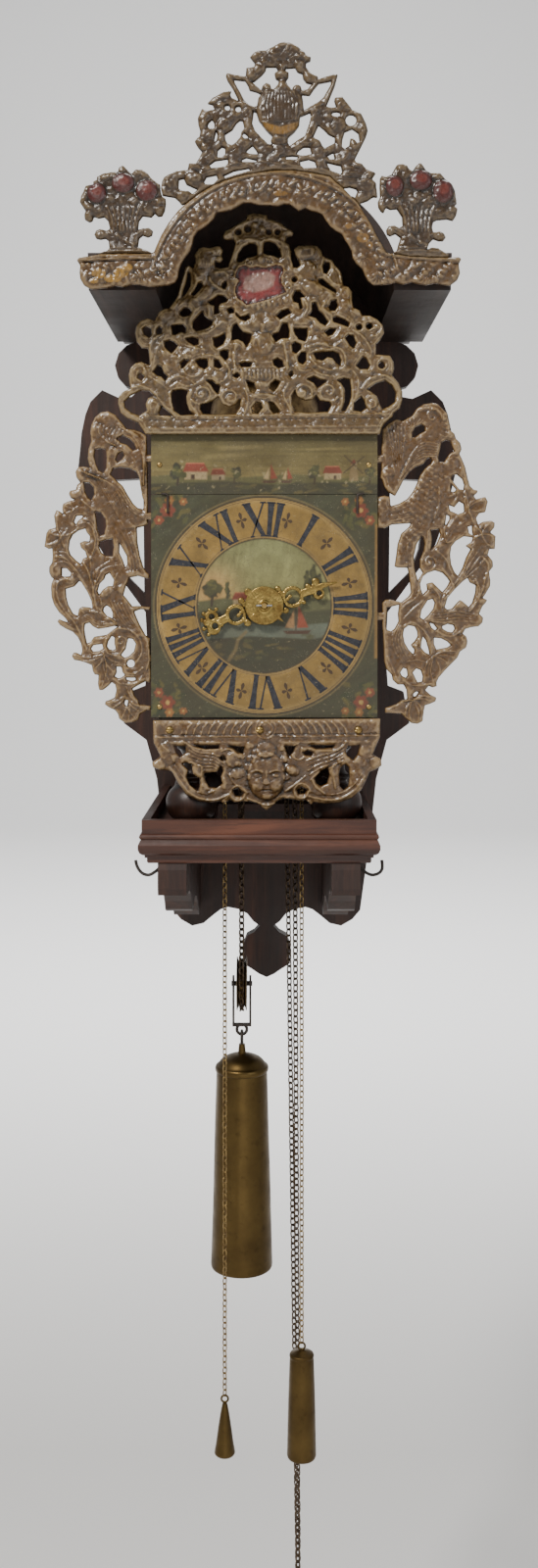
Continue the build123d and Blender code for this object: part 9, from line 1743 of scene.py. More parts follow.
def draw_apron(r):
    r.H *= 0.9
    a = Pen(r, "C18", -197.5)
    a.st(0.5, 0.7, (110, 92), (800, 88), (1490, 80), smooth=False).st(0.5, 0.6, (105, 196), (690, 192)).st(0.5, 0.6, (880, 192), (1490, 186))
    a.st(0.6, -0.5, (105, 183), (1490, 172), smooth=False)
    for q in range(9):
        x = 300 + q * 46
        a.st(0.75, 0.85, (x, 178), (x + 12, 140), (x + 44, 104))
        x = 1290 - q * 46
        a.st(0.75, 0.85, (x, 174), (x - 12, 138), (x - 44, 102))
    for rr, h in ((62, 0.7), (40, 0.7)):
        a.sp(790, 142, rr, rr, 1.0, 0, 0.5, h)
    for x, y in ((245, 150), (1395, 132)):
        a.sp(x, y, 34, 34, 1.0, 0, 0.4, 0.35)
    a.st(1.0, 0.5, (180, 228), (690, 228), smooth=False).st(1.0, 0.5, (880, 226), (1430, 222), smooth=False)
    # head: round, calm, with parted curls
    a.do(795, 430, 118, 150, 3.1, power=0.42)
    a.do(795, 375, 84, 46, 0.55).do(742, 492, 40, 36, 0.85).do(852, 490, 40, 36, 0.85).do(796, 556, 30, 20, 0.8)
    a.st(1.0, 0.65, (795, 405), (795, 462)).do(794, 470, 22, 20, 1.1).do(778, 476, 9, 8, 0.4).do(811, 476, 9, 8, 0.4)
    for s in (-1, 1):
        x = 795 + s * 58
        a.do(x, 428, 36, 22, -0.75).do(x, 432, 24, 13, 0.75).st(0.35, -0.3, (x - 24, 436), (x, 443), (x + 24, 436)).st(0.55, 0.5, (x - 34, 408), (x, 396), (x + 34, 406))
    a.st(0.45, -0.55, (762, 523), (780, 518), (795, 521), (812, 518), (830, 523)).do(795, 511, 26, 7, 0.35).do(795, 533, 20, 8, 0.4)
    a.do(790, 275, 62, 50, 1.7).st(0.4, -0.5, (745, 310), (790, 322), (850, 308)).do(735, 300, 36, 32, 1.0).do(850, 300, 36, 32, 1.0)
    for x, y, q in ((700, 330, 30), (680, 380, 28), (675, 440, 26), (690, 250, 30), (890, 260, 30), (905, 330, 30), (915, 385, 30), (918, 440, 26), (640, 310, 26), (950, 400, 30), (620, 360, 24)):
        a.do(x, y, q, q * 0.85, 0.9).sp(x, y, 4, q * 0.7, 1.0, x % 360, 0.3, 0.4)
    a.do(618, 420, 52, 32, 1.5, -10).do(955, 400, 46, 34, 1.3, 25)
    # wings
    for q in range(5):
        a.st(0.5, 0.75, (318, 250 + q * 26), (380 + q * 8, 290 + q * 22), (470, 300 + q * 20), (540 - q * 8, 330 + q * 22))
        a.st(0.5, 0.75, (1270, 250 + q * 22), (1200 - q * 4, 290 + q * 24), (1120, 310 + q * 26), (1040 + q * 6, 340 + q * 30))
    a.st(0.7, 0.8, (280, 220), (330, 250), (400, 270), (520, 270)).st(0.7, 0.8, (1290, 220), (1240, 270), (1160, 280), (1060, 270))
    a.do(588, 335, 46, 50, 1.3).st(0.8, 0.8, (520, 280), (570, 270), (620, 310)).sp(1000, 290, 30, 58, 0.9, 60, 0.8, 0.8)
    # lower scrolls and corner leaves
    a.st(1.0, 1.0, (200, 380), (250, 450), (310, 530), (390, 575), (480, 582), (560, 550)).st(0.5, 0.6, (230, 370), (290, 450), (350, 520), (430, 548))
    a.st(1.0, 1.0, (1400, 440), (1340, 520), (1260, 570), (1170, 582), (1060, 560)).st(0.5, 0.6, (1380, 420), (1320, 500), (1230, 545), (1150, 545))
    a.do(372, 405, 44, 44, 1.2).st(0.8, 0.9, (330, 350), (390, 370), (400, 430), (400, 500)).do(410, 510, 34, 34, 0.8).st(0.8, 0.8, (440, 540), (490, 510), (530, 450))
    a.st(0.8, 0.9, (1250, 340), (1200, 380), (1210, 440), (1220, 510)).do(1270, 330, 44, 36, 0.9).st(0.8, 0.8, (1150, 540), (1100, 500), (1080, 460)).do(1210, 400, 32, 40, 0.9)
    a.do(130, 365, 46, 36, 1.4).do(165, 280, 40, 50, 1.0).st(0.5, 0.6, (150, 240), (200, 290), (230, 350)).do(200, 330, 44, 34, 0.8)
    a.do(1470, 350, 40, 36, 1.4).do(1415, 285, 50, 44, 1.0).do(1370, 350, 44, 34, 0.8).do(1360, 440, 40, 60, 0.8)
    a.sp(620, 545, 40, 52, 1.0, 0, 0.7, 0.8).sp(1012, 530, 40, 52, 1.0, 0, 0.7, 0.8).do(550, 480, 40, 40, 0.7).do(640, 470, 46, 30, 0.8, 20).do(930, 500, 40, 30, 0.7, -20)
    a.st(0.7, 0.8, (560, 420), (600, 480), (680, 540)).st(0.7, 0.8, (1040, 430), (980, 480), (910, 530)).st(0.8, 0.9, (680, 575), (740, 600), (795, 612), (860, 600), (930, 565)).do(797, 622, 34, 26, 0.9)
    a.st(0.6, 0.7, (560, 560), (530, 590), (600, 596), (680, 590)).st(0.6, 0.7, (1060, 590), (980, 590), (900, 590))


DRAW["lion"] = draw_lion
DRAW["apron"] = draw_apron


def fan(a, base, tips, w=0.5, h=0.6, bend=0.12):
    """Veins of a leaf from its base to points on its rim."""
    bx, by = base
    for k, (x, y) in enumerate(tips):
        mx, my = (bx + x) / 2 + (y - by) * bend * (1 if k < len(tips) / 2 else -1), (by + y) / 2 - (x - bx) * bend * (1 if k < len(tips) / 2 else -1)
        a.st(w, h, (bx, by), (mx, my), (x, y), taper=True)


def draw_side_left(r):
    contour(r, 0.16, 2.1, 3.4)
    a = Pen(r, "C14", -188.0)
    a.do(570, 130, 90, 60, 0.9).do(480, 240, 60, 60, 0.8)
    for q in range(7):
        a.st(0.4, 0.6, (520 + q * 34, 190 + q * 6), (500 + q * 30, 250 + q * 8), (560 + q * 16, 330 + q * 6), (640, 370))
    for q in range(5):
        a.st(0.45, 0.65, (680 + q * 22, 210 + q * 8), (800 + q * 16, 300 + q * 6), (870 + q * 5, 460), (880, 700))
        a.st(0.45, 0.6, (690, 380 + q * 20), (770 - q * 4, 450 + q * 18), (830, 560 + q * 20), (870, 760))
    a.do(620, 420, 50, 40, 0.9).do(720, 520, 36, 24, 0.9).do(435, 420, 26, 40, 0.5)
    # fish tail body: long strands
    for q in range(8):
        a.st(0.5, 0.65, (350 + q * 10, 580 + q * 6), (470 + q * 18, 640 + q * 6), (560 + q * 24, 780 + q * 6), (650 + q * 16, 940 + q * 8), (720 + q * 14, 1060))
    for q in range(4):
        a.st(0.5, 0.65, (660 + q * 14, 760 - q * 18), (740 + q * 10, 880 - q * 20), (840, 960 - q * 14), (900, 990 - q * 18))
    a.row((340, 580), (350, 640), 3, 30, 20, 0.6)
    for q in range(4):
        a.st(0.45, 0.5, (640 + q * 44, 1080), (720 + q * 30, 1200), (760 + q * 28, 1330), (770 + q * 30, 1430))
    a.do(790, 1150, 60, 60, 0.7).do(790, 1450, 70, 30, 0.8)
    # flower, upper left
    fan(a, (190, 1130), [(145, 960), (80, 1090), (60, 1210), (130, 1200), (240, 1060), (330, 1060), (220, 1230)], 0.6, 0.8)
    a.do(190, 1120, 34, 34, 0.6)
    fan(a, (300, 900), [(210, 870), (220, 940), (260, 850), (250, 980), (340, 860)], 0.45, 0.6)
    a.do(310, 770, 50, 40, 0.9).st(0.6, 0.7, (360, 830), (420, 880), (470, 920)).do(450, 900, 30, 24, 0.6)
    a.st(0.6, 0.8, (330, 1030), (410, 1020), (460, 1090), (470, 1200), (430, 1330)).st(0.45, 0.6, (370, 990), (440, 1010), (480, 1100), (500, 1200))
    a.sp(360, 1215, 4, 34, 1.0, 180, 0.5, 0.7).st(0.5, 0.7, (380, 1240), (430, 1330), (430, 1480)).st(0.5, 0.7, (370, 1350), (420, 1440), (430, 1560))
    fan(a, (470, 1540), [(500, 1400), (600, 1340), (690, 1370), (660, 1450), (540, 1470)], 0.55, 0.7, 0.2)
    a.st(0.7, 0.9, (130, 1300), (220, 1320), (310, 1420), (400, 1560)).st(0.4, 0.6, (140, 1270), (230, 1270)).st(0.6, 0.8, (150, 1370), (110, 1400), (110, 1450))
    b = Pen(r, "C15", -188.0)
    b.do(130, 170, 46, 56, 0.9).st(0.6, 0.8, (150, 110), (220, 110), (290, 190), (370, 310), (430, 420)).st(0.4, 0.6, (180, 90), (260, 130), (330, 210))
    b.st(0.7, 0.9, (270, 250), (200, 240), (140, 290), (150, 400), (200, 490), (260, 560), (310, 640), (350, 730), (380, 800)).st(0.4, 0.6, (120, 300), (120, 400), (170, 490), (240, 550))
    b.st(0.5, 0.8, (170, 580), (230, 620), (290, 650)).do(240, 250, 60, 34, 0.8)
    b.st(0.7, 0.9, (360, 120), (400, 200), (430, 320), (450, 440), (470, 500)).st(0.5, 0.6, (470, 240), (440, 300), (430, 380))
    fan(b, (620, 600), [(330, 490), (360, 540), (450, 620), (520, 560), (400, 500)], 0.5, 0.7)
    b.st(0.6, 0.8, (470, 470), (540, 540), (620, 600)).do(540, 345, 60, 34, 0.9, -45).st(0.5, 0.7, (490, 400), (500, 450))
    for q in range(5):
        b.st(0.5, 0.7, (570 + q * 30, 410 + q * 10), (620 + q * 28, 520 + q * 4), (700 + q * 22, 620 + q * 2), (800 + q * 14, 700))
    b.do(660, 320, 40, 34, 0.8).st(0.5, 0.6, (740, 480), (810, 465), (880, 490))
    b.sp(655, 745, 6, 60, 1.2, 0, 0.6, 0.9).st(0.8, 0.9, (560, 690), (620, 640), (720, 650), (800, 720), (820, 820), (780, 900), (700, 960)).st(0.5, 0.6, (860, 720), (880, 850), (860, 960), (800, 1060))
    b.st(0.5, 0.7, (430, 720), (500, 720), (560, 680)).st(0.6, 0.8, (540, 720), (530, 790), (560, 840), (650, 860)).do(640, 860, 50, 30, 0.8)
    fan(b, (520, 840), [(290, 850), (330, 900), (440, 960), (490, 1120), (560, 1060), (600, 990), (640, 910), (400, 800)], 0.6, 0.8)
    b.sp(290, 850, 4, 30, 1.0, 0, 0.4, 0.6).st(0.7, 0.8, (690, 930), (690, 980), (760, 1000), (830, 950)).st(0.6, 0.7, (590, 1040), (660, 1080), (760, 1080), (840, 1040))
    b.do(840, 900, 60, 70, 0.8).st(0.5, 0.7, (700, 1110), (730, 1180), (800, 1220))
    fan(b, (690, 1170), [(545, 1230), (590, 1270), (650, 1370), (710, 1380), (770, 1360), (800, 1300), (830, 1270)], 0.6, 0.8)
    b.st(0.5, 0.6, (820, 1260), (890, 1255))


def draw_side_right(r):
    contour(r, 0.16, 2.1, 3.4)
    a = Pen(r, "C16", -188.0)
    a.sp(510, 120, 6, 70, 1.3, 90, 0.5, 0.8)
    for q in range(12):
        t = q / 11
        x, y = 400 + 250 * t + 30 * sin(3 * t), 60 - 30 * sin(pi * t) + 200 * t * t
        a.do(x, y, 22, 22, 0.7)
    for q in range(6):
        a.st(0.35, 0.5, (600 - q * 6, 100 + q * 36), (650 - q * 4, 120 + q * 36))
    for q in range(6):
        a.st(0.45, 0.65, (560 - q * 6, 360 + q * 20), (440 - q * 6, 340 + q * 26), (340 - q * 8, 430 + q * 26), (250 - q * 6, 600 + q * 14))
    for q in range(6):
        a.st(0.45, 0.6, (110 + q * 34, 190 + (q % 2) * 14), (140 + q * 26, 300), (170 + q * 16, 460), (190 + q * 8, 640))
        a.st(0.4, 0.55, (300 + q * 26, 130 + q * 4), (290 + q * 14, 220), (260 + q * 10, 330))
    a.do(140, 590, 60, 40, 0.9).do(110, 610, 24, 20, 0.6).do(170, 720, 46, 50, 0.6)
    a.st(0.5, 0.6, (120, 640), (140, 720), (180, 780)).do(700, 400, 50, 50, 0.9).do(650, 270, 40, 40, 0.8)
    # fish body with scales
    rr = np.random.default_rng(4)
    for i in range(13):
        for j in range(6):
            t = i / 12
            x = 500 - 250 * t + (j - 2.5) * 38 * (1 - 0.15 * t) + 20
            y = 570 + 560 * t + (j - 2.5) * 24
            a.do(x + (19 if i % 2 else 0), y, 21, 15, 0.45, 35)
    a.do(520, 560, 70, 50, 0.6).do(660, 520, 60, 50, 0.6).st(0.6, 0.6, (560, 720), (560, 860), (520, 980)).st(0.6, 0.6, (640, 480), (720, 470), (770, 570), (800, 700))
    for q in range(3):
        a.st(0.45, 0.5, (330, 860 + q * 50), (240, 900 + q * 44), (160, 920 + q * 40))
        a.st(0.45, 0.5, (330 - q * 20, 1140), (280 + q * 10, 1250), (270 + q * 20, 1380))
    a.do(90, 900, 50, 90, 0.6).do(560, 1020, 50, 40, 0.7).st(0.5, 0.6, (470, 1090), (460, 1180), (450, 1260))
    fan(a, (620, 1190), [(640, 980), (720, 960), (790, 1000), (790, 1090), (700, 1130)], 0.5, 0.6)
    fan(a, (720, 740), [(640, 800), (670, 870), (700, 790)], 0.5, 0.7)
    fan(a, (800, 900), [(780, 800), (850, 830), (950, 830), (930, 910), (840, 960)], 0.5, 0.7)
    a.st(0.6, 0.8, (780, 760), (810, 900), (850, 1010), (890, 1070)).do(860, 755, 36, 24, 0.7)
    fan(a, (920, 1120), [(930, 1020), (1010, 1010), (1030, 1140), (1020, 1230), (800, 1210), (860, 1050)], 0.6, 0.8)
    a.do(920, 1115, 40, 36, 0.7)
    for q in range(4):
        a.st(0.5, 0.7, (850 + q * 30, 1240 + q * 30), (800 + q * 26, 1330 + q * 26), (760 + q * 10, 1450 + q * 10))
    a.sp(850, 1480, 4, 44, 1.1, 200, 0.5, 0.7).do(960, 1370, 50, 60, 0.8)
    a.sp(480, 1350, 6, 64, 1.2, 0, 0.7, 0.9).st(0.6, 0.7, (540, 1250), (620, 1330), (680, 1470)).do(480, 1360, 40, 40, 0.7)
    b = Pen(r, "C17", -188.0)
    b.st(0.7, 0.9, (560, 160), (620, 240), (650, 320), (580, 400)).st(0.7, 0.9, (880, 60), (930, 140), (900, 240), (880, 330), (830, 430), (780, 500)).st(0.45, 0.6, (820, 240), (860, 330), (820, 420))
    b.do(460, 290, 36, 30, 0.8).st(0.6, 0.8, (480, 300), (530, 370), (540, 450)).st(0.5, 0.7, (690, 240), (620, 330), (560, 400), (550, 470))
    for q in range(4):
        b.st(0.45, 0.65, (450, 545 + q * 8), (560, 520 + q * 24), (680, 500 + q * 26), (790, 520 + q * 20))
    b.do(700, 440, 44, 40, 0.8).do(830, 560, 60, 44, 0.8).do(880, 420, 40, 20, 0.6)
    b.st(0.6, 0.8, (430, 590), (520, 660), (600, 700), (680, 680), (740, 620)).do(700, 740, 70, 40, 0.9, 30).sp(740, 720, 4, 40, 1.0, 0, 0.5, 0.7)
    fan(b, (490, 860), [(660, 820), (670, 880), (620, 940), (540, 1020), (500, 1100), (450, 1040), (420, 960)], 0.6, 0.8)
    b.st(0.6, 0.8, (470, 840), (460, 740), (400, 640), (320, 590), (250, 620)).sp(345, 760, 5, 44, 1.2, 90, 0.6, 0.8).st(0.6, 0.7, (350, 660), (380, 720), (380, 780))
    b.st(0.6, 0.7, (230, 480), (280, 440), (350, 390), (380, 320)).st(0.6, 0.7, (250, 560), (330, 480), (400, 420)).st(0.5, 0.6, (90, 430), (150, 420), (210, 460))
    for q in range(4):
        b.st(0.5, 0.6, (200 + q * 12, 620 + q * 10), (160 + q * 22, 720), (180 + q * 24, 820), (240 + q * 20, 900))
    b.st(0.6, 0.7, (120, 860), (160, 950), (200, 1060)).do(190, 1050, 34, 34, 0.6).st(0.6, 0.7, (280, 900), (350, 890), (420, 900)).do(300, 980, 34, 40, 0.6)
    b.st(0.6, 0.7, (250, 1050), (310, 1090), (400, 1090), (470, 1080)).do(300, 1130, 36, 40, 0.6)
    fan(b, (320, 1210), [(500, 1190), (490, 1230), (400, 1290), (370, 1390), (310, 1390), (260, 1350), (130, 1290), (220, 1240)], 0.6, 0.8)


DRAW["side_left"] = draw_side_left
DRAW["side_right"] = draw_side_right


MAROON = (0.060, 0.007, 0.005, 1.0)
OCHRE = (0.50, 0.29, 0.07, 0.75)


def draw_crest(r):
    contour(r, 0.12, 2.0, 3.0)
    a = Pen(r, "C9", -236.0)
    # urn
    a.do(752, 650, 190, 235, 2.6, power=0.45)
    for q in range(10):
        x = 620 + q * 30
        k = (x - 752) / 190
        a.st(0.55, 0.6, (752 + k * 150, 505), (752 + k * 185, 600), (752 + k * 170, 725))
    a.st(0.7, 0.8, (600, 742), (680, 770), (752, 778), (830, 770), (905, 742)).st(0.4, -0.5, (600, 726), (752, 752), (905, 726))
    a.flat([(610, 745), (752, 785), (900, 745), (880, 800), (800, 840), (752, 848), (690, 835), (630, 800)], 0.0, (0.26, 0.13, 0.015, 0.8), 1.2, "add")
    for q in range(9):
        a.do(640 + q * 28, 800 - abs(q - 4) * 5, 12, 26, 0.4)
    a.do(768, 440, 34, 60, 0.9).do(765, 355, 62, 34, 1.4).st(0.4, -0.4, (710, 362), (765, 372), (820, 362)).do(645, 445, 36, 36, 1.1).do(890, 455, 34, 34, 1.1)
    a.do(745, 885, 70, 34, 1.2).do(745, 960, 42, 50, 0.9).st(0.4, 0.5, (690, 905), (745, 915), (805, 905))
    # foliage over the urn
    for x, y, p, q, h in ((560, 205, 50, 34, 1.0), (620, 230, 44, 40, 0.9), (700, 160, 60, 44, 1.2), (770, 130, 60, 40, 1.1), (850, 150, 60, 46, 1.2), (920, 200, 50, 36, 1.0), (970, 220, 30, 24, 0.8), (700, 220, 44, 34, 0.9),
                          (780, 200, 50, 40, 1.0), (860, 220, 46, 36, 0.9), (560, 320, 40, 36, 0.9), (520, 360, 36, 30, 0.8), (900, 280, 44, 40, 0.9), (980, 370, 44, 36, 0.9), (1020, 400, 26, 22, 0.6)):
        a.do(x, y, p, q, h, (x * 7) % 60 - 30)
    for x0, x1 in ((560, 700), (700, 800), (800, 950)):
        a.st(0.4, -0.5, (x0, 240), ((x0 + x1) / 2, 200), (x1, 130 if x1 < 900 else 190))
    # handles
    for pts in ([(330, 350), (400, 480), (450, 580), (540, 620)], [(340, 350), (440, 375), (520, 440), (600, 490)], [(1200, 360), (1150, 500), (1090, 590), (950, 650)], [(1190, 360), (1060, 400), (990, 490), (930, 490)]):
        a.st(0.6, 0.5, *pts)
    # leafy clumps
    for x, y, p, q, h in ((300, 520, 60, 34, 1.0), (230, 560, 50, 26, 0.8), (290, 620, 50, 40, 1.0), (330, 690, 60, 50, 1.2), (300, 760, 56, 50, 1.3), (400, 660, 40, 40, 0.9), (440, 600, 40, 30, 0.8), (490, 660, 40, 44, 0.9),
                          (140, 690, 44, 40, 0.9), (130, 760, 34, 40, 0.8), (160, 840, 46, 46, 1.1), (110, 890, 40, 30, 0.9), (150, 940, 34, 30, 0.9), (280, 850, 30, 44, 0.8), (180, 1000, 50, 40, 0.9), (380, 960, 60, 44, 1.0), (460, 900, 50, 40, 0.9),
                          (540, 840, 44, 40, 0.8), (600, 900, 50, 36, 0.8), (640, 960, 60, 34, 0.9), (380, 1040, 46, 40, 0.8), (700, 1020, 60, 36, 0.9), (800, 1050, 60, 34, 0.9), (1230, 580, 44, 50, 1.0), (1290, 600, 44, 40, 0.8), (1110, 640, 50, 36, 1.0),
                          (1050, 620, 36, 44, 0.9), (1150, 700, 56, 44, 1.1), (1220, 760, 60, 56, 1.3), (1160, 780, 44, 40, 0.9), (1370, 700, 46, 40, 0.9), (1410, 800, 34, 60, 0.9), (1350, 920, 40, 50, 1.0), (1240, 900, 30, 60, 0.8), (1040, 900, 50, 46, 1.0),
                          (1080, 980, 50, 44, 0.9), (970, 880, 50, 40, 0.9), (1260, 1010, 60, 40, 1.0), (1380, 1060, 50, 36, 1.1), (1320, 1120, 70, 30, 0.9), (60, 1090, 60, 26, 0.9), (160, 1110, 60, 26, 0.9), (60, 1180, 70, 40, 1.0), (260, 1060, 40, 20, 0.6),
                          (1440, 1180, 60, 30, 1.0), (1480, 1120, 40, 30, 0.8), (1010, 680, 34, 60, 0.8), (960, 820, 30, 50, 0.7), (490, 760, 34, 60, 0.8)):
        a.do(x, y, p, q, h, (x * 13) % 90 - 45)
        a.st(0.3, -0.35, (x - p * 0.7, y + q * 0.5), (x, y), (x + p * 0.6, y - q * 0.5))
    for q in range(4):
        a.st(0.4, 0.5, (1200, 1140 + q * 24), (1340, 1150 + q * 22), (1480, 1170 + q * 18))
    a.st(0.6, 0.7, (20, 1200), (200, 1130), (400, 1070), (560, 1050), (760, 1075), (900, 1090), (1100, 1120), (1250, 1170))
    b = Pen(r, "C10", -236.0)
    b.do(790, 240, 34, 26, 0.8).st(0.7, 0.8, (790, 240), (870, 195), (960, 190), (1060, 205)).do(1000, 250, 70, 50, 1.1).do(1060, 235, 34, 26, 0.8).do(910, 385, 46, 44, 1.1).do(820, 290, 44, 40, 0.8)
    c = Pen(r, "C11", -236.0)
    c.do(780, 290, 60, 50, 1.1).do(740, 370, 40, 34, 0.8).do(720, 130, 40, 26, 0.9).do(830, 250, 50, 40, 0.8).do(640, 200, 60, 26, 0.6)


def draw_baskets(r):
    contour(r, 0.12, 2.0, 3.0)
    for crop, fruit, lobes, base in (
            ("C10", ((225, 370, 78, 84), (435, 290, 92, 82), (625, 350, 88, 88)),
             ((110, 400), (130, 320), (200, 280), (290, 230), (350, 220), (425, 165), (540, 200), (610, 210), (680, 250), (740, 300), (800, 300), (840, 260), (820, 350), (150, 540), (160, 470), (230, 490), (640, 500), (720, 500), (740, 430), (330, 410), (480, 380), (700, 440), (600, 460), (520, 430)), (320, 590)),
            ("C11", ((990, 300, 70, 84), (1190, 255, 88, 78), (1360, 340, 78, 92)),
             ((900, 250), (880, 330), (900, 450), (960, 420), (1050, 150), (1090, 200), (1185, 140), (1300, 210), (1340, 220), (1420, 290), (1450, 380), (1450, 470), (1410, 510), (1340, 490), (1090, 350), (1240, 370), (1280, 400), (1010, 410), (940, 230), (1180, 370), (1140, 420), (1240, 430)), (1060, 560))):
        a = Pen(r, crop, -236.0)
        for i, (x, y) in enumerate(lobes):
            a.do(x, y, 42, 34, 0.9, (i * 37) % 90 - 45)
            a.st(0.3, -0.35, (x - 20, y + 10), (x, y), (x + 20, y - 12))
        for x, y, p, q in fruit:
            a.do(x, y, p, q, 3.0, 0, MAROON, 0.5)
            # painted highlight: a small lighter red spot up and to the right on each fruit
            a.do(x + 4, y - 14, p * 0.5, q * 0.45, 0.15, 0, (0.145, 0.022, 0.016, 0.85))
        cx = 440 if crop == "C10" else 1165
        dy = 0 if crop == "C10" else -30
        for q in range(7):
            k = (q - 3) / 3
            a.st(0.7, 0.8, (cx + k * 130, 480 + dy), (cx + k * 100, 560 + dy), (cx + k * 84, 670 + dy))
        a.do(cx - 15, 640 + dy, 34, 46, 0.9).do(cx - 20, 425 + dy, 50, 40, 0.8)
        for s in (-1, 1):
            a.sp(cx + s * 190 - 6, 695 + dy, 4, 34, 1.0, 0, 0.5, 0.8, s < 0).st(0.6, 0.7, (cx + s * 110, 690 + dy), (cx + s * 150, 660 + dy), (cx + s * 200, 655 + dy))
        for i in range(12):
            a.do(cx - 90 + (i * 53) % 180, 690 + dy + (i * 31) % 110, 22, 16, 0.5, i * 30)
        a.st(0.8, 0.8, (cx - 200, 840 + dy * 1.4), (cx, 828 + dy * 1.4), (cx + 200, 832 + dy * 1.4)).st(0.5, 0.6, (cx - 150, 812 + dy * 1.4), (cx, 805 + dy * 1.4), (cx + 150, 808 + dy * 1.4))


def draw_border2(r):
    cx, cz = 8.1, 223.5
    r.stroke(arc_pts(cx, cz, 92.3, 14, 166), 0.75, 1.1, False)
    r.stroke(arc_pts(cx, cz, 90.3, 14, 166), 0.45, -0.7, False)
    a = Pen(r, "C10", -236.0)
    c = Pen(r, "C11", -236.0)
    a.st(0.7, 1.2, (80, 905), (300, 893), (500, 886), (690, 880)).st(0.45, -0.8, (80, 925), (300, 912), (690, 900)).st(0.6, 0.8, (110, 880), (300, 868), (650, 862))
    c.st(0.7, 1.2, (930, 815), (1150, 835), (1490, 858)).st(0.45, -0.8, (930, 838), (1150, 856), (1480, 885)).st(0.6, 0.7, (1000, 790), (1200, 808), (1400, 822))
    rg_ = np.random.default_rng(12)
    for k in range(46):
        t = radians(10 + 160 * k / 45)
        rr_ = 84.6 + rg_.uniform(-1.5, 1.5)
        x, z = cx + rr_ * cos(t), cz + rr_ * sin(t)
        r.dome(x, z, rg_.uniform(1.8, 3.4), rg_.uniform(1.0, 1.8), rg_.uniform(0.5, 1.0), t + rg_.uniform(-0.9, 0.9))
        if k % 2 == 0:
            r.stroke([(x - 2.6 * sin(t) - 2 * cos(t), z + 2.6 * cos(t) - 2 * sin(t)), (x, z), (x + 2.8 * sin(t) + 2.4 * cos(t), z - 2.8 * cos(t) + 2.4 * sin(t))], 0.45, 0.7)
        if k % 3 == 0:
            r.spiral(cx + 82 * cos(t), cz + 82 * sin(t), 0.3, 2.2, 1.0, t, 0.4, 0.6, k % 2 == 0)
    for k in range(34):
        t = radians(8 + 164 * k / 33)
        x, z = cx + (79.6 + rg_.uniform(-0.8, 0.8)) * cos(t), cz + (79.6 + rg_.uniform(-0.8, 0.8)) * sin(t)
        r.dome(x, z, 2.2, 1.5, 0.9, t + pi / 2)
    # ends of the cornice: shells and running leaves
    for pen, cx_, cy_, rad, a0 in ((a, 770, 960, 105, 200), (a, 560, 1000, 80, 200), (c, 740, 830, 84, 200), (c, 870, 960, 105, 200), (c, 1230, 960, 90, 220)):
        for q in range(7):
            t = radians(20 + q * 23)
            pen.st(0.45, 0.75, (cx_ + 24 * cos(t), cy_ + 24 * sin(t)), (cx_ + rad * 0.6 * cos(t), cy_ + rad * 0.6 * sin(t)), (cx_ + rad * cos(t + 0.1), cy_ + rad * sin(t + 0.1)), taper=True)
        pen.do(cx_, cy_, 24, 20, 0.9)
    for k in range(34):
        a.do(110 + (k * 83) % 640, 940 + (k * 47) % 150, 26, 18, 0.75, (k * 37) % 180)
        c.do(930 + (k * 83) % 530, 880 + (k * 47) % 130, 26, 18, 0.75, (k * 41) % 180)
    for x, y, p, q in ((240, 1010, 60, 44), (330, 1050, 50, 34), (420, 1000, 66, 48), (470, 960, 44, 34), (380, 1050, 46, 30), (200, 1070, 40, 24)):
        a.do(x, y, p, q, 0.5, 0, (0.36, 0.19, 0.02, 0.75))
    for x, y, p, q in ((750, 690, 50, 40), (800, 740, 30, 26), (120, 350, 60, 24), (640, 600, 30, 24)):
        c.do(x, y, p, q, 0.3, 0, (0.28, 0.14, 0.02, 0.6))


DRAW["crest"] = draw_crest
DRAW["baskets"] = draw_baskets
DRAW["border"] = draw_border2
make_castings()

# ------------------------------------------------------------------ finishes on the CAD nodes that stay
NODE_MAT = {
    "backboard": WOOD_DARK, "hanger_plate": IRON, "hood_front_board": WOOD_HOOD, "hood_vault": WOOD_HOOD, "hood_roof_boards": WOOD_HOOD, "hood_soffits": WOOD_HOOD,
    "hood_sides": WOOD_HOOD, "tray_front": WOOD_TRAY, "tray_sides": WOOD_TRAY_Y, "tray_floor": WOOD_TRAY_Y, "tray_brackets": WOOD_DARK, "bottom_plate": IRON_SHEET,
    "top_plate": IRON_SHEET, "frame_pillars": IRON_SHEET, "movement_bars": IRON_SHEET, "crest_brackets": IRON, "side_door_left": IRON_SHEET, "side_door_right": IRON_SHEET,
    "door_hinge_pins": IRON, "going_great_wheel": BRASS, "going_second_wheel": BRASS, "escape_wheel": BRASS, "hour_wheel": BRASS, "strike_great_wheel": BRASS,
    "strike_pin_wheel": BRASS, "strike_fly": BRASS, "alarm_chain_wheel": BRASS, "cocks": IRON, "anchor_and_crutch": IRON, "pendulum": BRASS_DARK, "bell_post": IRON,
    "strike_hammer": IRON, "alarm_hammer": IRON, "pulley_stirrup": IRON}
BEV = {"hood_roof_boards": 0.0012, "hood_soffits": 0.001, "hood_sides": 0.0012, "tray_brackets": 0.0022, "tray_floor": 0.0006, "backboard": 0.0016, "bottom_plate": 0.0004,
       "top_plate": 0.0004, "frame_pillars": 0.0007, "pulley_stirrup": 0.0006, "side_door_left": 0.0003, "side_door_right": 0.0003}
for n, o in NODES.items():
    if o.hide_render:
        if not o.data.materials:
            o.data.materials.append(IRON)
        continue
    m = NODE_MAT.get(n, IRON)
    o.data.materials.clear()
    o.data.materials.append(m)
    if n in BEV:
        bv = o.modifiers.new("edge", "BEVEL")
        bv.width = BEV[n]
        bv.segments = 2
        bv.limit_method = "ANGLE"
        bv.angle_limit = radians(50)
        bv.harden_normals = False

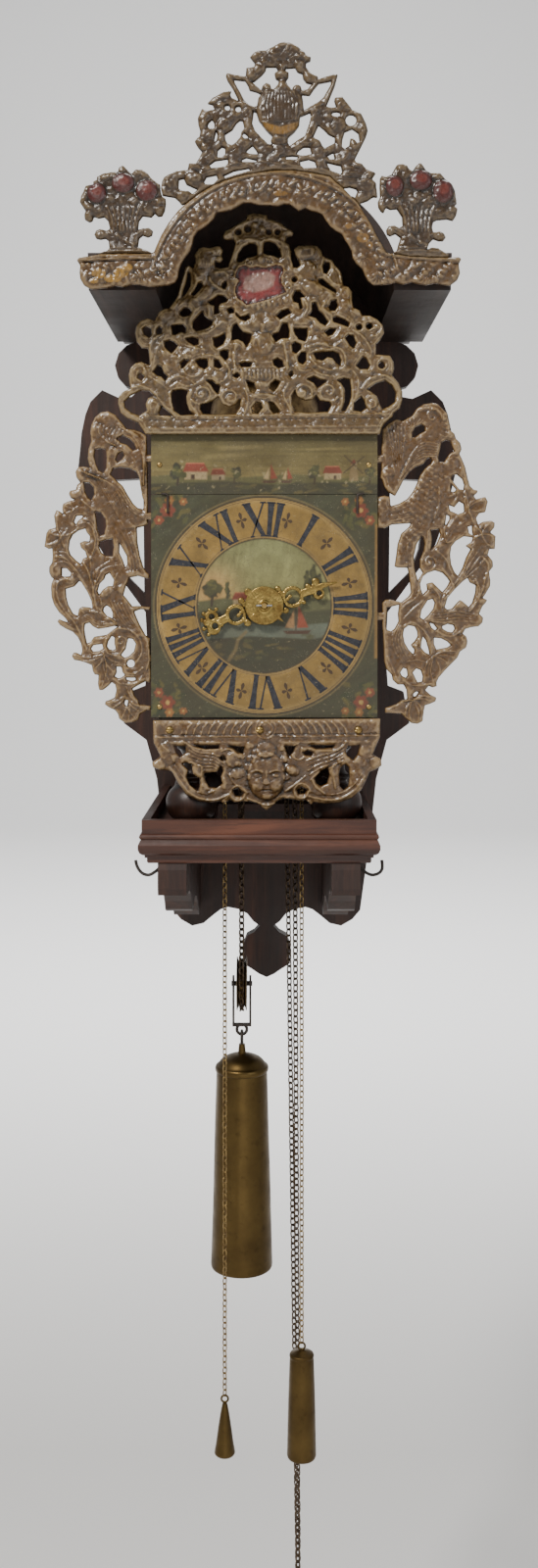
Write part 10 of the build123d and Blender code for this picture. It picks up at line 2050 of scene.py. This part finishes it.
SLOTS = {"wood_dark": ["backboard", "hood_front_board", "hood_vault", "hood_roof_boards", "hood_soffits", "hood_sides", "tray_brackets"]}

# ------------------------------------------------------------------ floor, backdrop, light, camera
def stage_mat(name, col, rough):
    m, nt, b = new_mat(name, rough, 0.0, 0.2)
    n = noise(nt, 1.2, 3, 0.5)
    L(nt, mix(nt, n, tuple(c * 0.97 for c in col), col), b.inputs["Base Color"])
    return m


FLOOR_M = stage_mat("pale_floor", (0.80, 0.79, 0.77), 0.9)
pts = []
prof = [(-9.0, -1.05), (6.0, -1.05)] + [(6.0 + 3.0 * sin(a), 1.95 - 3.0 * cos(a)) for a in np.linspace(0.1, pi / 2, 12)] + [(9.0, 9.0)]
V, F = [], []
for y, z in prof:
    V += [(-12.0, y, z), (12.0, y, z)]
for k in range(len(prof) - 1):
    F.append((2 * k, 2 * k + 1, 2 * k + 3, 2 * k + 2))
me = bpy.data.meshes.new("sweep")
me.from_pydata(V, [], F)
me.polygons.foreach_set("use_smooth", [True] * len(me.polygons))
me.materials.append(FLOOR_M)
floor = bpy.data.objects.new("sweep", me)
COL.objects.link(floor)


def area(name, loc, target, size, power, col=(1, 1, 1), size_y=None):
    d = bpy.data.lights.new(name, "AREA")
    d.shape = "RECTANGLE"
    d.size = size
    d.size_y = size_y or size
    d.energy = power
    d.color = col
    o = bpy.data.objects.new(name, d)
    COL.objects.link(o)
    from mathutils import Vector
    o.location = loc
    o.rotation_euler = (Vector(target) - Vector(loc)).to_track_quat("-Z", "Y").to_euler()
    return o


area("key", (-1.2, -1.9, 1.8), (0, -0.15, 0.05), 0.55, 84, (1.0, 0.965, 0.92))
area("fill", (2.2, -2.4, 0.5), (0, -0.15, -0.1), 1.8, 20, (0.93, 0.96, 1.0))
area("low", (0.2, -2.6, -0.85), (0, -0.15, -0.3), 1.6, 10, (1.0, 0.98, 0.95))
area("top", (0.4, 0.8, 2.4), (0, -0.1, 0.1), 1.2, 26, (1.0, 0.98, 0.95))
area("back_wash", (0.0, 2.0, 2.6), (0, 7.0, 0.6), 3.0, 480, (0.97, 0.98, 1.0))
w = bpy.data.worlds.new("studio")
w.use_nodes = True
bg = w.node_tree.nodes["Background"]
bg.inputs["Color"].default_value = (0.93, 0.94, 0.96, 1)
bg.inputs["Strength"].default_value = 0.42
SCN.world = w

cam = bpy.data.cameras.new("camera")
cam.lens = 34.6
cam.sensor_width = 36.0
cam.shift_x = -0.0016
cam.shift_y = -0.1075
cam.clip_start = 0.01
cam.clip_end = 60
co = bpy.data.objects.new("camera", cam)
co.location = (0.0055, -1.335, -0.0074)
co.rotation_euler = (pi / 2, 0, 0)
COL.objects.link(co)
SCN.camera = co

import json
